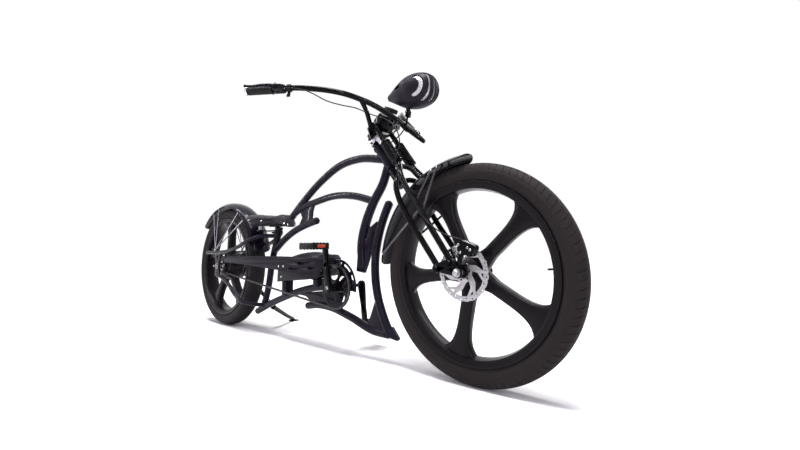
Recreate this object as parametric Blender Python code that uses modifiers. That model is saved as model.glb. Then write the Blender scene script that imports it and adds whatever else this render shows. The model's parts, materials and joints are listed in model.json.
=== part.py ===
"""Electric cruiser bike, modelled piece by piece in metres with +Z up.

The bike points along +X and the rider's left is +Y.  The origin lies on the ground,
midway between the two tyres' outermost points.
"""
import math

import bmesh
import bpy
import numpy as np
from mathutils import Matrix, Vector

# Driving dimensions
WHEELBASE = 1.687
FRONT_TYRE_RADIUS = 0.357
FRONT_TYRE_WIDTH = 0.069
FRONT_BEAD_RADIUS = 0.293
REAR_TYRE_RADIUS = 0.3444
REAR_TYRE_WIDTH = 0.092
REAR_BEAD_RADIUS = 0.2825
RIM_DEPTH = 0.022
SPOKE_COUNT = 5
SPOKE_HUB_HALF_WIDTH = 0.0225
SPOKE_RIM_HALF_WIDTH = 0.0585
SPOKE_HALF_THICKNESS = 0.019
AXLE_RADIUS = 0.006
FRAME_TUBE_RADIUS = 0.017
GUSSET_HALF_THICKNESS = 0.004
STAY_RADIUS = 0.0105
STAY_HALF_SPREAD = 0.080
FORK_HALF_SPREAD = 0.080
FORK_LEG_RADIUS = 0.0105
CROWN_RADIUS = 0.0178
EYE_RADIUS = 0.0135
EYE_HALF = 0.0108
PIN_RADIUS = 0.005
LEG_SHORTFALL = 0.0078
ROCKER_THICKNESS = 0.007
STEERER_RADIUS = 0.0140
HEAD_TUBE_RADIUS = 0.0180
BAR_RADIUS = 0.011
BAR_HALF_WIDTH = 0.400
RISER_RADIUS = 0.0095
GRIP_RADIUS = 0.0165
GRIP_LENGTH = 0.122
POD_RADIUS = 0.0165
LEVER_RADIUS = 0.004
LEVER_PIN_RADIUS = 0.0025
HOSE_RADIUS = 0.0022
CRANK_LENGTH = 0.172
PEDAL_LENGTH = 0.096
PEDAL_WIDTH = 0.084
PEDAL_DEPTH = 0.026
PEDAL_PIN_RADIUS = 0.0062
CRANK_THICKNESS = 0.014
SPINDLE_RADIUS = 0.0075
SHELL_HALF_WIDTH = 0.0417
SHELL_RADIUS = 0.024
CRANK_LEAN = math.radians(8)
CHAINRING_TEETH = 44
COG_TEETH = 16
TOOTH_HALF_THICKNESS = 0.0011
CHAIN_PITCH = 0.0127
CHAIN_HALF_HEIGHT = 0.0043
CHAIN_HALF_WIDTH = 0.0036
SLOT_HALF_WIDTH = 0.0017
CHAIN_LINE = -0.056
GUARD_LINE = -0.080
ROTOR_RADIUS = 0.0897
REAR_ROTOR_RADIUS = 0.080
ROTOR_THICKNESS = 0.002
FRONT_ROTOR_Y = -0.0630
REAR_ROTOR_Y = 0.0600
PAD_CLEARANCE = 0.0008
BATTERY_HALF_WIDTH = 0.045
SPRING_RADIUS = 0.0178
SPRING_WIRE_RADIUS = 0.0031
SPRING_TURNS = 8
SPRING_SEAT_RADIUS = 0.0205
SPRING_FORWARD = 0.064
SPRING_SIDE = 0.041
SPRING_TOP = -0.1065
SPRING_BOTTOM = -0.1985
SADDLE_HALF_WIDTH = 0.102
SADDLE_BASE = 0.5625
SADDLE_SPRING_FOOT = 0.5395
LAMP_RADIUS = 0.067
LAMP_LENGTH = 0.244
LAMP_SHOULDER = 0.64
LAMP_BLUNTNESS = 0.61
LAMP_WALL = 0.003
LAMP_BOLT_RADIUS = 0.003
STAND_LEG_RADIUS = 0.0095
STAND_BOSS_RADIUS = 0.013
STAND_BOSS_HALF = 0.012
FENDER_THICKNESS = 0.0026
FRONT_FENDER_HALF_WIDTH = 0.046
REAR_FENDER_HALF_WIDTH = 0.061
FENDER_STAY_THICKNESS = 0.0024
FRONT_FENDER_CLEARANCE = 0.035
REAR_FENDER_CLEARANCE = 0.0336
GAP = 0.0003
RUNNING_GAP = 0.0005

# The routes below are drawn for this wheelbase and stretch with it
DRAWN_WHEELBASE = 1.687
STRETCH = WHEELBASE / DRAWN_WHEELBASE
WHEEL_STEPS = 28
FACET = 1 / math.cos(math.pi / WHEEL_STEPS)

# Fixed points of the side view
FRONT_AXLE_X = (WHEELBASE + REAR_TYRE_RADIUS - FRONT_TYRE_RADIUS) / 2
REAR_AXLE_X = FRONT_AXLE_X - WHEELBASE


def at(x, z, y=0.0):
    """Return a world point from drawn side-view coordinates."""
    return Vector((x * STRETCH, y, z))


FRONT_AXLE = Vector((FRONT_AXLE_X, 0, FRONT_TYRE_RADIUS))
REAR_AXLE = Vector((REAR_AXLE_X, 0, REAR_TYRE_RADIUS))
BOTTOM_BRACKET = at(0.205, 0.277)
HEAD_TOP = at(0.402, 0.849)
HEAD_BOTTOM = at(0.478, 0.746)
STEM = at(0.372, 0.889)
HEAD_UP = (HEAD_TOP - HEAD_BOTTOM).normalized()
SIDE = Vector((0, 1, 0))
HEAD_FORWARD = SIDE.cross(HEAD_UP)
REAR_PIVOT = FRONT_AXLE + Vector((-0.0804, 0, 0.012))
MID_PIVOT = FRONT_AXLE + Vector((-0.0304, 0, 0.031))
KICKSTAND_PIVOT = at(-0.505, 0.119, 0.087)
KICKSTAND_FOOT = at(-0.640, 0.0, 0.312)
KICKSTAND_STOWED = Vector((-0.98, 0.12, 0.05))
KICKSTAND_AXIS = (KICKSTAND_FOOT - KICKSTAND_PIVOT).cross(KICKSTAND_STOWED).normalized()
ROCKER_INNER = FORK_HALF_SPREAD + EYE_HALF + GAP
CRANK_UP = Vector((-math.sin(CRANK_LEAN), 0, math.cos(CRANK_LEAN)))
RIGHT_PEDAL = BOTTOM_BRACKET + CRANK_UP * CRANK_LENGTH
LEFT_PEDAL = BOTTOM_BRACKET - CRANK_UP * CRANK_LENGTH
LAMP_PIVOT = at(0.566, 0.962)
RIGHT, LEFT = -1, 1
SIDES = (("right", RIGHT), ("left", LEFT))

PARTS = None
CUTTERS = None

BLACK = (0.012, 0.012, 0.015)
SOFT_BLACK = (0.02, 0.02, 0.022)
GREY_BLACK = (0.035, 0.034, 0.042)
SILVER = (0.62, 0.62, 0.64)


# Helpers
def steer(forward, side, up):
    """Return a world point from coordinates along the steering axis at the stem."""
    return STEM + HEAD_FORWARD * forward + SIDE * side + HEAD_UP * up


def running_bore(radius, steps):
    """Return the faceted bore's radius in which a shaft of the given radius turns freely."""
    return (radius + GAP) / math.cos(math.pi / steps)


def side_of(point, sign):
    """Return the point with its Y multiplied by a side's sign."""
    return Vector((point[0], point[1] * sign, point[2]))


def finish(name, colour, roughness, metallic):
    """Make a Principled material."""
    material = bpy.data.materials.new(name)
    material.use_nodes = True
    shader = material.node_tree.nodes["Principled BSDF"]
    shader.inputs["Base Color"].default_value = (*colour, 1)
    shader.inputs["Roughness"].default_value = roughness
    shader.inputs["Metallic"].default_value = metallic
    material.diffuse_color = (*colour, 1)
    return material


def add(name, mesh, look=None, matrix=None):
    """Put a mesh in the parts collection with a material of its own."""
    body = bpy.data.objects.new(name, mesh)
    if matrix is not None:
        body.matrix_world = matrix
    if look is not None:
        mesh.materials.clear()
        mesh.materials.append(finish(name + "_finish", *look))
        PARTS.objects.link(body)
    else:
        CUTTERS.objects.link(body)
        body.hide_render = True
        body.display_type = "WIRE"
    return body


def evaluated_mesh(body):
    """Return a new mesh of an object as its modifiers leave it."""
    bpy.context.view_layer.update()
    graph = bpy.context.evaluated_depsgraph_get()
    return bpy.data.meshes.new_from_object(body.evaluated_get(graph))


def from_bmesh(name, shape, look=None, matrix=None, smooth_angle=40):
    """Turn a bmesh into an object with outward faces."""
    bmesh.ops.recalc_face_normals(shape, faces=shape.faces)
    mesh = bpy.data.meshes.new(name)
    shape.to_mesh(mesh)
    shape.free()
    mesh.shade_smooth()
    mesh.set_sharp_from_angle(angle=math.radians(smooth_angle))
    return add(name, mesh, look, matrix)


def smooth_route(points, step):
    """Return points about a step apart on a smooth curve through the given ones."""
    knots = np.array([tuple(point) for point in points], dtype=float)
    spans = np.linalg.norm(np.diff(knots, axis=0), axis=1)
    slopes = np.gradient(knots, np.concatenate([[0], np.cumsum(spans)]), axis=0)
    route = []
    for index, span in enumerate(spans):
        count = max(1, round(span / step))
        for tick in range(count):
            s = tick / count
            blend = (
                (2 * s**3 - 3 * s**2 + 1) * knots[index]
                + (s**3 - 2 * s**2 + s) * span * slopes[index]
                + (3 * s**2 - 2 * s**3) * knots[index + 1]
                + (s**3 - s**2) * span * slopes[index + 1]
            )
            route.append(Vector(blend))
    route.append(Vector(knots[-1]))
    return route


def with_round_ends(route, radius, first, last):
    """Return points and radius factors with a domed cap at the chosen ends."""
    points = list(route)
    factors = [1.0] * len(points)
    dome = [math.radians(angle) for angle in (42, 80)]
    for wanted, end, inner in ((first, 0, 1), (last, -1, -2)):
        if not wanted:
            continue
        outward = (points[end] - points[inner]).normalized()
        centre = points[end] - outward * radius
        points[end] = centre
        caps = [centre + outward * radius * math.sin(angle) for angle in dome]
        shares = [math.cos(angle) for angle in dome]
        if end == 0:
            points = caps[::-1] + points
            factors = shares[::-1] + factors
        else:
            points = points + caps
            factors = factors + shares
    return points, factors


def tube(name, points, radius, look=None, step=0.06, resolution=2, round_ends=(False, False),
         taper=None):
    """Make a round tube along a smooth route, as a closed mesh."""
    route = smooth_route(points, step) if step else [Vector(point) for point in points]
    route, factors = with_round_ends(route, radius, *round_ends)
    curve = bpy.data.curves.new(name, "CURVE")
    curve.dimensions = "3D"
    curve.bevel_depth = radius
    curve.bevel_resolution = resolution
    curve.use_fill_caps = True
    spline = curve.splines.new("POLY")
    spline.points.add(len(route) - 1)
    for index, point in enumerate(route):
        share = index / (len(route) - 1)
        spline.points[index].co = (*point, 1)
        spline.points[index].radius = factors[index] * (taper(share) if taper else 1)
    guide = bpy.data.objects.new(name + "_route", curve)
    CUTTERS.objects.link(guide)
    mesh = evaluated_mesh(guide)
    bpy.data.objects.remove(guide)
    shape = bmesh.new()
    shape.from_mesh(mesh)
    bpy.data.meshes.remove(mesh)
    bmesh.ops.remove_doubles(shape, verts=shape.verts, dist=0.00001)
    return from_bmesh(name, shape, look)


def turned(name, profile, centre, axis, look=None, steps=24, ring=False, half_step=False):
    """Turn a profile of (radius, height) pairs, top to bottom, round an axis."""
    shape = bmesh.new()
    corners = [shape.verts.new((radius, 0, height)) for radius, height in profile]
    for first, second in zip(corners, corners[1:]):
        shape.edges.new((first, second))
    if ring:
        shape.edges.new((corners[-1], corners[0]))
    mesh = bpy.data.meshes.new(name)
    shape.to_mesh(mesh)
    shape.free()
    turn = Matrix.Rotation(math.pi / steps if half_step else 0, 4, "Z")
    place = Matrix.Translation(centre) @ Vector(axis).to_track_quat("Z", "X").to_matrix().to_4x4()
    body = add(name, mesh, look, place @ turn)
    screw = body.modifiers.new("turn", "SCREW")
    screw.steps = steps
    screw.render_steps = steps
    screw.use_merge_vertices = True
    screw.merge_threshold = 0.00001
    screw.use_smooth_shade = True
    return body


def rod(name, start, end, radius, look=None, steps=12, half_step=False):
    """Make a plain round rod between two points."""
    start, end = Vector(start), Vector(end)
    length = (end - start).length
    profile = [(0, length), (radius, length), (radius, 0), (0, 0)]
    return turned(name, profile, start, end - start, look, steps, half_step=half_step)


def plate(name, outline, low, high, look=None, holes=()):
    """Extrude a side-view outline of (x, z) pairs between two Y values."""
    curve = bpy.data.curves.new(name, "CURVE")
    curve.dimensions = "2D"
    curve.fill_mode = "BOTH"
    curve.extrude = (high - low) / 2
    for ring in (outline, *holes):
        spline = curve.splines.new("POLY")
        spline.points.add(len(ring) - 1)
        spline.use_cyclic_u = True
        for index, (x, z) in enumerate(ring):
            spline.points[index].co = (x, z, 0, 1)
    guide = bpy.data.objects.new(name + "_outline", curve)
    CUTTERS.objects.link(guide)
    mesh = evaluated_mesh(guide)
    bpy.data.objects.remove(guide)
    shape = bmesh.new()
    shape.from_mesh(mesh)
    bpy.data.meshes.remove(mesh)
    bmesh.ops.remove_doubles(shape, verts=shape.verts, dist=0.00001)
    stand_up = Matrix.Translation((0, (low + high) / 2, 0)) @ Matrix.Rotation(math.pi / 2, 4, "X")
    bmesh.ops.transform(shape, matrix=stand_up, verts=shape.verts)
    return from_bmesh(name, shape, look)


def circle(centre, radius, count=12, start=0.0, end=2 * math.pi):
    """Return (x, z) points on an arc; a full circle leaves out its repeated point."""
    full = abs(end - start - 2 * math.pi) < 1e-6
    ticks = count if full else count - 1
    angles = [start + (end - start) * index / ticks for index in range(count)]
    return [(centre[0] + radius * math.cos(a), centre[1] + radius * math.sin(a)) for a in angles]


def hull(name, discs, low, high, look=None, place=None, count=12):
    """Make the plate that spans discs of (x, z, radius) between two Y values."""
    shape = bmesh.new()
    for x, z, radius in discs:
        for px, pz in circle((x, z), radius, count):
            shape.verts.new((px, low, pz))
            shape.verts.new((px, high, pz))
    bmesh.ops.convex_hull(shape, input=shape.verts)
    loose = [vertex for vertex in shape.verts if not vertex.link_faces]
    bmesh.ops.delete(shape, geom=loose, context="VERTS")
    bmesh.ops.dissolve_limit(shape, angle_limit=0.01, verts=shape.verts, edges=shape.edges)
    return from_bmesh(name, shape, look, place)


def box(name, centre, size, look=None, turn=None):
    """Make a box, turned about its centre when a rotation is given."""
    shape = bmesh.new()
    bmesh.ops.create_cube(shape, size=1)
    bmesh.ops.scale(shape, vec=size, verts=shape.verts)
    place = Matrix.Translation(centre)
    if turn is not None:
        place = place @ turn.to_4x4()
    return from_bmesh(name, shape, look, place)


def bar(name, start, end, width, thickness, look=None, wide_axis=(0, 0, 1)):
    """Make a flat bar between two points; its width lies nearest the wide axis."""
    start, end = Vector(start), Vector(end)
    along = (end - start).normalized()
    thin = along.cross(Vector(wide_axis)).normalized()
    wide = thin.cross(along)
    turn = Matrix((along, thin, wide)).transposed()
    return box(name, (start + end) / 2, ((end - start).length, thickness, width), look, turn)


def loft(name, sections, look=None):
    """Skin closed rings of equal point count and cap both ends."""
    shape = bmesh.new()
    rings = [[shape.verts.new(point) for point in section] for section in sections]
    count = len(rings[0])
    for first, second in zip(rings, rings[1:]):
        for index in range(count):
            after = (index + 1) % count
            shape.faces.new((first[index], first[after], second[after], second[index]))
    shape.faces.new(rings[0][::-1])
    shape.faces.new(rings[-1])
    return from_bmesh(name, shape, look)


def boolean(body, other, operation):
    """Add an exact Boolean and keep the other piece as a hidden guide."""
    if other.name in PARTS.objects:
        PARTS.objects.unlink(other)
        CUTTERS.objects.link(other)
    other.hide_render = True
    other.display_type = "WIRE"
    step = body.modifiers.new(operation.lower() + "_" + other.name, "BOOLEAN")
    step.operation = operation
    step.solver = "EXACT"
    step.object = other
    return body


def weld(body, *others):
    """Join other pieces to a body."""
    for other in others:
        boolean(body, other, "UNION")
    return body


def clear(body, *neighbours, gap=GAP):
    """Cut a body back to a small gap from its neighbours."""
    for neighbour in neighbours:
        mesh = evaluated_mesh(neighbour)
        shape = bmesh.new()
        shape.from_mesh(mesh)
        bpy.data.meshes.remove(mesh)
        bmesh.ops.remove_doubles(shape, verts=shape.verts, dist=0.00001)
        shape.normal_update()
        moves = [v.normal * gap * min(v.calc_shell_factor(), 2.5) for v in shape.verts]
        for vertex, move in zip(shape.verts, moves):
            vertex.co += move
        cutter = from_bmesh(body.name + "_clear_" + neighbour.name, shape, None,
                            neighbour.matrix_world)
        boolean(body, cutter, "DIFFERENCE")
    return body


def drill(body, start, end, radius, steps=12, half_step=False):
    """Cut a round hole between two points."""
    name = body.name + "_hole_" + str(len(body.modifiers))
    return boolean(body, rod(name, start, end, radius, None, steps, half_step), "DIFFERENCE")


def coil(name, start, end, radius, wire, turns, look, per_turn=8):
    """Wind a spring between two seats and print its least gap to itself."""
    start, end = Vector(start), Vector(end)
    axis = (end - start).normalized()
    across = axis.orthogonal().normalized()
    other = axis.cross(across)
    length = (end - start).length - 2 * wire
    count = round(turns * per_turn)
    points = []
    for index in range(count + 1):
        angle = 2 * math.pi * index / per_turn
        share = index / count
        rise = wire + length * share
        points.append(start + axis * rise + across * radius * math.cos(angle)
                      + other * radius * math.sin(angle))
    print(name, "least gap to itself", round(length / turns - 2 * wire, 5))
    return tube(name, points, wire, look, step=0, resolution=1)


# Wheels
def tyre_profile(radius, bead, half_width):
    """Return one tyre section, outer side from top to bottom."""
    widest = bead + 0.42 * (radius - bead)
    low, high, count = math.radians(-52), math.radians(72), 5
    half = []
    for index in range(count):
        angle = low + (high - low) * index / (count - 1)
        reach = (widest - bead) / -math.sin(low) if angle < 0 else (radius - widest) / math.sin(high)
        half.append(((widest + reach * math.sin(angle)) * FACET,
                     half_width * math.cos(angle) ** 0.8))
    return half + [(r, -z) for r, z in reversed(half)]


def rim_profile(bead, half_width):
    """Return the deep rim's section, with its inner face drawn in towards the middle."""
    outer = bead - GAP
    inner = bead - RIM_DEPTH
    profile = [(inner, half_width), (outer, half_width), (outer, -half_width), (inner, -half_width),
               (inner - 0.005, 0)]
    return [(radius * FACET, height) for radius, height in profile]


def spoke(name, centre, angle, hub_radius, rim_inner):
    """Loft one cast spoke that flares smoothly into the rim."""
    along = Vector((math.cos(angle), 0, math.sin(angle)))
    across = Vector((-math.sin(angle), 0, math.cos(angle)))
    sections = []
    stations = 4
    reach = rim_inner + 0.010
    for index in range(stations):
        share = index / (stations - 1)
        radius = hub_radius * 0.7 + (reach - hub_radius * 0.7) * share
        outward = max(0.0, (radius - 0.40 * rim_inner) / (0.60 * rim_inner))
        inward = max(0.0, 1 - radius / (1.9 * hub_radius))
        half = SPOKE_HUB_HALF_WIDTH + 0.02 * inward
        half += (SPOKE_RIM_HALF_WIDTH - SPOKE_HUB_HALF_WIDTH) * outward ** 2.3
        thick = SPOKE_HALF_THICKNESS + 0.006 * (1 - share)
        ring = []
        for side, depth in ((1, 0), (0.6, 1), (-0.6, 1), (-1, 0), (-0.6, -1), (0.6, -1)):
            ring.append(centre + along * radius + across * half * side + SIDE * thick * depth)
        sections.append(ring)
    return loft(name, sections)


def mag_wheel(name, centre, bead, half_width, hub, first_spoke, look):
    """Weld rim, spokes and hub into one cast wheel and bore it for the axle."""
    wheel = turned(name, rim_profile(bead, half_width), centre, SIDE, look, WHEEL_STEPS, ring=True,
                   half_step=True)
    hub_radius = max(radius for radius, height in hub)
    for index in range(SPOKE_COUNT):
        angle = first_spoke + index * 2 * math.pi / SPOKE_COUNT
        weld(wheel, spoke(f"{name}_spoke_{index}", centre, angle, min(hub_radius, 0.05),
                          bead - RIM_DEPTH))
    weld(wheel, turned(name + "_hub", hub, centre, SIDE, steps=14))
    return wheel


def rotor(name, centre, radius, low, look, arms=6, bore=0.014, teeth=18):
    """Make a brake disc with swept arms and a scalloped edge."""
    x, z = centre.x, centre.z
    edge = []
    for index in range(teeth * 2):
        angle = math.pi * index / teeth
        reach = radius - (0.0022 if index % 2 else 0)
        edge.append((x + reach * math.cos(angle), z + reach * math.sin(angle)))
    windows = []
    band, core = radius - 0.016, radius * 0.36
    span = 2 * math.pi / arms
    sweep = 0.55
    for index in range(arms):
        start = index * span
        outer = [(band, start + span * share) for share in (0.10, 0.5, 0.84)]
        inner = [(core, start + sweep + span * share) for share in (0.68, 0.5, 0.30)]
        mid = (band + core) / 2
        loop = outer + [(mid, start + sweep * 0.5 + span * 0.80)] + inner
        loop += [(mid, start + sweep * 0.5 + span * 0.18)]
        windows.append([(x + r * math.cos(a), z + r * math.sin(a)) for r, a in loop])
    windows.append(circle((x, z), bore, 10))
    return plate(name, edge, low, low + ROTOR_THICKNESS, look, windows)


def front_wheel_set():
    """Build the front tyre, cast wheel and disc."""
    half = FRONT_TYRE_WIDTH / 2
    turned("front_tyre", tyre_profile(FRONT_TYRE_RADIUS, FRONT_BEAD_RADIUS, half), FRONT_AXLE, SIDE,
           (SOFT_BLACK, 0.8, 0.0), WHEEL_STEPS, ring=True, half_step=True)
    bore = running_bore(AXLE_RADIUS, 8)
    hub = [(bore, 0.050), (0.018, 0.050), (0.036, 0.044), (0.043, 0.026), (0.043, -0.026),
           (0.036, -0.044), (0.030, -0.052), (0.030, FRONT_ROTOR_Y + ROTOR_THICKNESS + GAP),
           (bore, FRONT_ROTOR_Y + ROTOR_THICKNESS + GAP)]
    wheel = mag_wheel("front_wheel", FRONT_AXLE, FRONT_BEAD_RADIUS, half - 0.0008, hub_ring(hub),
                      math.radians(42), (BLACK, 0.35, 0.6))
    drill(wheel, FRONT_AXLE - SIDE * 0.1, FRONT_AXLE + SIDE * 0.1, bore, 8, True)
    valve_angle = math.radians(3.2)
    out = Vector((math.cos(valve_angle), 0, math.sin(valve_angle)))
    inner = FRONT_BEAD_RADIUS - RIM_DEPTH
    weld(wheel, rod("front_wheel_valve", FRONT_AXLE + out * (inner + 0.006),
                    FRONT_AXLE + out * (inner - 0.025), 0.0035, steps=8))
    rotor("front_rotor", FRONT_AXLE, ROTOR_RADIUS, FRONT_ROTOR_Y, (SILVER, 0.25, 1.0))


def hub_ring(profile):
    """Close a hub profile on the axis, since the bore is drilled after welding."""
    outer = [pair for pair in profile if pair[0] > 0.01]
    return [(0, outer[0][1])] + outer + [(0, outer[-1][1])]

def rear_wheel_set():
    """Build the rear tyre, the wheel with its motor drum and disc, and the cog."""
    half = REAR_TYRE_WIDTH / 2
    turned("rear_tyre", tyre_profile(REAR_TYRE_RADIUS, REAR_BEAD_RADIUS, half), REAR_AXLE, SIDE,
           (SOFT_BLACK, 0.85, 0.0), WHEEL_STEPS, ring=True, half_step=True)
    bore = running_bore(AXLE_RADIUS, 8)
    hub = [(bore, 0.0578), (0.026, 0.0578), (0.026, 0.054), (0.070, 0.050), (0.078, 0.040),
           (0.078, -0.034), (0.066, -0.042), (0.036, -0.0465), (bore, -0.0465)]
    wheel = mag_wheel("rear_wheel", REAR_AXLE, REAR_BEAD_RADIUS, half - 0.004, hub_ring(hub),
                      math.radians(90), (BLACK, 0.4, 0.6))
    drill(wheel, REAR_AXLE - SIDE * 0.1, REAR_AXLE + SIDE * 0.1, bore, 8)
    disc = rotor("rear_rotor", REAR_AXLE, REAR_ROTOR_RADIUS, REAR_ROTOR_Y, (SILVER, 0.25, 1.0), 5,
                 0.02, 9)
    seat = 0.0578 + GAP
    flange = turned("rear_rotor_flange", [(0, 0.0635), (0.032, 0.0635), (0.032, seat), (0, seat)],
                    REAR_AXLE, SIDE, steps=12)
    weld(disc, flange)
    drill(disc, REAR_AXLE, REAR_AXLE + SIDE * 0.1, bore, 8)
    cog = plate("rear_cog", toothed(REAR_AXLE, COG_TEETH), CHAIN_LINE - TOOTH_HALF_THICKNESS,
                CHAIN_LINE + TOOTH_HALF_THICKNESS, (SILVER, 0.35, 1.0))
    boss = turned("rear_cog_boss", [(0, -0.0485), (0.019, -0.0485), (0.019, -0.066), (0, -0.066)],
                  REAR_AXLE, SIDE, steps=10)
    weld(cog, boss)
    drill(cog, REAR_AXLE - SIDE * 0.1, REAR_AXLE, bore, 8)


# Drive
def pitch_radius(teeth):
    """Return the radius at which a chain's pins ride on a toothed ring."""
    return CHAIN_PITCH / (2 * math.sin(math.pi / teeth))


def toothed(centre, teeth):
    """Return the outline of a toothed ring, two points to a tooth."""
    ride = pitch_radius(teeth)
    tip, root = ride + 0.0034, ride - 0.0036
    outline = []
    for index in range(teeth):
        middle = 2 * math.pi * index / teeth
        for share, reach in ((-0.5, root), (0.0, tip)):
            angle = middle + share * 2 * math.pi / teeth
            outline.append((centre.x + reach * math.cos(angle), centre.z + reach * math.sin(angle)))
    return outline


def chain_loop(first, first_radius, second, second_radius, offset, count):
    """Return the loop that wraps two circles, each grown by an offset."""
    a, b = (first.x, first.z), (second.x, second.z)
    distance = math.hypot(b[0] - a[0], b[1] - a[1])
    heading = math.atan2(b[1] - a[1], b[0] - a[0])
    lean = math.acos((first_radius - second_radius) / distance)
    start = heading + lean
    loop = circle(a, first_radius + offset, count, start, heading - lean + 2 * math.pi)
    loop += circle(b, second_radius + offset, count // 2, heading - lean, heading + lean)
    return loop


def drive_set():
    """Build chainring, cranks, pedals, chain and the cover behind the ring."""
    ring_radius, cog_radius = pitch_radius(CHAINRING_TEETH), pitch_radius(COG_TEETH)
    outer = chain_loop(BOTTOM_BRACKET, ring_radius, REAR_AXLE, cog_radius,
                       CHAIN_HALF_HEIGHT, 20)
    inner = chain_loop(BOTTOM_BRACKET, ring_radius, REAR_AXLE, cog_radius,
                       -CHAIN_HALF_HEIGHT, 20)
    chain = plate("chain", outer, CHAIN_LINE - CHAIN_HALF_WIDTH, CHAIN_LINE + CHAIN_HALF_WIDTH,
                  ((0.10, 0.10, 0.11), 0.4, 1.0), [inner])
    for name, centre, ride in (("ring", BOTTOM_BRACKET, ring_radius), ("cog", REAR_AXLE, cog_radius)):
        reach = ride + CHAIN_HALF_HEIGHT + 0.0012
        slot = rod(f"chain_slot_{name}", centre + SIDE * (CHAIN_LINE - SLOT_HALF_WIDTH),
                   centre + SIDE * (CHAIN_LINE + SLOT_HALF_WIDTH), reach, steps=24)
        boolean(chain, slot, "DIFFERENCE")

    centre = (BOTTOM_BRACKET.x, BOTTOM_BRACKET.z)
    openings = []
    for index in range(5):
        angle = math.radians(26) + index * 2 * math.pi / 5
        spot = (centre[0] + 0.053 * math.cos(angle), centre[1] + 0.053 * math.sin(angle))
        openings.append(circle(spot, 0.0235, 8))
    ring = plate("crankset", toothed(BOTTOM_BRACKET, CHAINRING_TEETH),
                 CHAIN_LINE - TOOTH_HALF_THICKNESS, CHAIN_LINE + TOOTH_HALF_THICKNESS,
                 (BLACK, 0.35, 0.8), openings)
    spindle = turned("spindle", [(0, 0.100), (SPINDLE_RADIUS, 0.100),
                                 (SPINDLE_RADIUS, CHAIN_LINE + 0.006), (0.017, CHAIN_LINE + 0.006),
                                 (0.017, -0.0925), (0, -0.0925)],
                     BOTTOM_BRACKET, SIDE, steps=12)
    weld(ring, spindle)
    for (side, sign), pedal, low in zip(SIDES, (RIGHT_PEDAL, LEFT_PEDAL), (-0.1010, 0.0870)):
        discs = [(BOTTOM_BRACKET.x, BOTTOM_BRACKET.z, 0.020), (pedal.x, pedal.z, 0.014)]
        look = (BLACK, 0.3, 0.8) if sign == LEFT else None
        high = low + CRANK_THICKNESS
        arm = hull("crank_arm_" + side, discs, low, high, look)
        if sign == LEFT:
            drill(arm, BOTTOM_BRACKET + SIDE * (low - 0.002), BOTTOM_BRACKET + SIDE * (high + 0.002),
                  SPINDLE_RADIUS + GAP)
        else:
            arm = weld(ring, arm)
        drill(arm, pedal + SIDE * (low - 0.002), pedal + SIDE * (high + 0.002),
              PEDAL_PIN_RADIUS + RUNNING_GAP)
        pedal_body(side, sign, pedal)

    start, end = math.radians(-8), math.radians(102)
    crescent = circle(centre, 0.116, 14, start, end) + circle(centre, 0.060, 9, end, start)
    slots = []
    for first, last in ((4, 30), (40, 66), (76, 96)):
        first, last = math.radians(first), math.radians(last)
        slots.append(circle(centre, 0.106, 5, first, last) + circle(centre, 0.097, 5, last, first))
    face = -SHELL_HALF_WIDTH - GAP
    cover = plate("guard_disc", crescent, face - 0.0025, face, (BLACK, 0.4, 0.3), slots)
    arm = bar("guard_disc_arm", (centre[0] + 0.0125, face - 0.0013, centre[1] + 0.010),
              (centre[0] + 0.052, face - 0.0013, centre[1] + 0.038), 0.022, 0.0024)
    weld(cover, arm)


def pedal_body(side, sign, centre):
    """Build one block pedal with its spindle and two tread windows."""
    length, width, depth = PEDAL_LENGTH, PEDAL_WIDTH, PEDAL_DEPTH
    inner = 0.108
    middle = side_of(centre + SIDE * (inner + width / 2), sign)
    look = ((0.02, 0.02, 0.02), 0.6, 0.0)
    nose = depth / 2
    ends = [(middle.x + shift, middle.z, nose) for shift in (nose - length / 2, length / 2 - nose)]
    body = hull("pedal_" + side, ends, middle.y - width / 2, middle.y + width / 2, look, count=8)
    for offset in (-0.26 * length, 0.26 * length):
        cutter = box(f"pedal_{side}_window_{offset:.3f}", middle + Vector((offset, 0, 0)),
                     (0.24 * length, width - 0.030, depth + 0.01))
        boolean(body, cutter, "DIFFERENCE")
    weld(body, rod(f"pedal_{side}_spindle", side_of(centre + SIDE * 0.0875, sign),
                   side_of(centre + SIDE * (inner + 0.01), sign), PEDAL_PIN_RADIUS))


# Frame
TOP_ROUTE = [(-0.217, 0.592), (-0.116, 0.666), (0.034, 0.757), (0.170, 0.810), (0.294, 0.819),
             (0.437, 0.794)]
MIDDLE_ROUTE = [(-0.186, 0.614), (-0.136, 0.635), (-0.010, 0.659), (0.130, 0.674), (0.261, 0.661),
                (0.380, 0.628)]
RAIL_ROUTE = [(0.009, 0.572), (-0.09, 0.553), (-0.177, 0.529), (-0.27, 0.488), (-0.355, 0.435)]
SEAT_ROUTE = [(-0.330, 0.528), (-0.350, 0.470), (-0.379, 0.392), (-0.419, 0.224), (-0.455, 0.135)]
REAR_DOWN_ROUTE = [(0.462, 0.772), (0.429, 0.694), (0.376, 0.624), (0.329, 0.535), (0.308, 0.452),
                   (0.311, 0.389), (0.315, 0.348)]
FRONT_DOWN_ROUTE = [(0.469, 0.622), (0.436, 0.563), (0.406, 0.488), (0.386, 0.390), (0.394, 0.271),
                    (0.433, 0.166), (0.472, 0.100)]
KEEL_ROUTE = [(0.455, 0.1090), (0.383, 0.112), (0.236, 0.153), (0.106, 0.180), (0.020, 0.183),
              (-0.062, 0.173)]
ARCH_ROUTE = [(0.180, 0.270), (0.028, 0.264), (-0.128, 0.236), (-0.256, 0.199), (-0.395, 0.153),
              (-0.525, 0.102)]
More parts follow.
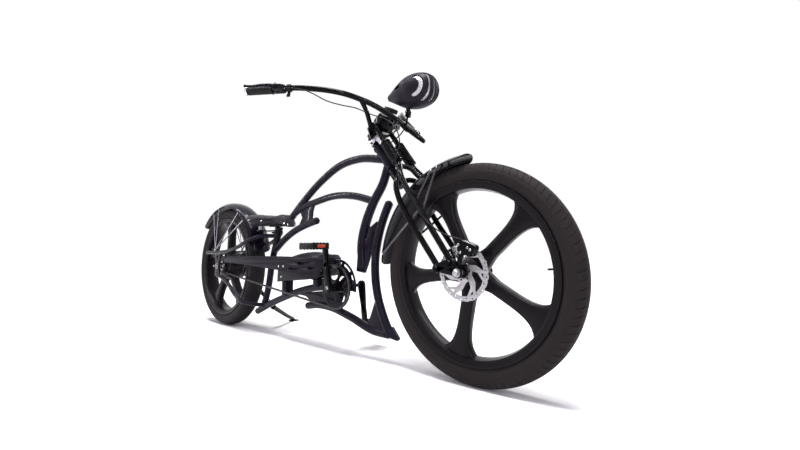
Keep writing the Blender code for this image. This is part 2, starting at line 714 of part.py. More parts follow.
UPPER_STAY_ROUTE = [(-1.008, 0.423, 1), (-0.882, 0.423, 1), (-0.728, 0.431, 1), (-0.600, 0.456, 1),
                    (-0.500, 0.488, 0.95), (-0.430, 0.507, 0.62), (-0.350, 0.508, 0.10)]
LOWER_STAY_ROUTE = [(-0.855, 0.291, 1), (-0.790, 0.280, 1), (-0.703, 0.243, 1), (-0.614, 0.187, 1),
                    (-0.548, 0.160, 0.94), (-0.490, 0.151, 0.62), (-0.425, 0.146, 0.12)]


def at_xz(x, z):
    """Return a stretched side-view pair."""
    return (x * STRETCH, z)


def frame_tube(name, route, radius, look, **options):
    """Make one frame tube in the middle plane."""
    return tube(name, [at(x, z) for x, z in route], radius, look, **options)


def frame_set():
    """Build the head tube, the arched main tubes, the gussets and the stays."""
    paint = (GREY_BLACK, 0.35, 0.35)
    reach = (HEAD_TOP - HEAD_BOTTOM).length
    bore, wall, lip = running_bore(STEERER_RADIUS, 16), HEAD_TUBE_RADIUS, HEAD_TUBE_RADIUS + 0.003
    profile = [(bore, reach), (lip, reach), (lip, reach - 0.012), (wall, reach - 0.015),
               (wall, 0.015), (lip, 0.012), (lip, 0), (bore, 0)]
    turned("head_tube", profile, HEAD_BOTTOM, HEAD_UP, paint, 16, ring=True)
    solid_head = rod("head_envelope", HEAD_BOTTOM - HEAD_UP * 0.001, HEAD_TOP + HEAD_UP * 0.001,
                     lip + GAP, steps=16)

    top = frame_tube("top_tube", TOP_ROUTE, FRAME_TUBE_RADIUS, paint, step=0.06,
                     round_ends=(True, False))
    boolean(top, solid_head, "DIFFERENCE")
    rear_down = frame_tube("rear_down_tube", REAR_DOWN_ROUTE, FRAME_TUBE_RADIUS, paint,
                           taper=lambda share: 1.03 + 0.22 * share)
    boolean(rear_down, solid_head, "DIFFERENCE")
    middle = frame_tube("middle_tube", MIDDLE_ROUTE, FRAME_TUBE_RADIUS * 0.95, paint)
    clear(middle, top, rear_down)
    front_down = frame_tube("front_down_tube", FRONT_DOWN_ROUTE, FRAME_TUBE_RADIUS, paint,
                            round_ends=(True, False))
    keel = frame_tube("keel_tube", KEEL_ROUTE, FRAME_TUBE_RADIUS * 0.97, paint)
    corner = plate("corner_gusset", [at_xz(0.332, 0.118), at_xz(0.400, 0.112), at_xz(0.462, 0.118),
                                     at_xz(0.440, 0.165), at_xz(0.400, 0.262), at_xz(0.385, 0.225),
                                     at_xz(0.360, 0.165)], -0.005, 0.005)
    weld(front_down, corner)
    tip = plate("keel_tip", [at_xz(0.448, 0.100), at_xz(0.505, 0.092), at_xz(0.512, 0.100),
                             at_xz(0.478, 0.140)], -0.008, 0.008)
    weld(front_down, tip)
    clear(keel, front_down)

    rail = frame_tube("rail_tube", RAIL_ROUTE, FRAME_TUBE_RADIUS, None,
                      round_ends=(True, False))
    seat = frame_tube("seat_tube", SEAT_ROUTE, FRAME_TUBE_RADIUS, paint)
    weld(seat, rail)
    upper = plate("upper_gusset", [at_xz(-0.140, 0.628), at_xz(-0.02, 0.652), at_xz(-0.035, 0.615),
                                   at_xz(-0.038, 0.585), at_xz(-0.030, 0.560), at_xz(-0.190, 0.535),
                                   at_xz(-0.140, 0.560), at_xz(-0.118, 0.590)],
                  -GUSSET_HALF_THICKNESS, GUSSET_HALF_THICKNESS)
    weld(middle, upper)
    clear(middle, seat)

    front_plate = plate("front_gusset", [at_xz(0.335, 0.533), at_xz(0.360, 0.524),
                                         at_xz(0.397, 0.545), at_xz(0.391, 0.490),
                                         at_xz(0.386, 0.440), at_xz(0.352, 0.449),
                                         at_xz(0.312, 0.430)],
                        -GUSSET_HALF_THICKNESS, GUSSET_HALF_THICKNESS)
    weld(rear_down, front_plate)
    clear(rear_down, front_down)

    arch = frame_tube("arch_tube", ARCH_ROUTE, FRAME_TUBE_RADIUS, paint,
                      round_ends=(False, True))
    lower = plate("lower_gusset", [at_xz(-0.165, 0.222), at_xz(0.170, 0.262), at_xz(0.200, 0.255),
                                   at_xz(0.165, 0.170), at_xz(-0.060, 0.178), at_xz(-0.036, 0.198),
                                   at_xz(-0.075, 0.215)], -0.005, 0.005)
    weld(arch, lower)
    shell = rod("bottom_bracket_shell", BOTTOM_BRACKET - SIDE * SHELL_HALF_WIDTH,
                BOTTOM_BRACKET + SIDE * SHELL_HALF_WIDTH, SHELL_RADIUS, steps=16)
    weld(arch, shell)
    drill(arch, BOTTOM_BRACKET - SIDE * 0.05, BOTTOM_BRACKET + SIDE * 0.05,
          SPINDLE_RADIUS + RUNNING_GAP, 12)
    clear(arch, keel, seat)

    for side, sign in SIDES:
        upper_stay = tube("upper_stay_" + side, [at(x, z, STAY_HALF_SPREAD * share * sign)
                                                 for x, z, share in UPPER_STAY_ROUTE],
                          STAY_RADIUS, paint, round_ends=(True, False))
        clear(upper_stay, seat)
        lower_stay = tube("lower_stay_" + side, [at(x, z, STAY_HALF_SPREAD * share * sign)
                                                 for x, z, share in LOWER_STAY_ROUTE],
                          STAY_RADIUS, paint, round_ends=(True, False))
        clear(lower_stay, arch, seat)
        if sign > 0:
            clear(upper_stay, bpy.data.objects["upper_stay_right"])
            clear(lower_stay, bpy.data.objects["lower_stay_right"])
            weld(lower_stay, *stand_lug())
        dropout(side, sign, paint, upper_stay, lower_stay)


def stand_lug():
    """Return the boss over the side stand's pivot and the arm that ties it to the stay."""
    low = KICKSTAND_PIVOT + KICKSTAND_AXIS * (STAND_BOSS_HALF + GAP)
    boss = rod("stand_lug_boss", low, low + KICKSTAND_AXIS * 0.0135, STAND_BOSS_RADIUS, steps=12)
    arm = bar("stand_lug_arm", low + KICKSTAND_AXIS * 0.0080, at(-0.520, 0.1557, 0.0628), 0.024, 0.010,
              wide_axis=(1, 0, 0))
    return boss, arm


def dropout(side, sign, paint, upper_stay, lower_stay):
    """Build the waisted plate that carries the rear axle between the stays."""
    x, z = REAR_AXLE.x, REAR_AXLE.z
    top = 0.428
    low = 0.288
    outline = [(x - 0.062, top), (x + 0.002, top), (x - 0.006, z + 0.040), (x + 0.024, z + 0.012),
               (x + 0.024, z - 0.014), (x + 0.004, z - 0.030), (x + 0.018, low),
               (x - 0.030, low), (x - 0.034, z - 0.028), (x - 0.024, z), (x - 0.040, z + 0.040)]
    near, far = sorted((sign * (STAY_HALF_SPREAD - 0.004), sign * (STAY_HALF_SPREAD + 0.004)))
    hole = circle((x, z), AXLE_RADIUS + GAP, 12)
    piece = plate("dropout_" + side, outline, near, far, paint, [hole])
    clear(piece, upper_stay, lower_stay)


def rear_axle_set():
    """Build the rear axle with its nuts and washers."""
    reach = STAY_HALF_SPREAD + 0.027
    face = STAY_HALF_SPREAD + 0.004 + GAP
    inner = STAY_HALF_SPREAD - 0.004 - GAP
    profile = [(0, reach), (AXLE_RADIUS, reach), (AXLE_RADIUS, face + 0.010), (0.0125, face + 0.010),
               (0.0125, face), (AXLE_RADIUS, face), (AXLE_RADIUS, inner), (0.011, inner),
               (0.011, 0.0645), (AXLE_RADIUS, 0.0645)]
    right = [(radius, -height) for radius, height in reversed(profile)]
    right[0:2] = [(AXLE_RADIUS, -0.0668), (0.011, -0.0668)]
    turned("rear_axle", profile + right, REAR_AXLE, SIDE, (SILVER, 0.3, 1.0), 8)


# Rear body work
def fender(name, centre, crown, edge, half_width, start, end, look, rows, columns, round_tip):
    """Bend a grid into a fender shell and thicken it outwards."""
    bpy.ops.mesh.primitive_grid_add(x_subdivisions=rows, y_subdivisions=columns, size=2)
    grid = bpy.context.object
    grid.name = name
    for vertex in grid.data.vertices:
        along = (vertex.co.x + 1) / 2
        across = vertex.co.y
        angle = start + (end - start) * along
        narrowing = 1.0
        if round_tip and along < 0.12:
            narrowing = max(0.25, math.sqrt(1 - ((0.12 - along) / 0.12) ** 2 * 0.94))
        drop = (crown - edge) * (across * narrowing) ** 2 * (0.6 + 0.4 * (across * narrowing) ** 2)
        radius = crown - drop
        vertex.co = (centre.x + radius * math.cos(angle), half_width * across * narrowing,
                     centre.z + radius * math.sin(angle))
    mesh = grid.data
    mesh.shade_smooth()
    for collection in list(grid.users_collection):
        collection.objects.unlink(grid)
    PARTS.objects.link(grid)
    mesh.materials.append(finish(name + "_finish", *look))
    shell = grid.modifiers.new("wall", "SOLIDIFY")
    shell.thickness = FENDER_THICKNESS
    shell.offset = 0
    shell.use_even_offset = True
    return grid


def rear_fender_set():
    """Build the rear fender with its two W-shaped flat stays."""
    crown = REAR_TYRE_RADIUS + REAR_FENDER_CLEARANCE
    edge = crown - 0.026
    half = REAR_FENDER_HALF_WIDTH
    shell = fender("rear_fender", REAR_AXLE, crown, edge, half, math.radians(142), math.radians(12),
                   (GREY_BLACK, 0.35, 0.3), 18, 4, False)
    for side, sign in SIDES:
        base = at(-0.883, 0.438, (STAY_HALF_SPREAD + 0.001) * sign)
        for index, degrees in enumerate((113, 101, 59.5, 47)):
            angle = math.radians(degrees)
            tip = REAR_AXLE + Vector((math.cos(angle), 0, math.sin(angle))) * (edge + 0.002)
            tip.y = (half + 0.0005) * sign
            weld(shell, bar(f"rear_fender_stay_{side}_{index}", base, tip, 0.007, FENDER_STAY_THICKNESS))
        weld(shell, box(f"rear_fender_foot_{side}", base - Vector((0, 0, 0.002)), (0.016, 0.006, 0.012)))
        clear(shell, bpy.data.objects["upper_stay_" + side])
    lug = bar("rear_fender_lug", at(-0.492, 0.470), at(-0.350, 0.470), 0.016, 0.014)
    weld(shell, lug)
    clear(shell, bpy.data.objects["seat_tube"])


def battery_set():
    """Build the battery case and its legs, hollowed to sit on the arch tube."""
    case = [at_xz(-0.265, 0.276), at_xz(0.040, 0.303), at_xz(0.104, 0.318), at_xz(0.126, 0.345),
            at_xz(0.126, 0.395), at_xz(0.108, 0.411), at_xz(-0.010, 0.415), at_xz(-0.215, 0.395),
            at_xz(-0.260, 0.384)]
    body = plate("battery_case", case, -BATTERY_HALF_WIDTH, BATTERY_HALF_WIDTH, (GREY_BLACK, 0.4, 0.1))
    top = 0.301
    for centre, foot in ((-0.236, 0.207), (0.020, 0.262)):
        weld(body, box(f"battery_leg_{centre}", at(centre, (foot + top) / 2), (0.044, 0.040, top - foot)))
    groove = frame_tube("battery_leg_groove", ARCH_ROUTE, FRAME_TUBE_RADIUS + 2 * GAP, None)
    boolean(body, groove, "DIFFERENCE")


def chain_guard_set():
    """Build the long guard plate with flame cut-outs, a rear tab and two spacers."""
    low, high = GUARD_LINE - 0.00125, GUARD_LINE + 0.00125
    outline = [at_xz(-0.775, 0.397), at_xz(-0.772, 0.374), at_xz(-0.756, 0.366), at_xz(-0.58, 0.360),
               at_xz(-0.21, 0.338), at_xz(-0.06, 0.322), at_xz(0.080, 0.303), at_xz(0.118, 0.312),
               at_xz(0.135, 0.345), at_xz(0.168, 0.372), at_xz(0.172, 0.394), at_xz(-0.10, 0.401)]
    flames = [flame(-0.115, 0.345, 0.105, 0.016), flame(-0.045, 0.372, 0.110, 0.015),
              flame(0.005, 0.327, 0.085, 0.014), flame(0.040, 0.352, 0.070, 0.013)]
    guard = plate("chain_guard", outline, low, high, (GREY_BLACK, 0.4, 0.3), flames)
    tab = box("chain_guard_tab", at(-0.766, 0.408, GUARD_LINE), (0.012, 0.0025, 0.034))
    weld(guard, tab)
    for centre in (-0.190, -0.150):
        spacer = rod(f"guard_spacer_{centre}", at(centre, 0.357, GUARD_LINE),
                     at(centre, 0.357, -BATTERY_HALF_WIDTH - GAP), 0.005, steps=8)
        weld(guard, spacer)
    clear(guard, bpy.data.objects["upper_stay_right"])


def flame(x, z, length, height):
    """Return a flame-shaped opening: a round root with one long tongue curling up."""
    shape = [(0.0, 0.1), (0.12, -0.42), (0.38, -0.40), (0.70, 0.02), (1.0, 0.62),
             (0.66, 0.36), (0.42, 0.30), (0.22, 0.60)]
    return [at_xz(x + px * length, z + pz * height) for px, pz in shape]


# Saddle
SADDLE_STATIONS = [(-0.532, 0.600, 0.612, 0.52), (-0.520, 0.590, 0.620, 0.78),
                   (-0.490, 0.578, 0.627, 0.96), (-0.445, 0.5625, 0.625, 1.0),
                   (-0.395, 0.5625, 0.618, 0.86), (-0.345, 0.5625, 0.612, 0.62),
                   (-0.305, 0.5625, 0.613, 0.46), (-0.276, 0.5625, 0.617, 0.40),
                   (-0.254, 0.556, 0.612, 0.37), (-0.238, 0.551, 0.598, 0.35),
                   (-0.222, 0.549, 0.574, 0.30), (-0.212, 0.552, 0.564, 0.22)]


def saddle_set():
    """Build the wide saddle, its post with a spring bridge and two coil springs."""
    sections = []
    for x, low, high, share in SADDLE_STATIONS:
        half = SADDLE_HALF_WIDTH * share
        ring = []
        for index in range(14):
            angle = 2 * math.pi * index / 14
            y = half * math.copysign(abs(math.cos(angle)) ** 0.65, math.cos(angle))
            lift = math.sin(angle)
            shoulder = low + (high - low) * 0.42
            z = shoulder + (high - shoulder) * lift if lift > 0 else shoulder
            if lift < -0.1:
                z = low
                y *= 0.86
            ring.append(at(x, z, y))
        sections.append(ring)
    saddle = loft("saddle", sections, ((0.02, 0.019, 0.022), 0.5, 0.0))
    clear(saddle, bpy.data.objects["middle_tube"], gap=0.0006)

    top = at(-0.330, 0.528)
    axis = (at(-0.330, 0.528) - at(-0.350, 0.470)).normalized()
    post = rod("seat_post", top + axis * GAP, top + axis * 0.022, 0.019, (BLACK, 0.35, 0.6), 16)
    column = box("seat_post_column", at(-0.324, 0.551), (0.024, 0.024, 0.022))
    head = box("seat_post_head", at(-0.335, 0.5592), (0.110, 0.042, 0.0060))
    bridge = box("seat_post_bridge", at(-0.378, SADDLE_SPRING_FOOT - 0.003), (0.110, 0.020, 0.006))
    crossbar = box("seat_post_crossbar", at(-0.425, SADDLE_SPRING_FOOT - 0.003), (0.030, 0.130, 0.006))
    weld(post, column, head, bridge, crossbar)
    for side, sign in SIDES:
        weld(post, coil("saddle_spring_" + side, at(-0.425, SADDLE_SPRING_FOOT - 0.003, 0.048 * sign),
                        at(-0.425, SADDLE_BASE - GAP, 0.048 * sign), 0.0115, 0.0022, 3, None))


# Steering
FORK_ROUTE = [(0.522, 0.686, 0.0), (0.542, 0.699, 0.34), (0.560, 0.692, 0.74), (0.570, 0.664, 0.97),
              (0.585, 0.616, 1.0), (0.622, 0.552, 1.0), (0.690, 0.460, 1.0)]
SPRING_LEG_ROUTE = [(0.736, 0.4895, 1.0), (0.668, 0.586, 1.0), (0.608, 0.672, 1.0),
                    (0.583, 0.711, 0.86), (0.558, 0.744, 0.56)]
STEM_BLOCK = [(0.392, 0.905), (0.402, 0.962), (0.436, 0.985), (0.466, 0.962), (0.472, 0.925),
              (0.452, 0.902)]
CLAMP_OUTLINE = [(0.355, 0.873), (0.381, 0.852), (0.412, 0.898), (0.3825, 0.913)]
CLAMP_HALF_WIDTH = 0.0165


def eye(name, centre, sign):
    """Make the round eye at a leg's lower end."""
    inner = side_of(centre + SIDE * (FORK_HALF_SPREAD - EYE_HALF), sign)
    outer = side_of(centre + SIDE * (FORK_HALF_SPREAD + EYE_HALF), sign)
    return rod(name, inner, outer, EYE_RADIUS, steps=12)


def drill_eye(body, centre, sign):
    """Bore a leg's eye for its pivot pin."""
    inner = side_of(centre + SIDE * (FORK_HALF_SPREAD - 0.02), sign)
    outer = side_of(centre + SIDE * (FORK_HALF_SPREAD + 0.02), sign)
    drill(body, inner, outer, PIN_RADIUS + RUNNING_GAP, 12, True)


def rigid_fork_set():
    """Build the steerer with the rigid rear legs that curl out of its crown."""
    steel = (BLACK, 0.25, 0.7)
    foot = HEAD_BOTTOM - HEAD_UP * (0.002 + GAP)
    top = STEM + HEAD_UP * 0.028
    bottom = HEAD_BOTTOM - HEAD_UP * 0.090
    fork = rod("rigid_fork", bottom, top, STEERER_RADIUS, steel, 16)
    crown = rod("crown_sleeve", HEAD_BOTTOM - HEAD_UP * 0.082, foot, CROWN_RADIUS, steps=16)
    weld(fork, crown)
    for side, sign in SIDES:
        route = [at(x, z, FORK_HALF_SPREAD * share * sign) for x, z, share in FORK_ROUTE]
        pivot = REAR_PIVOT + SIDE * FORK_HALF_SPREAD * sign
        route.append(pivot + (route[-1] - pivot).normalized() * LEG_SHORTFALL)
        weld(fork, tube("rigid_leg_" + side, route, FORK_LEG_RADIUS, step=0.05),
             eye("rigid_eye_" + side, REAR_PIVOT, sign))
        drill_eye(fork, REAR_PIVOT, sign)


def spring_leg_set():
    """Build the sprung front legs, their bridge, spring seats, rods and fender arm."""
    steel = (BLACK, 0.25, 0.7)
    seat = [steer(SPRING_FORWARD, SPRING_SIDE * sign, SPRING_BOTTOM - GAP) for sign in (RIGHT, LEFT)]
    span = at(0.558, 0.744)
    body = rod("spring_legs", span - SIDE * 0.045, span + SIDE * 0.045, 0.010, steel, 12)
    for (side, sign), top in zip(SIDES, seat):
        route = [at(x, z, FORK_HALF_SPREAD * share * sign) for x, z, share in SPRING_LEG_ROUTE]
        pivot = MID_PIVOT + SIDE * FORK_HALF_SPREAD * sign
        route.insert(0, pivot + (route[0] - pivot).normalized() * LEG_SHORTFALL)
        route.append(top - HEAD_UP * 0.004)
        leg = tube("spring_leg_" + side, route, FORK_LEG_RADIUS, step=0.07)
        cup = rod("spring_seat_" + side, top - HEAD_UP * 0.008, top, SPRING_SEAT_RADIUS, steps=12)
        guide = rod("spring_rod_" + side, top - HEAD_UP * 0.004, top + HEAD_UP * 0.045, 0.006, steps=6)
        weld(body, leg, eye("spring_eye_" + side, MID_PIVOT, sign), cup, guide)
        drill_eye(body, MID_PIVOT, sign)
    crown = FRONT_TYRE_RADIUS + FRONT_FENDER_CLEARANCE + FENDER_THICKNESS / 2
    angle = math.radians(122.5)
    touch = FRONT_AXLE + Vector((math.cos(angle), 0, math.sin(angle))) * (crown + 0.001)
    arm = tube("fender_arm", [span, at(0.578, 0.733), at(0.600, 0.713), touch], 0.009, step=0.02)
    weld(body, arm)
    return body


def front_fender_set(legs):
    """Build the front fender with the flat stays that tie it to the sprung legs."""
    crown = FRONT_TYRE_RADIUS + FRONT_FENDER_CLEARANCE
    edge = crown - 0.018
    half = FRONT_FENDER_HALF_WIDTH
    shell = fender("front_fender", FRONT_AXLE, crown, edge, half, math.radians(90),
                   math.radians(177.5), (BLACK, 0.3, 0.4), 14, 4, True)
    for side, sign in SIDES:
        for index, (degrees, x, z) in enumerate(((111, 0.662, 0.594), (107, 0.690, 0.555),
                                                 (171, 0.680, 0.569))):
            angle = math.radians(degrees)
            tip = FRONT_AXLE + Vector((math.cos(angle), 0, math.sin(angle))) * (edge + 0.002)
            tip.y = (half + 0.0003) * sign
            depth = 0.0735 if index < 2 else 0.0700
            weld(shell, bar(f"front_fender_stay_{side}_{index}", tip, at(x, z, depth * sign),
                            0.006, FENDER_STAY_THICKNESS))
    clear(shell, legs)


def top_yoke_set():
    """Build the yoke with its spring columns, and the bright clamp on the steerer."""
    black = (BLACK, 0.3, 0.6)
    place = Matrix.Translation(STEM) @ Matrix((HEAD_FORWARD, HEAD_UP * -1, SIDE)).transposed().to_4x4()
    discs = [(0.014, 0.0, 0.021), (0.046, 0.045, 0.016), (0.046, -0.045, 0.016),
             (SPRING_FORWARD, SPRING_SIDE, 0.014), (SPRING_FORWARD, -SPRING_SIDE, 0.014)]
    yoke = hull("top_yoke", discs, -0.009, 0.009, black, place)
    block = plate("stem_block", [at_xz(x, z) for x, z in STEM_BLOCK], -0.026, 0.026)
    weld(yoke, block)
    seat = SPRING_TOP + GAP
    for side, sign in SIDES:
        centre = steer(SPRING_FORWARD, SPRING_SIDE * sign, 0)
        column = rod("spring_column_" + side, centre, centre + HEAD_UP * (seat + 0.004), 0.011, steps=12)
        cap = rod("spring_cap_" + side, centre + HEAD_UP * (seat + 0.010), centre + HEAD_UP * seat,
                  SPRING_SEAT_RADIUS, steps=16)
        weld(yoke, column, cap)
    clamp = plate("steerer_clamp", [at_xz(x, z) for x, z in CLAMP_OUTLINE], -CLAMP_HALF_WIDTH,
                  CLAMP_HALF_WIDTH, (SILVER, 0.15, 1.0))
    drill(clamp, STEM - HEAD_UP * 0.06, STEM + HEAD_UP * 0.06, STEERER_RADIUS + GAP, 16)
    clear(yoke, clamp)
    drill(yoke, STEM - HEAD_UP * 0.06, STEM + HEAD_UP * 0.06, STEERER_RADIUS + GAP, 16)
    for side, sign in SIDES:
        coil("fork_spring_" + side, steer(SPRING_FORWARD, SPRING_SIDE * sign, SPRING_BOTTOM + GAP),
             steer(SPRING_FORWARD, SPRING_SIDE * sign, SPRING_TOP - GAP), SPRING_RADIUS,
             SPRING_WIRE_RADIUS, SPRING_TURNS, (BLACK, 0.3, 0.8))
    return yoke


def rocker_set():
    """Build the rockers with their pins, the front axle and the front caliper."""
    steel = (BLACK, 0.3, 0.7)
    for side, sign in SIDES:
        low, high = sorted((ROCKER_INNER * sign, (ROCKER_INNER + ROCKER_THICKNESS) * sign))
        discs = [(REAR_PIVOT.x, REAR_PIVOT.z, 0.014), (MID_PIVOT.x, MID_PIVOT.z, 0.013),
                 (FRONT_AXLE.x, FRONT_AXLE.z, 0.017)]
        piece = hull("rocker_" + side, discs, low, high, steel, count=10)
        for index, pivot in enumerate((REAR_PIVOT, MID_PIVOT)):
            start = side_of(pivot + SIDE * (FORK_HALF_SPREAD - EYE_HALF), sign)
            end = side_of(pivot + SIDE * (ROCKER_INNER + ROCKER_THICKNESS + 0.004), sign)
            weld(piece, rod(f"pin_{side}_{index}", start, end, PIN_RADIUS, steps=8))
            head = side_of(pivot + SIDE * (ROCKER_INNER + ROCKER_THICKNESS - 0.001), sign)
            weld(piece, rod(f"pin_head_{side}_{index}", head, end, 0.009, steps=6))
        drill(piece, side_of(FRONT_AXLE + SIDE * (ROCKER_INNER - 0.01), sign),
              side_of(FRONT_AXLE + SIDE * (ROCKER_INNER + 0.02), sign), AXLE_RADIUS + GAP, 8)
    outer = ROCKER_INNER + ROCKER_THICKNESS + GAP
    profile = [(0, outer + 0.014), (AXLE_RADIUS, outer + 0.014), (AXLE_RADIUS, outer + 0.008),
               (0.012, outer + 0.008), (0.012, outer), (AXLE_RADIUS, outer),
               (AXLE_RADIUS, ROCKER_INNER - GAP), (0.0105, ROCKER_INNER - GAP), (0.0105, 0.0508),
               (AXLE_RADIUS, 0.0508)]
    right = [(radius, -height) for radius, height in reversed(profile)]
    right[0:2] = [(AXLE_RADIUS, -0.0637), (0.0105, -0.0637)]
    turned("front_axle", profile + right, FRONT_AXLE, SIDE, (SILVER, 0.3, 1.0), 8)

    x, z = FRONT_AXLE.x, FRONT_AXLE.z
    body = hull("front_caliper", [(x + 0.006, z + 0.090, 0.012), (x + 0.042, z + 0.076, 0.012),
                                  (x + 0.002, z + 0.072, 0.010), (x + 0.034, z + 0.060, 0.010)],
                -0.0840, -0.0500, (BLACK, 0.35, 0.5))
    slot = rod("caliper_slot", FRONT_AXLE + SIDE * (FRONT_ROTOR_Y - PAD_CLEARANCE),
               FRONT_AXLE + SIDE * (FRONT_ROTOR_Y + ROTOR_THICKNESS + PAD_CLEARANCE),
               ROTOR_RADIUS + 0.0015, steps=48)
    boolean(body, slot, "DIFFERENCE")
    bracket = hull("caliper_bracket", [(x + 0.012, z + 0.020, 0.006), (x + 0.020, z + 0.070, 0.010),
                                       (x + 0.030, z + 0.060, 0.008)],
                   -0.0900, -0.0800)
    weld(body, bracket)


# Cockpit
BAR_ROUTE = [(0.051, 1.069, 1.000), (0.097, 1.067, 0.938), (0.151, 1.064, 0.862),
             (0.201, 1.064, 0.795), (0.245, 1.063, 0.720), (0.286, 1.057, 0.650),
             (0.326, 1.050, 0.580), (0.365, 1.040, 0.512), (0.395, 1.031, 0.425),
             (0.420, 1.019, 0.325), (0.452, 1.000, 0.237), (0.483, 0.975, 0.150),
             (0.523, 0.939, 0.085), (0.560, 0.904, 0.052), (0.600, 0.866, 0.028)]
BAR_NOSE = {RIGHT: (0.648, 0.824, -0.004), LEFT: (0.640, 0.831, 0.007)}
RISER_ROUTE = [(0.412, 0.945, 0.15), (0.424, 0.980, 0.225), (0.428, 1.014, 0.305)]
HOSE_ROUTE = [(0.208, 1.0576, 0.839), (0.2405, 1.054, 0.7985), (0.285, 1.043, 0.730),
              (0.316, 1.026, 0.675), (0.339, 1.005, 0.550), (0.363, 0.997, 0.400),
              (0.393, 0.990, 0.2875)]


def bar_points(route, sign):
    """Return one side's world points of a route whose widths are shares of the bar's."""
    return [at(x, z, BAR_HALF_WIDTH * share * sign) for x, z, share in route]


def handlebar_set(yoke):
    """Build the swept bar with its two risers, and what is clamped on it."""
    gloss = (BLACK, 0.15, 0.6)
    arms = []
    for side, sign in SIDES:
        route = bar_points(BAR_ROUTE, sign) + [at(*BAR_NOSE[sign])]
        arms.append(tube("bar_arm_" + side, route, BAR_RADIUS, gloss if sign < 0 else None,
                         step=0.055, round_ends=(False, sign < 0)))
    handlebar = arms[0]
    handlebar.name = "handlebar"
    weld(handlebar, arms[1])
    for side, sign in SIDES:
        foot = steer(0.046, 0.045 * sign, 0.002)
        weld(handlebar, tube("riser_" + side, [foot] + bar_points(RISER_ROUTE, sign), RISER_RADIUS,
                             step=0.03))
    clear(handlebar, yoke)
    place_grips(handlebar)
    controls(handlebar)
    bracket_and_display(handlebar)
    return handlebar


def bar_frame(sign):
    """Return the grip's outer end and its unit direction towards the bar's end."""
    route = bar_points(BAR_ROUTE, sign)
    return route[0], (route[0] - route[2]).normalized()


def place_grips(handlebar):
    """Build the two ribbed grips with their end caps."""
    for side, sign in SIDES:
        end, outward = bar_frame(sign)
        cap = 0.007
        profile = [(0, cap), (GRIP_RADIUS, cap - 0.002), (GRIP_RADIUS, -0.010),
                   (GRIP_RADIUS - 0.0015, -0.012), (GRIP_RADIUS - 0.0005, -GRIP_LENGTH + 0.010),
                   (GRIP_RADIUS + 0.002, -GRIP_LENGTH), (0, -GRIP_LENGTH)]
        grip = turned("grip_" + side, profile, end, outward, ((0.015, 0.015, 0.015), 0.6, 0.0), 10)
        clear(grip, handlebar)


def lever_geometry(sign):
    """Return the grip's end, the bar's direction, the way to the lever and its pivot."""
    end, outward = bar_frame(sign)
    normal = outward.cross(Vector((0, 0, 1))).normalized()
    if normal.y * sign < 0:
        normal = -normal
    pivot = end - outward * 0.148 + normal * 0.034 + Vector((0, 0, 0.001))
    return end, outward, normal, pivot


def controls(handlebar):
    """Build the clamp pods, the brake levers and the thumb throttle."""
    up = Vector((0, 0, 1))
    for side, sign in SIDES:
        end, outward, normal, pivot = lever_geometry(sign)
        start = end - outward * (GRIP_LENGTH + 0.006)
        pod = rod("controls_" + side, start, start - outward * 0.044, POD_RADIUS, (BLACK, 0.35, 0.4), 12)
        housing = bar("controls_housing_" + side, start - outward * 0.016 + normal * 0.006,
                      start - outward * 0.040 + normal * 0.006, 0.040, 0.030)
        shelf = pivot - up * 0.0076
        neck = bar("controls_neck_" + side, shelf, shelf - normal * 0.026, 0.0064, 0.014)
        cheek = rod("controls_cheek_" + side, pivot - up * 0.0110, pivot - up * 0.0042, 0.0085, steps=10)
        pin = rod("controls_pin_" + side, pivot - up * 0.006, pivot + up * 0.005, LEVER_PIN_RADIUS,
                  steps=6)
        weld(pod, housing, neck, cheek, pin)
        clear(pod, handlebar)
        lever(side, outward, normal, pivot)
    throttle()


def lever(side, outward, normal, pivot):
    """Build one brake lever: a curved blade with a ball end."""
    up = Vector((0, 0, 1))
    route = [pivot, pivot + outward * 0.020 + normal * 0.010, pivot + outward * 0.060 + normal * 0.013,
             pivot + outward * 0.100 + normal * 0.010, pivot + outward * 0.122 + normal * 0.016]
    blade = tube("brake_lever_" + side, route, LEVER_RADIUS, (BLACK, 0.25, 0.7), step=0.04,
                 resolution=1, round_ends=(False, True))
    knuckle = rod("lever_knuckle_" + side, pivot - up * 0.0037, pivot + up * 0.0037, 0.0085, steps=12)
    ball = turned("lever_ball_" + side, [(0, 0.0065), (0.0046, 0.0046), (0.0065, 0), (0.0046, -0.0046),
                                         (0, -0.0065)], route[-1], up, steps=8)
    weld(blade, knuckle, ball)
    drill(blade, pivot - up * 0.01, pivot + up * 0.01, running_bore(LEVER_PIN_RADIUS, 6), 6)


def throttle():
    """Build the thumb throttle: a ring on the bar with a paddle below."""
    outer, inner = bar_points(BAR_ROUTE[3:5], RIGHT)
    outward = (outer - inner).normalized()
    middle = outer.lerp(inner, 0.35)
    half, bore = 0.008, BAR_RADIUS + 0.0012
    profile = [(bore, half), (POD_RADIUS, half), (POD_RADIUS, -half), (bore, -half)]
    ring = turned("throttle_lever", profile, middle, outward, (BLACK, 0.4, 0.2), 16, ring=True)
    paddle = bar("throttle_paddle", middle + Vector((0, 0, -0.014)),
                 middle + Vector((0, 0, -0.036)) + outward * 0.010, 0.012, 0.005, wide_axis=outward)
    weld(ring, paddle)


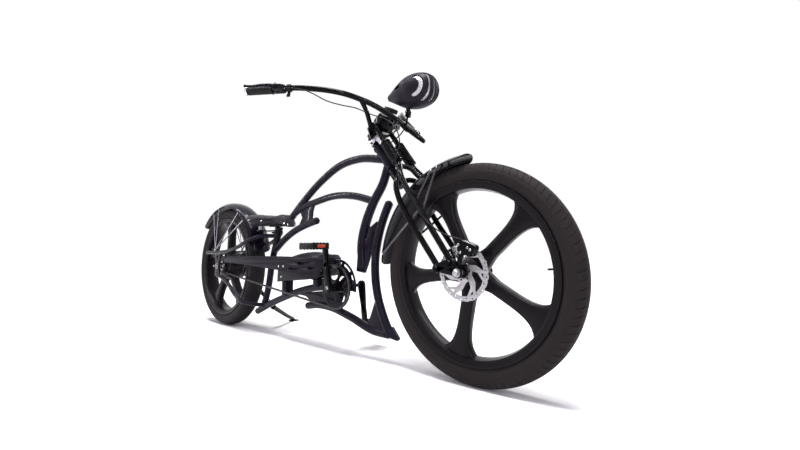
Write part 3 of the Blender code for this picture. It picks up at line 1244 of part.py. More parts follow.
def bracket_and_display(handlebar):
    """Build the lamp bracket on the bar and the display between its arms."""
    base = at(0.566, 0.902)
    neck_top = LAMP_PIVOT + Vector((0, -0.0110, -0.002))
    over_bar = Vector((0.694, 0, 0.720)) * 0.009
    bracket = bar("light_bracket", at(0.538, 0.926) + over_bar, at(0.592, 0.874) + over_bar, 0.016, 0.080,
                  (BLACK, 0.35, 0.5))
    neck = rod("light_bracket_neck", base + Vector((0, -0.011, 0.008)), neck_top, 0.0038, steps=8)
    cheek = rod("light_bracket_cheek", LAMP_PIVOT - SIDE * 0.0130, LAMP_PIVOT - SIDE * 0.0070, 0.010,
                steps=12)
    bolt = rod("light_bracket_bolt", LAMP_PIVOT - SIDE * 0.010, LAMP_PIVOT + SIDE * 0.009,
               LAMP_BOLT_RADIUS, steps=6)
    weld(bracket, neck, cheek, bolt)
    clear(bracket, handlebar)
    display = bar("display", at(0.453, 1.001), at(0.497, 0.979), 0.018, 0.036, (BLACK, 0.15, 0.0))
    strap = bar("display_strap", at(0.474, 0.986), at(0.486, 0.980), 0.012, 0.130)
    weld(display, strap)
    clear(display, handlebar)


def lamp_dome(radius, shoulder, length, count):
    """Return the blunt nose of the lamp from its tip back to the shoulder."""
    pairs = [(0, length)]
    for index in range(count - 1, 0, -1):
        angle = math.pi / 2 * index / count
        pairs.append((radius * math.cos(angle) ** LAMP_BLUNTNESS,
                      shoulder + (length - shoulder) * math.sin(angle)))
    return pairs + [(radius, shoulder)]


def headlight_set():
    """Build the bullet lamp with its slatted front, and the lens inside it."""
    rear = at(0.452, 1.042)
    axis = Vector((0.998, 0, -0.061)).normalized()
    shoulder = LAMP_LENGTH * LAMP_SHOULDER
    tail = []
    for share in (0.8, 0.6, 0.4, 0.2, 0.0):
        swell = 0.12 + 0.88 * math.sin(math.pi / 2 * share ** 1.25)
        tail.append((LAMP_RADIUS * swell, shoulder * (0.012 + 0.988 * share)))
    profile = lamp_dome(LAMP_RADIUS, shoulder, LAMP_LENGTH, 4) + tail + [(0, 0)]
    shell = turned("headlight_shell", profile, rear, axis, (SOFT_BLACK, 0.5, 0.1), 16)
    inside = LAMP_RADIUS - LAMP_WALL
    back = LAMP_LENGTH * 0.50
    cavity_profile = lamp_dome(inside, shoulder, LAMP_LENGTH - LAMP_WALL, 4)
    cavity_profile += [(inside - 0.004, back), (0, back)]
    boolean(shell, turned("headlight_cavity", cavity_profile, rear, axis, steps=16), "DIFFERENCE")
    turn = Matrix((axis, SIDE, axis.cross(SIDE))).transposed()
    front = rear + axis * LAMP_LENGTH * 0.86
    slats, pitch, opening = 4, 0.0262, 0.0125
    for index in range(slats + 1):
        offset = (index - slats / 2) * pitch
        chord = 2 * math.sqrt(max(0.0001, (LAMP_RADIUS * 0.86) ** 2 - (offset * 0.95) ** 2))
        size = (LAMP_LENGTH * 0.30, opening, min(chord, LAMP_RADIUS * 1.62))
        cutter = box(f"headlight_slot_{index}", front + SIDE * offset, size, None, turn)
        boolean(shell, cutter, "DIFFERENCE")
    lug = hull("headlight_lug", [(LAMP_PIVOT.x, LAMP_PIVOT.z, 0.0085),
                                 (LAMP_PIVOT.x, LAMP_PIVOT.z + 0.022, 0.0085)], -0.0066, 0.0066)
    weld(shell, lug)
    drill(shell, LAMP_PIVOT - SIDE * 0.02, LAMP_PIVOT + SIDE * 0.02, LAMP_BOLT_RADIUS + GAP, 8)
    lens_profile = lamp_dome(inside - 2 * GAP, shoulder, LAMP_LENGTH - LAMP_WALL - 0.002, 4)
    lens_profile += [(inside - 2 * GAP, shoulder - 0.002), (0, shoulder - 0.002)]
    turned("headlight_lens", lens_profile, rear, axis, ((0.8, 0.8, 0.82), 0.1, 0.6), 16)


# Cables
def cable_set():
    """Run the front brake hose, the rear brake hose and the wiring along their real routes."""
    look = ((0.01, 0.01, 0.01), 0.45, 0.0)
    options = {"look": look, "step": 20 * HOSE_RADIUS}
    tube("front_brake_hose", bar_points(HOSE_ROUTE, RIGHT) + [
        at(0.400, 0.985, -0.085), at(0.425, 0.970, -0.062), at(0.500, 0.935, -0.060),
        at(0.565, 0.880, -0.070), at(0.590, 0.810, -0.080), at(0.580, 0.765, -0.092), at(0.600, 0.700, -0.098),
        at(0.660, 0.610, -0.098), at(0.740, 0.510, -0.098), at(0.800, 0.475, -0.092),
        at(0.842, 0.4615, -0.078)], HOSE_RADIUS, **options)
    lip = HEAD_TUBE_RADIUS + 0.003 + HOSE_RADIUS + GAP
    wall = HEAD_TUBE_RADIUS + HOSE_RADIUS + GAP
    tube("rear_brake_hose", bar_points(HOSE_ROUTE, LEFT) + [
        at(0.390, 0.960, 0.085), at(0.372, 0.925, 0.052), steer(-0.008, 0.036, 0.0),
        steer(0, 0.031, -0.035), steer(0, lip, -0.058), steer(0, wall, -0.085),
        steer(0, wall, -0.105)], HOSE_RADIUS, **options)
    front = HEAD_TUBE_RADIUS + 2 * GAP
    tube("wiring_loom", [at(0.5569, 0.9088), at(0.5517, 0.9034), at(0.543, 0.895), at(0.525, 0.880), at(0.507, 0.870),
                         steer(0.070, 0, -0.088), steer(0.040, 0, -0.085), steer(front, 0, -0.085)],
         HOSE_RADIUS, **options)


# Stand and rear brake
def kickstand_set():
    """Build the side stand, resting out on the ground, round its tilted pivot."""
    reach = KICKSTAND_AXIS * STAND_BOSS_HALF
    ground = KICKSTAND_FOOT + Vector((0, 0, STAND_LEG_RADIUS * 0.5))
    leg = tube("kickstand", [KICKSTAND_PIVOT, ground], STAND_LEG_RADIUS, (BLACK, 0.4, 0.5), step=0)
    boss = rod("kickstand_boss", KICKSTAND_PIVOT - reach, KICKSTAND_PIVOT + reach, STAND_BOSS_RADIUS,
               steps=12)
    foot = box("kickstand_foot", KICKSTAND_FOOT + Vector((0.002, -0.004, 0.005)), (0.030, 0.040, 0.010))
    weld(leg, boss, foot)
    base = box("kickstand_ground", Vector((ground.x, ground.y, -0.05)), (0.3, 0.3, 0.1))
    boolean(leg, base, "DIFFERENCE")


def rear_caliper_set():
    """Weld the rear caliper's bracket to the left dropout and cut the disc's slot."""
    x, z = REAR_AXLE.x, REAR_AXLE.z
    body = hull("rear_caliper", [(x + 0.066, z + 0.030, 0.012), (x + 0.056, z + 0.052, 0.012),
                                 (x + 0.078, z + 0.040, 0.010)],
                0.0515, 0.0745)
    slot = rod("rear_caliper_slot", REAR_AXLE + SIDE * (REAR_ROTOR_Y - PAD_CLEARANCE),
               REAR_AXLE + SIDE * (REAR_ROTOR_Y + ROTOR_THICKNESS + PAD_CLEARANCE),
               REAR_ROTOR_RADIUS + 0.0015, steps=48)
    boolean(body, slot, "DIFFERENCE")
    adapter = hull("rear_caliper_adapter", [(x + 0.018, z + 0.004, 0.006), (x + 0.062, z + 0.036, 0.009)],
                   0.0705, 0.0785)
    weld(bpy.data.objects["dropout_left"], body, adapter)


def main():
    """Empty the scene and build every piece."""
    global PARTS, CUTTERS
    for old in list(bpy.data.objects):
        bpy.data.objects.remove(old)
    PARTS = bpy.data.collections.new("electric_cruiser_bike")
    CUTTERS = bpy.data.collections.new("cutters")
    bpy.context.scene.collection.children.link(PARTS)
    bpy.context.scene.collection.children.link(CUTTERS)
    frame_set()
    rear_axle_set()
    rear_fender_set()
    battery_set()
    chain_guard_set()
    saddle_set()
    front_wheel_set()
    rear_wheel_set()
    drive_set()
    rigid_fork_set()
    legs = spring_leg_set()
    front_fender_set(legs)
    yoke = top_yoke_set()
    rocker_set()
    handlebar_set(yoke)
    headlight_set()
    cable_set()
    kickstand_set()
    rear_caliper_set()


main()
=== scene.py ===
"""Looks of an electric cruiser bike: finishes, round tubes, tyres, wheels, chain and fittings.

Lengths are metres in the bike's own frame: +X is forward, +Y the rider's left and +Z up.
"""

import json
import logging
import math
from collections.abc import Callable, Iterable, Sequence
from dataclasses import dataclass, field
from enum import Enum
from functools import cache

import bmesh
import bpy
from mathutils import Matrix, Vector

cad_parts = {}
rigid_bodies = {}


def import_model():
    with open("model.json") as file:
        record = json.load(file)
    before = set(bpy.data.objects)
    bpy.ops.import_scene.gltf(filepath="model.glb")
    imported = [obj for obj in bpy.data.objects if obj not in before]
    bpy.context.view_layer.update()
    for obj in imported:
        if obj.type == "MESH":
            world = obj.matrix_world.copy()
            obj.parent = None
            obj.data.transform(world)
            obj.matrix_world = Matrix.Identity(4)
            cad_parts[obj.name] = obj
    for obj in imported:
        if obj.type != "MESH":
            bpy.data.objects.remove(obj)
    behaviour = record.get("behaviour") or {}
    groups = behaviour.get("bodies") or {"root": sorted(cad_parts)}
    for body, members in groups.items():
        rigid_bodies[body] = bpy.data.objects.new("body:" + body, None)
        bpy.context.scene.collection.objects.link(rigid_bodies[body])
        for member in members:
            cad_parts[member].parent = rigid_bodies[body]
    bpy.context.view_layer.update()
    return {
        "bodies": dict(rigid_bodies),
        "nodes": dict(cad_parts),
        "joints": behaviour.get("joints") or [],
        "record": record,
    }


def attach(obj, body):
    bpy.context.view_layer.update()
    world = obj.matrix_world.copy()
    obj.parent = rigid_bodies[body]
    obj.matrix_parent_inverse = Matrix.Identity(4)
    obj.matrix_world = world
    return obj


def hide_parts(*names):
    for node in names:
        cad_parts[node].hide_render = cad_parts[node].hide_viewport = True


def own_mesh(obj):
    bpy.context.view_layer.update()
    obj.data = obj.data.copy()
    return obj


LOG = logging.getLogger("cruiser")
Triple = tuple[float, float, float]
Pair = tuple[float, float]
Sockets = Sequence[tuple[str, str, object]]
NUMBER, COLOUR = "NodeSocketFloat", "NodeSocketColor"
WHOLE, THING = "NodeSocketInt", "NodeSocketObject"
DUST_COLOUR = (0.30, 0.29, 0.28, 1)

SIDEWAYS = Vector((0, 1, 0))
UPWARDS = Vector((0, 0, 1))
STEM = Vector((0.372, 0, 0.889))
HEAD_TOP = Vector((0.402, 0, 0.849))
HEAD_BOTTOM = Vector((0.478, 0, 0.746))
HEAD_UP = (HEAD_TOP - HEAD_BOTTOM).normalized()
HEAD_FORWARD = SIDEWAYS.cross(HEAD_UP)
FRONT_AXLE = Vector((0.8372, 0, 0.357))
REAR_AXLE = Vector((-0.8498, 0, 0.3444))
BOTTOM_BRACKET = Vector((0.205, 0, 0.277))
REAR_PIVOT = FRONT_AXLE + Vector((-0.0804, 0, 0.012))
MID_PIVOT = FRONT_AXLE + Vector((-0.0304, 0, 0.031))
LAMP_PIVOT = Vector((0.566, 0, 0.962))
SPRING_FORWARD, SPRING_SIDE = 0.064, 0.041
CHAIN_LINE = -0.056
CHAIN_PITCH = 0.0127
GUARD_LINE = -0.080


class Side(Enum):
    """The bike's two sides, by the sign of Y."""

    RIGHT = -1
    LEFT = 1

    @property
    def label(self) -> str:
        """Return the side's name in small letters."""
        return self.name.lower()

    def of(self, point: Sequence[float]) -> Vector:
        """Return the point with its Y put on this side."""
        return Vector((point[0], point[1] * self.value, point[2]))

    @property
    def out(self) -> Vector:
        """Return the direction away from the middle plane."""
        return SIDEWAYS * self.value

    def span(self, near: float, far: float) -> Pair:
        """Return the low and the high Y of two distances from the middle plane."""
        return tuple(sorted((near * self.value, far * self.value)))


class Cap(Enum):
    """How a tube ends."""

    FLAT = "flat"
    DOME = "dome"


def steer(forward: float, side: float, up: float) -> Vector:
    """Return a world point from distances along and across the steering axis at the stem."""
    return STEM + HEAD_FORWARD * forward + SIDEWAYS * side + HEAD_UP * up


def spring_axis(side: Side, up: float) -> Vector:
    """Return a point on one fork spring's axis, by its height over the stem."""
    return steer(SPRING_FORWARD, SPRING_SIDE * side.value, up)


def radial(turn: float) -> Vector:
    """Return the direction at an angle in the XZ plane."""
    return Vector((math.cos(turn), 0, math.sin(turn)))


def side_view(point: Vector) -> Pair:
    """Return a point's (x, z) pair."""
    return point.x, point.z


def polar(centre: Vector, reach: float, turn: float) -> Pair:
    """Return the (x, z) pair at a radius and an angle round a centre."""
    return centre.x + reach * math.cos(turn), centre.z + reach * math.sin(turn)


def blunt(value: float, power: float) -> float:
    """Return a value raised to a power, with its sign kept."""
    return math.copysign(abs(value) ** power, value)


class Tree:
    """Writes nodes into a shader or geometry node tree."""

    given: bpy.types.NodeOutputs
    result: bpy.types.NodeInputs

    def __init__(self, data: bpy.types.NodeTree) -> None:
        """Take over a tree."""
        self.data = data

    @classmethod
    def group(cls, name: str, kind: str, inputs: Sockets, outputs: Sockets) -> "Tree":
        """Start a node group.

        Args:
            name: The group's name.
            kind: "Shader" or "Geometry".
            inputs: Name, socket type and default of each input.
            outputs: The same of each output.

        Returns:
            The writer, with the group's own sockets in given and result.
        """
        writer = cls(bpy.data.node_groups.new(name, kind + "NodeTree"))
        for way, sockets in (("INPUT", inputs), ("OUTPUT", outputs)):
            for label, socket_type, default in sockets:
                socket = writer.data.interface.new_socket(label, in_out=way,
                                                          socket_type=socket_type)
                if default is not None:
                    socket.default_value = default
        writer.given = writer.node("NodeGroupInput").outputs
        writer.result = writer.node("NodeGroupOutput").inputs
        return writer

    def feed(self, inputs: bpy.types.NodeInputs, links: dict[object, object]) -> None:
        """Set inputs to values, or link them to sockets."""
        for label, value in links.items():
            if isinstance(value, bpy.types.NodeSocket):
                self.data.links.new(value, inputs[label])
            else:
                inputs[label].default_value = value

    def node(self, kind: str, links: dict[object, object] | None = None,
             **settings: object) -> bpy.types.Node:
        """Add a node, its settings, and its inputs as sockets or values."""
        node = self.data.nodes.new(kind)
        for label, value in settings.items():
            setattr(node, label, value)
        self.feed(node.inputs, links or {})
        return node

    def math(self, operation: str, first: object, second: object = 0.0,
             clamp: bool = False) -> bpy.types.NodeSocket:
        """Add a Math node and return its output."""
        return self.node("ShaderNodeMath", {0: first, 1: second}, operation=operation,
                         use_clamp=clamp).outputs[0]

    def own_place(self) -> bpy.types.NodeSocket:
        """Return the piece's own coordinates."""
        return self.node("ShaderNodeTexCoord").outputs["Object"]

    def noise(self, scale: object, detail: float) -> bpy.types.NodeSocket:
        """Add a Noise Texture on the piece's own coordinates."""
        return self.node("ShaderNodeTexNoise", {"Vector": self.own_place(), "Scale": scale,
                                                "Detail": detail}).outputs[0]

    def mix(self, factor: object, first: object, second: object) -> bpy.types.NodeSocket:
        """Mix two colours by a factor."""
        return self.node("ShaderNodeMix", {0: factor, 6: first, 7: second},
                         data_type="RGBA").outputs[2]


# Shader groups shared by the finishes
@cache
def fine_grain() -> bpy.types.NodeTree:
    """Return the height of a fine grain: noise, blended with the walls of small cells."""
    tree = Tree.group("fine_grain", "Shader", (("Scale", NUMBER, 400.0), ("Cells", NUMBER, 0.0)),
                      (("Height", NUMBER, None),))
    scale = tree.given["Scale"]
    noise = tree.noise(scale, 4.0)
    cells = tree.node("ShaderNodeTexVoronoi", {"Vector": tree.own_place(), "Scale": scale},
                      feature="DISTANCE_TO_EDGE")
    rounded = tree.math("MULTIPLY", cells.outputs["Distance"], 4.0, True)
    mix = tree.node("ShaderNodeMix", {0: tree.given["Cells"], 2: noise, 3: rounded})
    tree.feed(tree.result, {"Height": mix.outputs[0]})
    return tree.data


@cache
def rubbed_spots() -> bpy.types.NodeTree:
    """Return cloudy colour variation with small rubbed spots of a bare colour."""
    tree = Tree.group("rubbed_spots", "Shader",
                      (("Colour", COLOUR, (0, 0, 0, 1)), ("Bare", COLOUR, (1, 1, 1, 1)),
                       ("Amount", NUMBER, 0.2), ("Scale", NUMBER, 60.0)),
                      (("Colour", COLOUR, None), ("Mask", NUMBER, None)))
    both = tree.math("MULTIPLY", tree.noise(tree.given["Scale"], 8.0), tree.noise(7.0, 2.0))
    mask = tree.math("MULTIPLY", tree.math("SUBTRACT", both, 0.30), 9.0, True)
    amount = tree.math("MULTIPLY", mask, tree.given["Amount"], True)
    colour = tree.mix(amount, tree.given["Colour"], tree.given["Bare"])
    tree.feed(tree.result, {"Colour": colour, "Mask": amount})
    return tree.data


@cache
def settled_dust() -> bpy.types.NodeTree:
    """Return a thin film of dust that settles on faces that look up."""
    tree = Tree.group("settled_dust", "Shader",
                      (("Colour", COLOUR, (0, 0, 0, 1)), ("Roughness", NUMBER, 0.4),
                       ("Amount", NUMBER, 0.1)),
                      (("Colour", COLOUR, None), ("Roughness", NUMBER, None)))
    normal = tree.node("ShaderNodeNewGeometry").outputs["Normal"]
    upward = tree.node("ShaderNodeSeparateXYZ", {0: normal}).outputs["Z"]
    cloud = tree.noise(35.0, 6.0)
    film = tree.math("MULTIPLY", tree.math("MULTIPLY", upward, 0.8, True), cloud)
    share = tree.math("MULTIPLY", film, tree.given["Amount"], True)
    spread = tree.math("ADD", tree.math("MULTIPLY", cloud, 0.16), 0.92)
    base = tree.math("MULTIPLY", tree.given["Roughness"], spread)
    tree.feed(tree.result, {
        "Colour": tree.mix(share, tree.given["Colour"], DUST_COLOUR),
        "Roughness": tree.math("ADD", base, tree.math("MULTIPLY", share, 0.6), True)})
    return tree.data


@cache
def turning_lines() -> bpy.types.NodeTree:
    """Return the height of lines round an axle, as a lathe or a mould leaves them."""
    tree = Tree.group("turning_lines", "Shader",
                      (("Centre", "NodeSocketVector", (0, 0, 0)), ("Lines", NUMBER, 3000.0)),
                      (("Height", NUMBER, None),))
    offset = tree.node("ShaderNodeVectorMath", {0: tree.own_place(), 1: tree.given["Centre"]},
                       operation="SUBTRACT")
    split = tree.node("ShaderNodeSeparateXYZ", {0: offset.outputs[0]}).outputs
    squares = [tree.math("MULTIPLY", split[label], split[label]) for label in "XZ"]
    radius = tree.math("SQRT", tree.math("ADD", *squares))
    rings = tree.math("SINE", tree.math("MULTIPLY", radius, tree.given["Lines"]))
    tree.feed(tree.result, {"Height": rings})
    return tree.data


# Finishes
@dataclass(frozen=True)
class Finish:
    """One finish: plain constants for the shader and the strength of each shared pattern.

    Colours are linear; grain depth is in metres; lines run round the point turned_about.
    """

    name: str
    colour: Triple
    roughness: float
    metallic: float = 0.0
    coat: float = 0.0
    coat_roughness: float = 0.06
    coat_ior: float = 1.24
    specular: float = 0.12
    sheen: float = 0.0
    bare: Triple = (0.25, 0.25, 0.26)
    scuffs: float = 0.04
    dust: float = 0.05
    grain_scale: float = 700.0
    grain_depth: float = 0.00002
    cells: float = 0.0
    turned_about: Triple | None = None
    lines: float = 3000.0


PAINT = Finish("midnight_paint", (0.0068, 0.0050, 0.0110), 0.28, 0.10, 0.8, 0.07, 1.14, 0.03,
               grain_scale=1400.0, grain_depth=0.000012, dust=0.03, scuffs=0.015)
GLOSS = Finish("gloss_black", (0.0020, 0.0016, 0.0026), 0.18, 0.0, 1.0, 0.05, 1.13, 0.02,
               scuffs=0.01, dust=0.015)
SATIN = Finish("satin_black_casting", (0.0054, 0.0040, 0.0056), 0.34, 0.08, 0.45, 0.16, 1.17, 0.05,
               grain_scale=900.0, grain_depth=0.00002, dust=0.03, scuffs=0.01)
HARDWARE = Finish("blackened_steel", (0.0085, 0.0075, 0.0095), 0.30, 0.75, scuffs=0.08,
                  specular=0.06)
FENDER = Finish("fender_paint", (0.0046, 0.0034, 0.0072), 0.28, 0.08, 0.9, 0.08, 1.16, 0.03,
                dust=0.03, scuffs=0.01)
FRONT_RUBBER = Finish("front_tyre_rubber", (0.0115, 0.0090, 0.0095), 0.62, specular=0.10,
                      dust=0.04, scuffs=0.02, bare=(0.03, 0.03, 0.03), grain_depth=0.00008,
                      turned_about=tuple(FRONT_AXLE), lines=2100.0)
REAR_RUBBER = Finish("rear_tyre_rubber", (0.0095, 0.0080, 0.0090), 0.62, specular=0.10,
                     dust=0.05, scuffs=0.02, bare=(0.03, 0.03, 0.03), grain_depth=0.00008,
                     turned_about=tuple(REAR_AXLE), lines=2100.0)
STEEL = Finish("brushed_steel", (0.30, 0.29, 0.305), 0.20, 1.0, scuffs=0.30,
               bare=(0.05, 0.045, 0.045), grain_depth=0.00003, turned_about=tuple(FRONT_AXLE),
               lines=9000.0, dust=0.02)
REAR_STEEL = Finish("brushed_rear_disc", (0.42, 0.42, 0.44), 0.28, 1.0, scuffs=0.10,
                    bare=(0.20, 0.19, 0.18), grain_depth=0.00003,
                    turned_about=tuple(REAR_AXLE), lines=9000.0, dust=0.02)
PLATED = Finish("zinc_plate", (0.36, 0.35, 0.37), 0.26, 1.0, scuffs=0.12, dust=0.03)
CHROME = Finish("chrome_plate", (0.60, 0.58, 0.63), 0.12, 1.0, scuffs=0.04, dust=0.02,
                grain_depth=0.000003)
CLAMP_METAL = Finish("polished_clamp", (0.42, 0.40, 0.45), 0.28, 0.9, scuffs=0.04, dust=0.02)
STAY_METAL = Finish("bare_stay_metal", (0.21, 0.20, 0.23), 0.36, 0.9, scuffs=0.06, dust=0.03)
FRONT_STAY = Finish("dark_stay_metal", (0.060, 0.057, 0.066), 0.26, 0.9, scuffs=0.04, dust=0.02)
CHAIN_STEEL = Finish("oiled_chain_steel", (0.045, 0.043, 0.045), 0.32, 0.9, scuffs=0.30,
                     bare=(0.22, 0.21, 0.20))
LEATHER = Finish("saddle_leather", (0.0080, 0.0064, 0.0100), 0.40, specular=0.12, sheen=0.02,
                 grain_scale=420.0, grain_depth=0.00014, cells=0.7, dust=0.04,
                 bare=(0.03, 0.028, 0.03), scuffs=0.06)
GRIP_RUBBER = Finish("grip_rubber", (0.006, 0.006, 0.0065), 0.55, specular=0.15,
                     grain_scale=600.0, grain_depth=0.00010, cells=0.5)
PLASTIC = Finish("moulded_black_plastic", (0.0060, 0.0054, 0.0068), 0.40, specular=0.09,
                 grain_scale=900.0, grain_depth=0.00005, cells=0.3, scuffs=0.02)
JACKET = Finish("cable_jacket", (0.005, 0.005, 0.0055), 0.36, specular=0.12)
LAMP_BLACK = Finish("lamp_powder_coat", (0.0100, 0.0078, 0.0130), 0.40, specular=0.08,
                    grain_scale=850.0, grain_depth=0.00006, cells=0.25, dust=0.04, scuffs=0.01)
MIRROR = Finish("lamp_reflector", (0.36, 0.35, 0.37), 0.34, 0.7, scuffs=0.01, dust=0.0,
                grain_scale=130.0, grain_depth=0.0006, cells=0.8)
SCREEN = Finish("screen_glass", (0.004, 0.005, 0.006), 0.08, specular=0.3, coat=1.0,
                coat_roughness=0.02, scuffs=0.0)
AMBER = Finish("amber_reflector", (0.42, 0.045, 0.012), 0.22, specular=0.3, coat=0.5,
               grain_scale=900.0, grain_depth=0.0002, cells=1.0)
CASE_PAINT = Finish("battery_case_paint", (0.0046, 0.0033, 0.0072), 0.30, 0.06, 0.4, 0.12, 1.14,
                    0.03, grain_scale=1100.0, grain_depth=0.00003, dust=0.03, scuffs=0.015)
GUARD_PAINT = Finish("chain_guard_paint", (0.0058, 0.0042, 0.0096), 0.32, 0.06, 0.3, 0.14, 1.14,
                     0.03, grain_scale=1300.0, grain_depth=0.00002, dust=0.02, scuffs=0.015)
SPRING_BLACK = Finish("spring_enamel", (0.0028, 0.0024, 0.0036), 0.22, 0.0, 0.9, 0.06, 1.15, 0.03)


@cache
def material_of(finish: Finish) -> bpy.types.Material:
    """Wire one finish: rubbed spots, then dust, over a grain or lines turned round an axle.

    Args:
        finish: The constants and pattern strengths.

    Returns:
        The material, the same one each time.
    """
    material = bpy.data.materials.new(finish.name)
    material.use_nodes = True
    tree = Tree(material.node_tree)
    spots = tree.node("ShaderNodeGroup", {"Colour": (*finish.colour, 1), "Bare": (*finish.bare, 1),
                                          "Amount": finish.scuffs}, node_tree=rubbed_spots())
    dust = tree.node("ShaderNodeGroup", {"Colour": spots.outputs["Colour"],
                                         "Roughness": finish.roughness, "Amount": finish.dust},
                     node_tree=settled_dust())
    if finish.turned_about is None:
        pattern = tree.node("ShaderNodeGroup", {"Scale": finish.grain_scale,
                                                "Cells": finish.cells}, node_tree=fine_grain())
    else:
        pattern = tree.node("ShaderNodeGroup", {"Centre": finish.turned_about,
                                                "Lines": finish.lines}, node_tree=turning_lines())
    bump = tree.node("ShaderNodeBump", {"Distance": finish.grain_depth,
                                        "Height": pattern.outputs["Height"]})
    tree.feed(tree.data.nodes["Principled BSDF"].inputs, {
        "Metallic": finish.metallic, "Coat Weight": finish.coat,
        "Coat Roughness": finish.coat_roughness, "Coat IOR": finish.coat_ior,
        "Sheen Weight": finish.sheen, "Specular IOR Level": finish.specular,
        "Base Color": dust.outputs["Colour"], "Roughness": dust.outputs["Roughness"],
        "Normal": bump.outputs["Normal"]})
    material.diffuse_color = (*finish.colour, 1)
    return material


# Mesh tools
def linked(name: str, data: bpy.types.ID) -> bpy.types.Object:
    """Return a new object that holds data and is linked to the scene."""
    thing = bpy.data.objects.new(name, data)
    bpy.context.scene.collection.objects.link(thing)
    return thing


def evaluated(thing: bpy.types.Object) -> bpy.types.Mesh:
    """Return an object's mesh with its modifiers applied."""
    bpy.context.view_layer.update()
    graph = bpy.context.evaluated_depsgraph_get()
    return bpy.data.meshes.new_from_object(thing.evaluated_get(graph))


def around(count: int) -> list[float]:
    """Return evenly spaced angles of a full turn."""
    return [2 * math.pi * k / count for k in range(count)]


def smooth_route(knots: Sequence[Sequence[float]], step: float) -> list[Vector]:
    """Return points about a step apart on the smooth curve through the knots.

    Args:
        knots: World points.
        step: Wanted distance between two points.

    Returns:
        The curve's points, first and last knot included.
    """
    points = [Vector(knot) for knot in knots]
    spans = [(after - before).length for before, after in zip(points, points[1:])]
    slopes = []
    for index, point in enumerate(points):
        if index == 0:
            slopes.append((points[1] - point) / spans[0])
        elif index == len(points) - 1:
            slopes.append((point - points[-2]) / spans[-1])
        else:
            before, after = spans[index - 1], spans[index]
            left = (point - points[index - 1]) / before
            right = (points[index + 1] - point) / after
            slopes.append((left * after + right * before) / (before + after))
    route = []
    for index, span in enumerate(spans):
        count = max(1, round(span / step))
        for tick in range(count):
            s = tick / count
            route.append(points[index] * (2 * s**3 - 3 * s**2 + 1)
                         + slopes[index] * span * (s**3 - 2 * s**2 + s)
                         + points[index + 1] * (3 * s**2 - 2 * s**3)
                         + slopes[index + 1] * span * (s**3 - s**2))
    route.append(points[-1])
    return route


def arc(centre: Pair, radius: float, count: int, start: float = 0.0,
        end: float = 2 * math.pi) -> list[Pair]:
    """Return (x, z) points on an arc; a full circle leaves out its repeated point."""
    full = abs(end - start - 2 * math.pi) < 1e-6
    ticks = count if full else count - 1
    angles = [start + (end - start) * index / ticks for index in range(count)]
    return [(centre[0] + radius * math.cos(a), centre[1] + radius * math.sin(a)) for a in angles]


def add_loop(curve: bpy.types.Curve, points: Sequence[Triple]) -> None:
    """Add a closed polyline to a curve."""
    spline = curve.splines.new("POLY")
    spline.points.add(len(points) - 1)
    spline.use_cyclic_u = True
    for point, spot in zip(spline.points, points):
        point.co = (*spot, 1)


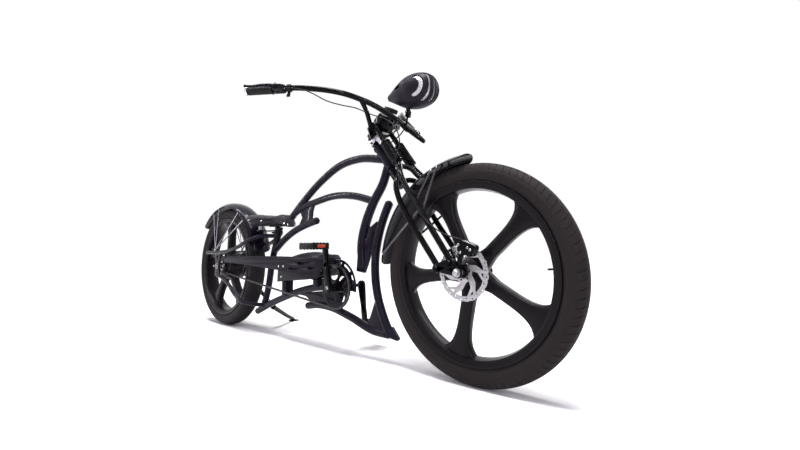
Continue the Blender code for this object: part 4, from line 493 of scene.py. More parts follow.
class Shape:
    """Collects the closed shells of one piece."""

    def __init__(self) -> None:
        """Start empty."""
        self.mesh = bmesh.new()

    def _new_vertices(self, points: Iterable[Sequence[float]]) -> list[bmesh.types.BMVert]:
        """Add loose vertices."""
        return [self.mesh.verts.new(point) for point in points]

    def rings(self, rings: Sequence[Sequence[Vector]], loop: bool = False) -> "Shape":
        """Skin closed rings of equal point count.

        Args:
            rings: The rings in order.
            loop: True joins the last ring to the first; otherwise both ends are capped.

        Returns:
            This shape.
        """
        rows = [self._new_vertices(ring) for ring in rings]
        count = len(rows[0])
        pairs = list(zip(rows, rows[1:])) + ([(rows[-1], rows[0])] if loop else [])
        for first, second in pairs:
            for index in range(count):
                after = (index + 1) % count
                self.mesh.faces.new((first[index], first[after], second[after], second[index]))
        if not loop:
            self.mesh.faces.new(rows[0][::-1])
            self.mesh.faces.new(rows[-1])
        return self

    def tube(self, knots: Sequence[Sequence[float]], radius: float, step: float = 0.012,
             sides: int = 24, taper: Callable[[float], float] | None = None,
             caps: tuple[Cap, Cap] = (Cap.FLAT, Cap.FLAT), flatten: float = 1.0) -> "Shape":
        """Sweep a round section along a smooth route.

        Args:
            knots: World points that the route passes.
            radius: The section's radius.
            step: Distance between two rings.
            sides: Points in a ring.
            taper: Radius factor by the share of the way.
            caps: The first and the last end.
            flatten: Factor on the section's height.

        Returns:
            This shape.
        """
        route = smooth_route(knots, step)
        last = len(route) - 1
        factors = [taper(index / last) if taper else 1.0 for index in range(last + 1)]
        route, factors = self._capped(route, factors, radius, caps)
        tangents = [(route[min(i + 1, len(route) - 1)] - route[max(i - 1, 0)]).normalized()
                    for i in range(len(route))]
        across = tangents[0].cross(SIDEWAYS)
        if across.length < 0.1:
            across = tangents[0].cross(UPWARDS)
        rings = []
        for point, tangent, factor in zip(route, tangents, factors):
            across = (across - tangent * across.dot(tangent)).normalized()
            other = tangent.cross(across)
            rings.append([point + (across * math.cos(a) * flatten + other * math.sin(a))
                          * radius * factor for a in around(sides)])
        return self.rings(rings)

    @staticmethod
    def _capped(route: list[Vector], factors: list[float], radius: float,
                caps: tuple[Cap, Cap]) -> tuple[list[Vector], list[float]]:
        """Add the extra points and radius factors that round off a tube's ends."""
        domes = [math.radians(angle) for angle in (20, 40, 58, 74, 85)]
        bevels = [(0.06, 0.97), (0.08, 0.90)]
        for end, cap in zip((0, -1), caps):
            inner = route[1] if end == 0 else route[-2]
            outward = (route[end] - inner).normalized()
            reach = radius * factors[end]
            if cap is Cap.DOME:
                route[end] = route[end] - outward * reach
                form = [(math.sin(a), math.cos(a)) for a in domes]
            else:
                route[end] = route[end] - outward * reach * 0.08
                form = bevels
            points = [route[end] + outward * reach * rise for rise, _ in form]
            shares = [factors[end] * share for _, share in form]
            if end == 0:
                route, factors = points[::-1] + route, shares[::-1] + factors
            else:
                route, factors = route + points, factors + shares
        return route, factors

    def rod(self, start: Sequence[float], end: Sequence[float], radius: float, sides: int = 32,
            bevel: float = 0.0006) -> "Shape":
        """Make a straight round rod with a small bevel at each end."""
        start, end = Vector(start), Vector(end)
        length = (end - start).length
        edge = min(bevel, radius * 0.4, length * 0.3)
        profile = [(0, length), (radius - edge, length), (radius, length - edge), (radius, edge),
                   (radius - edge, 0), (0, 0)]
        return self.lathe(profile, start, end - start, sides)

    def lathe(self, profile: Sequence[Pair], centre: Sequence[float], axis: Sequence[float],
              steps: int = 96, ring: bool = False) -> "Shape":
        """Turn a profile of (radius, height) pairs, top to bottom, round an axis.

        Args:
            profile: The section's points.
            centre: The axis's point at height 0.
            axis: The axis's direction.
            steps: Points round the axis.
            ring: True joins the last point to the first.

        Returns:
            This shape.
        """
        turn = Vector(axis).to_track_quat("Z", "X").to_matrix().to_4x4()
        place = Matrix.Translation(centre) @ turn
        columns = []
        for radius, height in profile:
            if radius < 1e-7:
                columns.append(self._new_vertices([place @ Vector((0, 0, height))]))
                continue
            columns.append(self._new_vertices(
                place @ Vector((radius * math.cos(a), radius * math.sin(a), height))
                for a in around(steps)))
        pairs = list(zip(columns, columns[1:])) + ([(columns[-1], columns[0])] if ring else [])
        for first, second in pairs:
            for k in range(steps):
                after = (k + 1) % steps
                corners = [first[k % len(first)], second[k % len(second)],
                           second[after % len(second)], first[after % len(first)]]
                unique = list(dict.fromkeys(corners))
                if len(unique) > 2:
                    self.mesh.faces.new(unique)
        return self

    def prism(self, outline: Sequence[Pair], low: float, high: float,
              holes: Sequence[Sequence[Pair]] = (), bevel: float = 0.0008) -> "Shape":
        """Extrude a side-view outline of (x, z) pairs between two Y values, edges rounded.

        Args:
            outline: The outer edge.
            low: The lower Y.
            high: The upper Y.
            holes: Outlines of openings.
            bevel: The rounding of the edges.

        Returns:
            This shape.
        """
        curve = bpy.data.curves.new("outline", "CURVE")
        curve.dimensions = "2D"
        curve.fill_mode = "BOTH"
        curve.bevel_depth = min(bevel, (high - low) * 0.45)
        curve.bevel_resolution = 2
        curve.offset = -curve.bevel_depth
        curve.extrude = (high - low) / 2 - curve.bevel_depth
        for loop in (outline, *holes):
            add_loop(curve, [(x, z, 0) for x, z in loop])
        guide = linked("guide", curve)
        mesh = evaluated(guide)
        bpy.data.objects.remove(guide)
        turn = Matrix.Translation((0, (low + high) / 2, 0)) @ Matrix.Rotation(math.pi / 2, 4, "X")
        self.take_mesh(mesh, turn)
        bmesh.ops.remove_doubles(self.mesh, verts=self.mesh.verts, dist=0.000002)
        return self

    def take_mesh(self, mesh: bpy.types.Mesh, place: Matrix | None = None) -> "Shape":
        """Add a mesh, placed by a matrix, and remove the original."""
        if place is not None:
            mesh.transform(place)
        self.mesh.from_mesh(mesh)
        bpy.data.meshes.remove(mesh)
        return self

    def hull(self, points: Sequence[Vector], bevel: float = 0.0010) -> "Shape":
        """Wrap points in their convex hull and bevel its sharp edges."""
        part = bmesh.new()
        for point in points:
            part.verts.new(point)
        bmesh.ops.convex_hull(part, input=part.verts)
        loose = [vertex for vertex in part.verts if not vertex.link_faces]
        bmesh.ops.delete(part, geom=loose, context="VERTS")
        bmesh.ops.dissolve_limit(part, angle_limit=0.02, verts=part.verts, edges=part.edges)
        sharp = [edge for edge in part.edges if edge.calc_face_angle(0) > math.radians(50)]
        if bevel > 0:
            bmesh.ops.bevel(part, geom=sharp, offset=bevel, segments=2, profile=0.5,
                            affect="EDGES", clamp_overlap=True)
        mesh = bpy.data.meshes.new("part")
        part.to_mesh(mesh)
        part.free()
        return self.take_mesh(mesh)

    def discs(self, discs: Sequence[Triple], low: float, high: float, bevel: float = 0.0010,
              place: Matrix | None = None, count: int = 40) -> "Shape":
        """Wrap discs of (x, z, radius) between two Y values."""
        points = []
        for x, z, radius in discs:
            for px, pz in arc((x, z), radius, count):
                points += [Vector((px, low, pz)), Vector((px, high, pz))]
        if place is not None:
            points = [place @ point for point in points]
        return self.hull(points, bevel)

    def block(self, centre: Sequence[float], size: Sequence[float], turn: Matrix | None = None,
              bevel: float = 0.0012) -> "Shape":
        """Make a box with rounded edges, turned about its centre."""
        corners = [Vector((sx * size[0] / 2, sy * size[1] / 2, sz * size[2] / 2))
                   for sx in (-1, 1) for sy in (-1, 1) for sz in (-1, 1)]
        if turn is not None:
            corners = [turn @ corner for corner in corners]
        return self.hull([Vector(centre) + corner for corner in corners], bevel)

    def bar(self, start: Sequence[float], end: Sequence[float], width: float, thickness: float,
            wide_axis: Sequence[float] = (0, 0, 1), bevel: float = 0.0006) -> "Shape":
        """Make a flat bar between two points; its width lies nearest the wide axis."""
        start, end = Vector(start), Vector(end)
        along = (end - start).normalized()
        thin = along.cross(Vector(wide_axis)).normalized()
        turn = Matrix((along, thin, thin.cross(along))).transposed()
        return self.block((start + end) / 2, ((end - start).length, thickness, width), turn, bevel)

    def pin(self, side: Side, place: Pair, near: float, far: float, radius: float,
            sides: int = 32, bevel: float = 0.0006) -> "Shape":
        """Make a rod along Y between two distances from the middle plane, at (x, z)."""
        x, z = place
        return self.rod(side.of((x, near, z)), side.of((x, far, z)), radius, sides, bevel)

    def head(self, profile: Sequence[Pair], side: Side, spot: Triple, steps: int,
             ring: bool = True) -> "Shape":
        """Turn a small profile at a spot given for the left side; it faces away from the bike."""
        return self.lathe(profile, side.of(spot), side.out, steps, ring)

    def piece(self, name: str, body: str, finish: Finish, replaces: Sequence[str] = (),
              smooth: float = 42.0) -> bpy.types.Object:
        """Turn the shells into a piece that rides on a body.

        Args:
            name: The piece's name.
            body: The body that it rides on.
            finish: Its finish.
            replaces: CAD nodes that it stands for.
            smooth: Edges under this angle, in degrees, are shaded smooth.

        Returns:
            The new object.
        """
        bmesh.ops.recalc_face_normals(self.mesh, faces=self.mesh.faces)
        mesh = bpy.data.meshes.new(name)
        self.mesh.to_mesh(mesh)
        self.mesh.free()
        mesh.materials.clear()
        mesh.materials.append(material_of(finish))
        mesh.polygons.foreach_set("material_index", [0] * len(mesh.polygons))
        mesh.shade_smooth()
        mesh.set_sharp_from_angle(angle=math.radians(smooth))
        piece = linked(name, mesh)
        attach(piece, body)
        if replaces:
            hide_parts(*replaces)
        LOG.info("%s on %s: %d faces", name, body, len(mesh.polygons))
        return piece


# Geometry node trees for what repeats
class Pattern(Tree):
    """A geometry node tree with named inputs, run on a host object to get a plain mesh."""

    @classmethod
    def named(cls, name: str, inputs: Sockets) -> "Pattern":
        """Start a pattern; geometry comes first and the finish last."""
        shape = ("Geometry", "NodeSocketGeometry", None)
        finish = ("Finish", "NodeSocketMaterial", None)
        return cls.group(name, "Geometry", (shape, *inputs, finish), (shape,))

    def copies(self, points: object, piece: object, **more: object) -> bpy.types.NodeSocket:
        """Put copies of an object's mesh on points."""
        info = self.node("GeometryNodeObjectInfo", {"Object": piece})
        links = {"Points": points, "Instance": info.outputs["Geometry"], **more}
        return self.node("GeometryNodeInstanceOnPoints", links).outputs[0]

    def about_y(self, angle: object) -> bpy.types.NodeSocket:
        """Return the rotation that turns X towards Z by an angle."""
        back = self.math("MULTIPLY", angle, -1.0)
        return self.node("ShaderNodeCombineXYZ", {"Y": back}).outputs[0]

    def end(self, geometry: bpy.types.NodeSocket) -> "Pattern":
        """End the tree in Realize Instances and Set Material."""
        real = self.node("GeometryNodeRealizeInstances", {"Geometry": geometry})
        dressed = self.node("GeometryNodeSetMaterial",
                            {"Geometry": real.outputs[0], "Material": self.given["Finish"]})
        self.feed(self.result, {"Geometry": dressed.outputs[0]})
        return self

    def grow(self, host: bpy.types.Object, finish: Finish, **values: object) -> bpy.types.Mesh:
        """Run the tree on a host and return the result as a plain mesh.

        Args:
            host: The object whose geometry enters the tree; it is removed afterwards.
            finish: The finish of the result.
            values: Input values by name, with underscores for spaces; helper objects among
                them are removed too.

        Returns:
            The mesh.
        """
        sockets = {item.name: item.identifier for item in self.data.interface.items_tree
                   if item.in_out == "INPUT"}
        modifier = host.modifiers.new(self.data.name, "NODES")
        modifier.node_group = self.data
        modifier[sockets["Finish"]] = material_of(finish)
        for label, value in values.items():
            modifier[sockets[label.replace("_", " ")]] = value
        mesh = evaluated(host)
        host.modifiers.remove(modifier)
        for helper in (host, *values.values()):
            if isinstance(helper, bpy.types.Object):
                bpy.data.objects.remove(helper)
        return mesh


def host_of(name: str, shape: Shape | None = None) -> bpy.types.Object:
    """Return a linked helper object that holds a shape, or an empty mesh."""
    mesh = bpy.data.meshes.new(name)
    if shape is not None:
        bmesh.ops.recalc_face_normals(shape.mesh, faces=shape.mesh.faces)
        shape.mesh.to_mesh(mesh)
        shape.mesh.free()
        mesh.shade_smooth()
        mesh.set_sharp_from_angle(angle=math.radians(40))
    return linked(name, mesh)


def carve(name: str, body: Shape, tools: Sequence[Shape]) -> Shape:
    """Cut shapes out of a body and return what is left.

    Args:
        name: A name for the helper objects.
        body: The shape that is cut.
        tools: The shapes that are taken away, in order.

    Returns:
        The cut shape.
    """
    helpers = [host_of(name, body)]
    for number, tool in enumerate(tools):
        helpers.append(host_of(f"{name}_tool_{number}", tool))
        cut = helpers[0].modifiers.new(f"cut_{number}", "BOOLEAN")
        cut.operation, cut.solver, cut.use_self = "DIFFERENCE", "EXACT", True
        cut.object = helpers[-1]
    mesh = evaluated(helpers[0])
    for helper in helpers:
        bpy.data.objects.remove(helper)
    return Shape().take_mesh(mesh)


@cache
def ring_of_pieces() -> Pattern:
    """Return copies of a piece evenly round the Y axis, each turned with its place."""
    tree = Pattern.named("ring_of_pieces", (("Piece", THING, None), ("Count", WHOLE, 5),
                                            ("Radius", NUMBER, 0.02), ("First Angle", NUMBER, 0.0)))
    given = tree.given
    points = tree.node("GeometryNodePoints", {"Count": given["Count"]}).outputs[0]
    share = tree.math("DIVIDE", tree.node("GeometryNodeInputIndex").outputs[0], given["Count"])
    angle = tree.math("ADD", tree.math("MULTIPLY", share, 2 * math.pi), given["First Angle"])
    spot = tree.node("ShaderNodeCombineXYZ", {
        axis: tree.math("MULTIPLY", tree.math(wave, angle), given["Radius"])
        for axis, wave in (("X", "COSINE"), ("Z", "SINE"))})
    moved = tree.node("GeometryNodeSetPosition", {"Geometry": points, "Position": spot.outputs[0]})
    return tree.end(tree.copies(moved.outputs[0], given["Piece"], Rotation=tree.about_y(angle)))


@cache
def coil_spring() -> Pattern:
    """Return a coil spring that rises along Z, from a spiral and a round wire."""
    tree = Pattern.named("coil_spring", tuple((label, NUMBER, default) for label, default in (
        ("Radius", 0.018), ("Wire Radius", 0.003), ("Turns", 8.0), ("Height", 0.09))))
    given = tree.given
    spiral = tree.node("GeometryNodeCurveSpiral",
                       {"Resolution": 36, "Rotations": given["Turns"], "Height": given["Height"],
                        "Start Radius": given["Radius"], "End Radius": given["Radius"]})
    section = tree.node("GeometryNodeCurvePrimitiveCircle",
                        {"Resolution": 14, "Radius": given["Wire Radius"]})
    wire = tree.node("GeometryNodeCurveToMesh",
                     {"Curve": spiral.outputs[0], "Profile Curve": section.outputs[0],
                      "Fill Caps": True})
    return tree.end(wire.outputs[0])


@cache
def links_on_loop() -> Pattern:
    """Return alternating inner and outer links on a closed curve in the XZ plane."""
    tree = Pattern.named("links_on_loop", (("Inner Link", THING, None), ("Outer Link", THING, None),
                                           ("Links", WHOLE, 100)))
    given = tree.given
    even = tree.node("GeometryNodeResampleCurve",
                     {"Curve": given["Geometry"], "Count": given["Links"]}).outputs[0]
    tangent = tree.node("GeometryNodeInputTangent").outputs[0]
    split = tree.node("ShaderNodeSeparateXYZ", {0: tangent}).outputs
    back = tree.about_y(tree.math("ARCTAN2", split["Z"], split["X"]))
    odd = tree.math("MODULO", tree.node("GeometryNodeInputIndex").outputs[0], 2.0)
    join = tree.node("GeometryNodeJoinGeometry")
    for label, chosen in (("Inner Link", odd), ("Outer Link", tree.math("SUBTRACT", 1.0, odd))):
        copies = tree.copies(even, given[label], Selection=chosen, Rotation=back)
        tree.feed(join.inputs, {0: copies})
    return tree.end(join.outputs[0])


class Assembly:
    """What every sub-assembly has."""

    def build(self) -> None:
        """Build and dress the sub-assembly's pieces."""
        raise NotImplementedError


# Wheels
@dataclass(frozen=True)
class TyreForm:
    """Sizes of one tyre and of its tread's grooves, from the first to the last section angle.

    Section angles are in degrees: negative towards the bead, 90 on the crown.
    """

    centre: Vector
    radius: float
    bead: float
    half_width: float
    grooves: int
    groove_depth: float
    slant: float
    first: float
    last: float

    BEAD_DEGREES = -52
    SECTION_DEGREES = 142
    SECTION_STEPS = 44
    RING_LINE = 77
    PHASES = (0.0, 0.20, 0.395, 0.415, 0.500, 0.525)

    def section(self, angle: float) -> Pair:
        """Return (radius, half width) of the section at an angle, 90 degrees being the crown."""
        widest = self.bead + 0.42 * (self.radius - self.bead)
        low = math.radians(self.BEAD_DEGREES)
        reach = (widest - self.bead) / -math.sin(low) if angle < 0 else self.radius - widest
        return widest + reach * math.sin(angle), self.half_width * max(math.cos(angle), 0) ** 0.8

    def cut(self, angle: float, phase: float) -> float:
        """Return how deep the tread is cut at a section angle and a share of one groove pitch."""
        degrees = math.degrees(angle)
        ring = any(abs(degrees - line) < 1.7 for line in (self.first - 4, self.RING_LINE))
        depth = 0.0015 if ring else 0.0
        if self.first <= degrees <= self.last and 0.40 < phase < 0.51:
            depth = self.groove_depth
        return depth

    def shape(self) -> Shape:
        """Return the tyre, one section per column, six columns to a groove."""
        half = [math.radians(self.BEAD_DEGREES + self.SECTION_DEGREES * k / self.SECTION_STEPS)
                for k in range(self.SECTION_STEPS + 1)]
        rings = []
        for groove in range(self.grooves):
            for phase in self.PHASES:
                ring = []
                for sign, angles in ((1, half), (-1, half[-2::-1])):
                    for angle in angles:
                        turn = (groove + phase) / self.grooves * 2 * math.pi
                        turn += self.slant * (angle - 0.7) * max(0.0, math.sin(angle))
                        radius, width = self.section(angle)
                        radius -= self.cut(angle, phase)
                        ring.append(self.centre + Vector((radius * math.cos(turn), width * sign,
                                                          radius * math.sin(turn))))
                rings.append(ring)
        return Shape().rings(rings, loop=True)


FRONT_TYRE = TyreForm(FRONT_AXLE, 0.357, 0.2915, 0.0345, 88, 0.0030, 0.05, 24, 72)
REAR_TYRE = TyreForm(REAR_AXLE, 0.3444, 0.281, 0.046, 120, 0.0014, 0.03, 30, 86)


@dataclass
class CastWheel(Assembly):
    """A five-spoke cast wheel: deep rim, flared spokes, and what both wheels share."""

    centre: Vector = field(default_factory=lambda: FRONT_AXLE.copy())
    bead: float = 0.2925
    rim_half: float = 0.0337
    rim_depth: float = 0.0219
    spoke_count: int = 5
    first_spoke: float = math.radians(42)
    hub_half_width: float = 0.0225
    rim_half_width: float = 0.0585
    spoke_half_thickness: float = 0.019
    spoke_root: float = 0.032
    spoke_rings: int = 22

    def rim(self, shape: Shape) -> None:
        """Turn the rim with its rolled outer lips and its drawn-in floor."""
        half, bead, inner = self.rim_half, self.bead, self.bead - self.rim_depth
        side = [(inner - 0.0015, half * 0.70), (inner, half * 0.88), (inner + 0.004, half * 0.955),
                (bead - 0.0055, half * 0.985), (bead - 0.0040, half), (bead, half),
                (bead + 0.0016, half - 0.0012), (bead + 0.0016, half - 0.0040),
                (bead, half - 0.006)]
        profile = side + [(r, -y) for r, y in reversed(side)]
        profile.append((inner - 0.0055, 0))
        shape.lathe(profile, self.centre, SIDEWAYS, 160, ring=True)

    def half_width_at(self, radius: float) -> float:
        """Return a spoke's half width, which flares at the hub and more at the rim."""
        rim_inner = self.bead - self.rim_depth
        outward = max(0.0, (radius - 0.40 * rim_inner) / (0.60 * rim_inner))
        inward = max(0.0, 1 - radius / 0.09)
        flare = (self.rim_half_width - self.hub_half_width) * outward ** 4.2
        lip = 0.030 * max(0.0, (radius - 0.84 * rim_inner) / (0.19 * rim_inner)) ** 3
        return self.hub_half_width + 0.02 * inward + flare + lip

    def spokes(self, shape: Shape) -> None:
        """Loft every spoke with crowned faces from the hub out into the rim."""
        reach = self.bead - self.rim_depth + 0.009
        for number in range(self.spoke_count):
            turn = self.first_spoke + number * 2 * math.pi / self.spoke_count
            along = radial(turn)
            across = Vector((-math.sin(turn), 0, math.cos(turn)))
            rings = []
            for station in range(self.spoke_rings):
                share = station / (self.spoke_rings - 1)
                radius = self.spoke_root + (reach - self.spoke_root) * share
                half = self.half_width_at(radius)
                thick = self.spoke_half_thickness + 0.005 * (1 - share) + 0.004 * share ** 6
                ring = []
                for a in around(28):
                    wide = blunt(math.cos(a), 0.72)
                    deep = blunt(math.sin(a), 0.60)
                    ring.append(self.centre + along * radius + across * half * wide
                                + SIDEWAYS * thick * deep)
                rings.append(ring)
            shape.rings(rings)

    def casting(self, end: str, tyre: TyreForm, rubber: Finish, hub: Sequence[Pair]) -> None:
        """Build the tyre and the casting: rim, spokes and the turned hub."""
        body = end + "_wheel"
        tyre.shape().piece(end + "_tyre_tread", body, rubber, [end + "_tyre"], 50)
        wheel = Shape()
        self.rim(wheel)
        self.spokes(wheel)
        wheel.lathe(hub, self.centre, SIDEWAYS, 96, ring=True)
        wheel.piece(end + "_wheel_casting", body, SATIN, [body])

    def ring_of(self, name: str, body: str, part: Shape, finish: Finish, y: float,
                **values: float) -> None:
        """Set copies of a part in a ring round the axle.

        Args:
            name: The piece's name.
            body: The body that it rides on.
            part: The shape that is copied.
            finish: Its finish.
            y: The ring's Y.
            values: Count, Radius and First_Angle of the ring.
        """
        mesh = ring_of_pieces().grow(host_of(name), finish, Piece=host_of(name + "_part", part),
                                     **values)
        place = Matrix.Translation(self.centre + SIDEWAYS * y)
        Shape().take_mesh(mesh, place).piece(name, body, finish)

    def bolts(self, name: str, body: str, radius: float, y: float, reach: float,
              finish: Finish) -> None:
        """Set six domed bolt heads round the axle; reach has the sign of their direction."""
        size = 0.0032
        head = Shape().lathe([(0, reach), (size * 0.45, reach), (size * 0.5, reach * 0.6),
                              (size * 0.8, reach * 0.95), (size, reach * 0.5), (size, 0), (0, 0)],
                             (0, 0, 0), SIDEWAYS, 12)
        self.ring_of(name, body, head, finish, y, Count=6, Radius=radius, First_Angle=0.2)


@dataclass
class BrakeDisc:
    """A brake disc with a petal edge, drilled band, swept arms and small corner windows."""

    centre: Vector
    radius: float
    low: float
    arms: int
    core: float
    bore: float
    petals: int = 24
    thickness: float = 0.002

    def windows(self) -> list[list[Pair]]:
        """Return the outlines of the arms' windows, the corner windows and the band's holes."""
        band, span = self.radius - 0.0165, 2 * math.pi / self.arms
        loops = []
        for number in range(self.arms):
            start = number * span
            outer = [(band, start + span * share) for share in (0.10, 0.25, 0.4, 0.55, 0.68)]
            inner = [(self.core, start + 0.55 + span * share) for share in (0.66, 0.5, 0.30)]
            mid = (band + self.core) / 2
            loop = outer + [(band - 0.010, start + span * 0.80), (mid, start + 0.275 + span * 0.74)]
            loop += inner + [(mid, start + 0.275 + span * 0.18)]
            loops.append([polar(self.centre, r, a) for r, a in loop])
            corner = [(band, start + span * 0.80), (band, start + span * 0.99),
                      (band - 0.0095, start + span * 0.99)]
            loops.append([polar(self.centre, r, a) for r, a in corner])
        for number in range(self.petals):
            turn = 2 * math.pi * (number + 0.5) / self.petals
            x, z = polar(self.centre, self.radius - (0.0055 if number % 2 else 0.0110), turn)
            loops.append([(x + 0.0024 * math.cos(a + turn), z + 0.0024 * math.sin(a + turn))
                          for a in around(8)])
        loops.append(arc(side_view(self.centre), self.bore, 36))
        return loops

    def shape(self) -> Shape:
        """Return the disc."""
        edge = []
        for turn in around(self.petals * 10):
            dent = 0.0020 * max(0.0, math.cos(self.petals * turn)) ** 2
            edge.append(polar(self.centre, self.radius - dent, turn))
        return Shape().prism(edge, self.low, self.low + self.thickness, self.windows(), 0.0002)


@dataclass
class FrontWheel(CastWheel):
    """The front tyre, cast wheel, disc, carrier and valve."""

    def build(self) -> None:
        """Build and dress the front wheel's pieces."""
        hub = [(0.0063, 0.050), (0.017, 0.050), (0.018, 0.0495), (0.0335, 0.0452), (0.036, 0.044),
               (0.0420, 0.0290), (0.043, 0.026), (0.0385, 0.012), (0.0385, -0.012), (0.043, -0.026),
               (0.0420, -0.0290), (0.036, -0.044), (0.030, -0.052), (0.030, -0.0605),
               (0.0063, -0.0605)]
        self.casting("front", FRONT_TYRE, FRONT_RUBBER, hub)
        self.valve()
        BrakeDisc(self.centre, 0.0897, -0.0630, 6, 0.0323, 0.0150).shape().piece(
            "front_brake_disc", "front_wheel", STEEL, ["front_rotor"], 30)
        self.bolts("front_disc_bolts", "front_wheel", 0.0235, -0.0630, -0.0016, HARDWARE)
        self.carrier()

    def valve(self) -> None:
        """Build the tyre valve with its cap and base nut."""
        out = radial(math.radians(3.2))
        inner = self.bead - self.rim_depth
        spot = self.centre + out * (inner + 0.002)
        profile = [(0, 0.0285), (0.0025, 0.0280), (0.0033, 0.0262), (0.0033, 0.0150),
                   (0.0024, 0.0145), (0.0024, 0.0080), (0.0052, 0.0076), (0.0058, 0.0060),
                   (0.0058, 0.0), (0, 0)]
        Shape().lathe(profile, spot, -out, 24).piece("front_valve", "front_wheel", GRIP_RUBBER)

    def carrier(self) -> None:
        """Build the notched lock ring that holds the disc's middle."""
        outline = [polar(self.centre, 0.0185 if k % 5 < 3 else 0.0160, turn)
                   for k, turn in enumerate(around(60))]
        hole = arc(side_view(self.centre), 0.0112, 40)
        Shape().prism(outline, -0.0662, -0.0631, [hole], 0.0004).piece(
            "front_lock_ring", "front_wheel", HARDWARE)


@dataclass
class RearWheel(CastWheel):
    """The rear tyre, cast wheel with the closed motor drum, disc, cog and axle."""

    centre: Vector = field(default_factory=lambda: REAR_AXLE.copy())
    bead: float = 0.282
    rim_half: float = 0.042
    first_spoke: float = math.radians(90)

    def build(self) -> None:
        """Build and dress the rear wheel's pieces."""
        drum = [(0.0063, 0.0580), (0.026, 0.0575), (0.026, 0.054), (0.060, 0.0510), (0.070, 0.0495),
                (0.0765, 0.043), (0.078, 0.038), (0.078, 0.030), (0.0765, 0.029), (0.0765, -0.023),
                (0.078, -0.024), (0.078, -0.033), (0.074, -0.037), (0.066, -0.0415),
                (0.050, -0.0425), (0.0485, -0.0455), (0.036, -0.0463), (0.0063, -0.0463)]
        self.casting("rear", REAR_TYRE, REAR_RUBBER, drum)
        self.fins()
        BrakeDisc(self.centre, 0.080, 0.0600, 5, 0.034, 0.0205, 22).shape().piece(
            "rear_brake_disc", "rear_wheel", REAR_STEEL, ["rear_rotor"], 30)
        carrier = Shape().lathe([(0.0063, 0.0633), (0.024, 0.0633), (0.031, 0.0625),
                                 (0.031, 0.0575), (0.0063, 0.0575)], self.centre, SIDEWAYS, 72,
                                ring=True)
        carrier.piece("rear_disc_carrier", "rear_wheel", HARDWARE)
        self.bolts("rear_disc_bolts", "rear_wheel", 0.0265, 0.0630, 0.0014, PLATED)
        self.cog()
        self.axle()

    def fins(self) -> None:
        """Set cooling fins round the drum's right cover."""
        fin = Shape().bar((0.040, -0.0425, 0), (0.068, -0.0405, 0), 0.0022, 0.0030, (0, 0, 1),
                          0.0004)
        self.ring_of("drum_cooling_fins", "rear_wheel", fin, SATIN, 0.0, Count=30, Radius=0.0,
                     First_Angle=0.0)

    def cog(self) -> None:
        """Build the driven cog and its splined boss."""
        cog = Shape().prism(toothed(self.centre, 16), CHAIN_LINE - 0.0011, CHAIN_LINE + 0.0011,
                            [arc(side_view(self.centre), 0.012, 24)], 0.0002)
        boss = [(0.0065, -0.0490), (0.0185, -0.0490), (0.019, -0.0500), (0.019, -0.0650),
                (0.0175, -0.0658), (0.0065, -0.0658)]
        cog.lathe(boss, self.centre, SIDEWAYS, 48, ring=True)
        cog.piece("driven_cog", "cog", PLATED, ["rear_cog"], 30)

    def axle(self) -> None:
        """Build the axle with a domed nut and washer at each end."""
        axle = Shape().rod(self.centre - SIDEWAYS * 0.105, self.centre + SIDEWAYS * 0.105, 0.0058)
        for side in Side:
            outer = (self.centre.x, 0.0846, self.centre.z)
            axle.head([(0.0058, 0.0020), (0.0150, 0.0018), (0.0150, 0.0), (0.0058, 0.0)], side,
                      outer, 48)
            axle.head([(0.0058, 0.0110), (0.0095, 0.0108), (0.0112, 0.0095), (0.0112, 0.0020),
                       (0.0058, 0.0020)], side, outer, 6)
            axle.pin(side, side_view(self.centre), 0.0757, 0.0668, 0.0110)
        axle.piece("rear_axle_and_nuts", "frame", PLATED, ["rear_axle"], 30)


# Drive
def pitch_radius(teeth: int) -> float:
    """Return the radius at which a chain's pins ride on a toothed ring."""
    return CHAIN_PITCH / (2 * math.sin(math.pi / teeth))


def toothed(centre: Vector, teeth: int) -> list[Pair]:
    """Return the outline of a toothed ring: round roots and blunt tips."""
    ride = pitch_radius(teeth)
    outline = []
    for index in range(teeth):
        for share, reach in ((-0.5, -0.0036), (-0.30, -0.0028), (-0.12, 0.0022), (0.0, 0.0033),
                             (0.12, 0.0022), (0.30, -0.0028)):
            turn = 2 * math.pi * (index + share) / teeth
            outline.append(polar(centre, ride + reach, turn))
    return outline


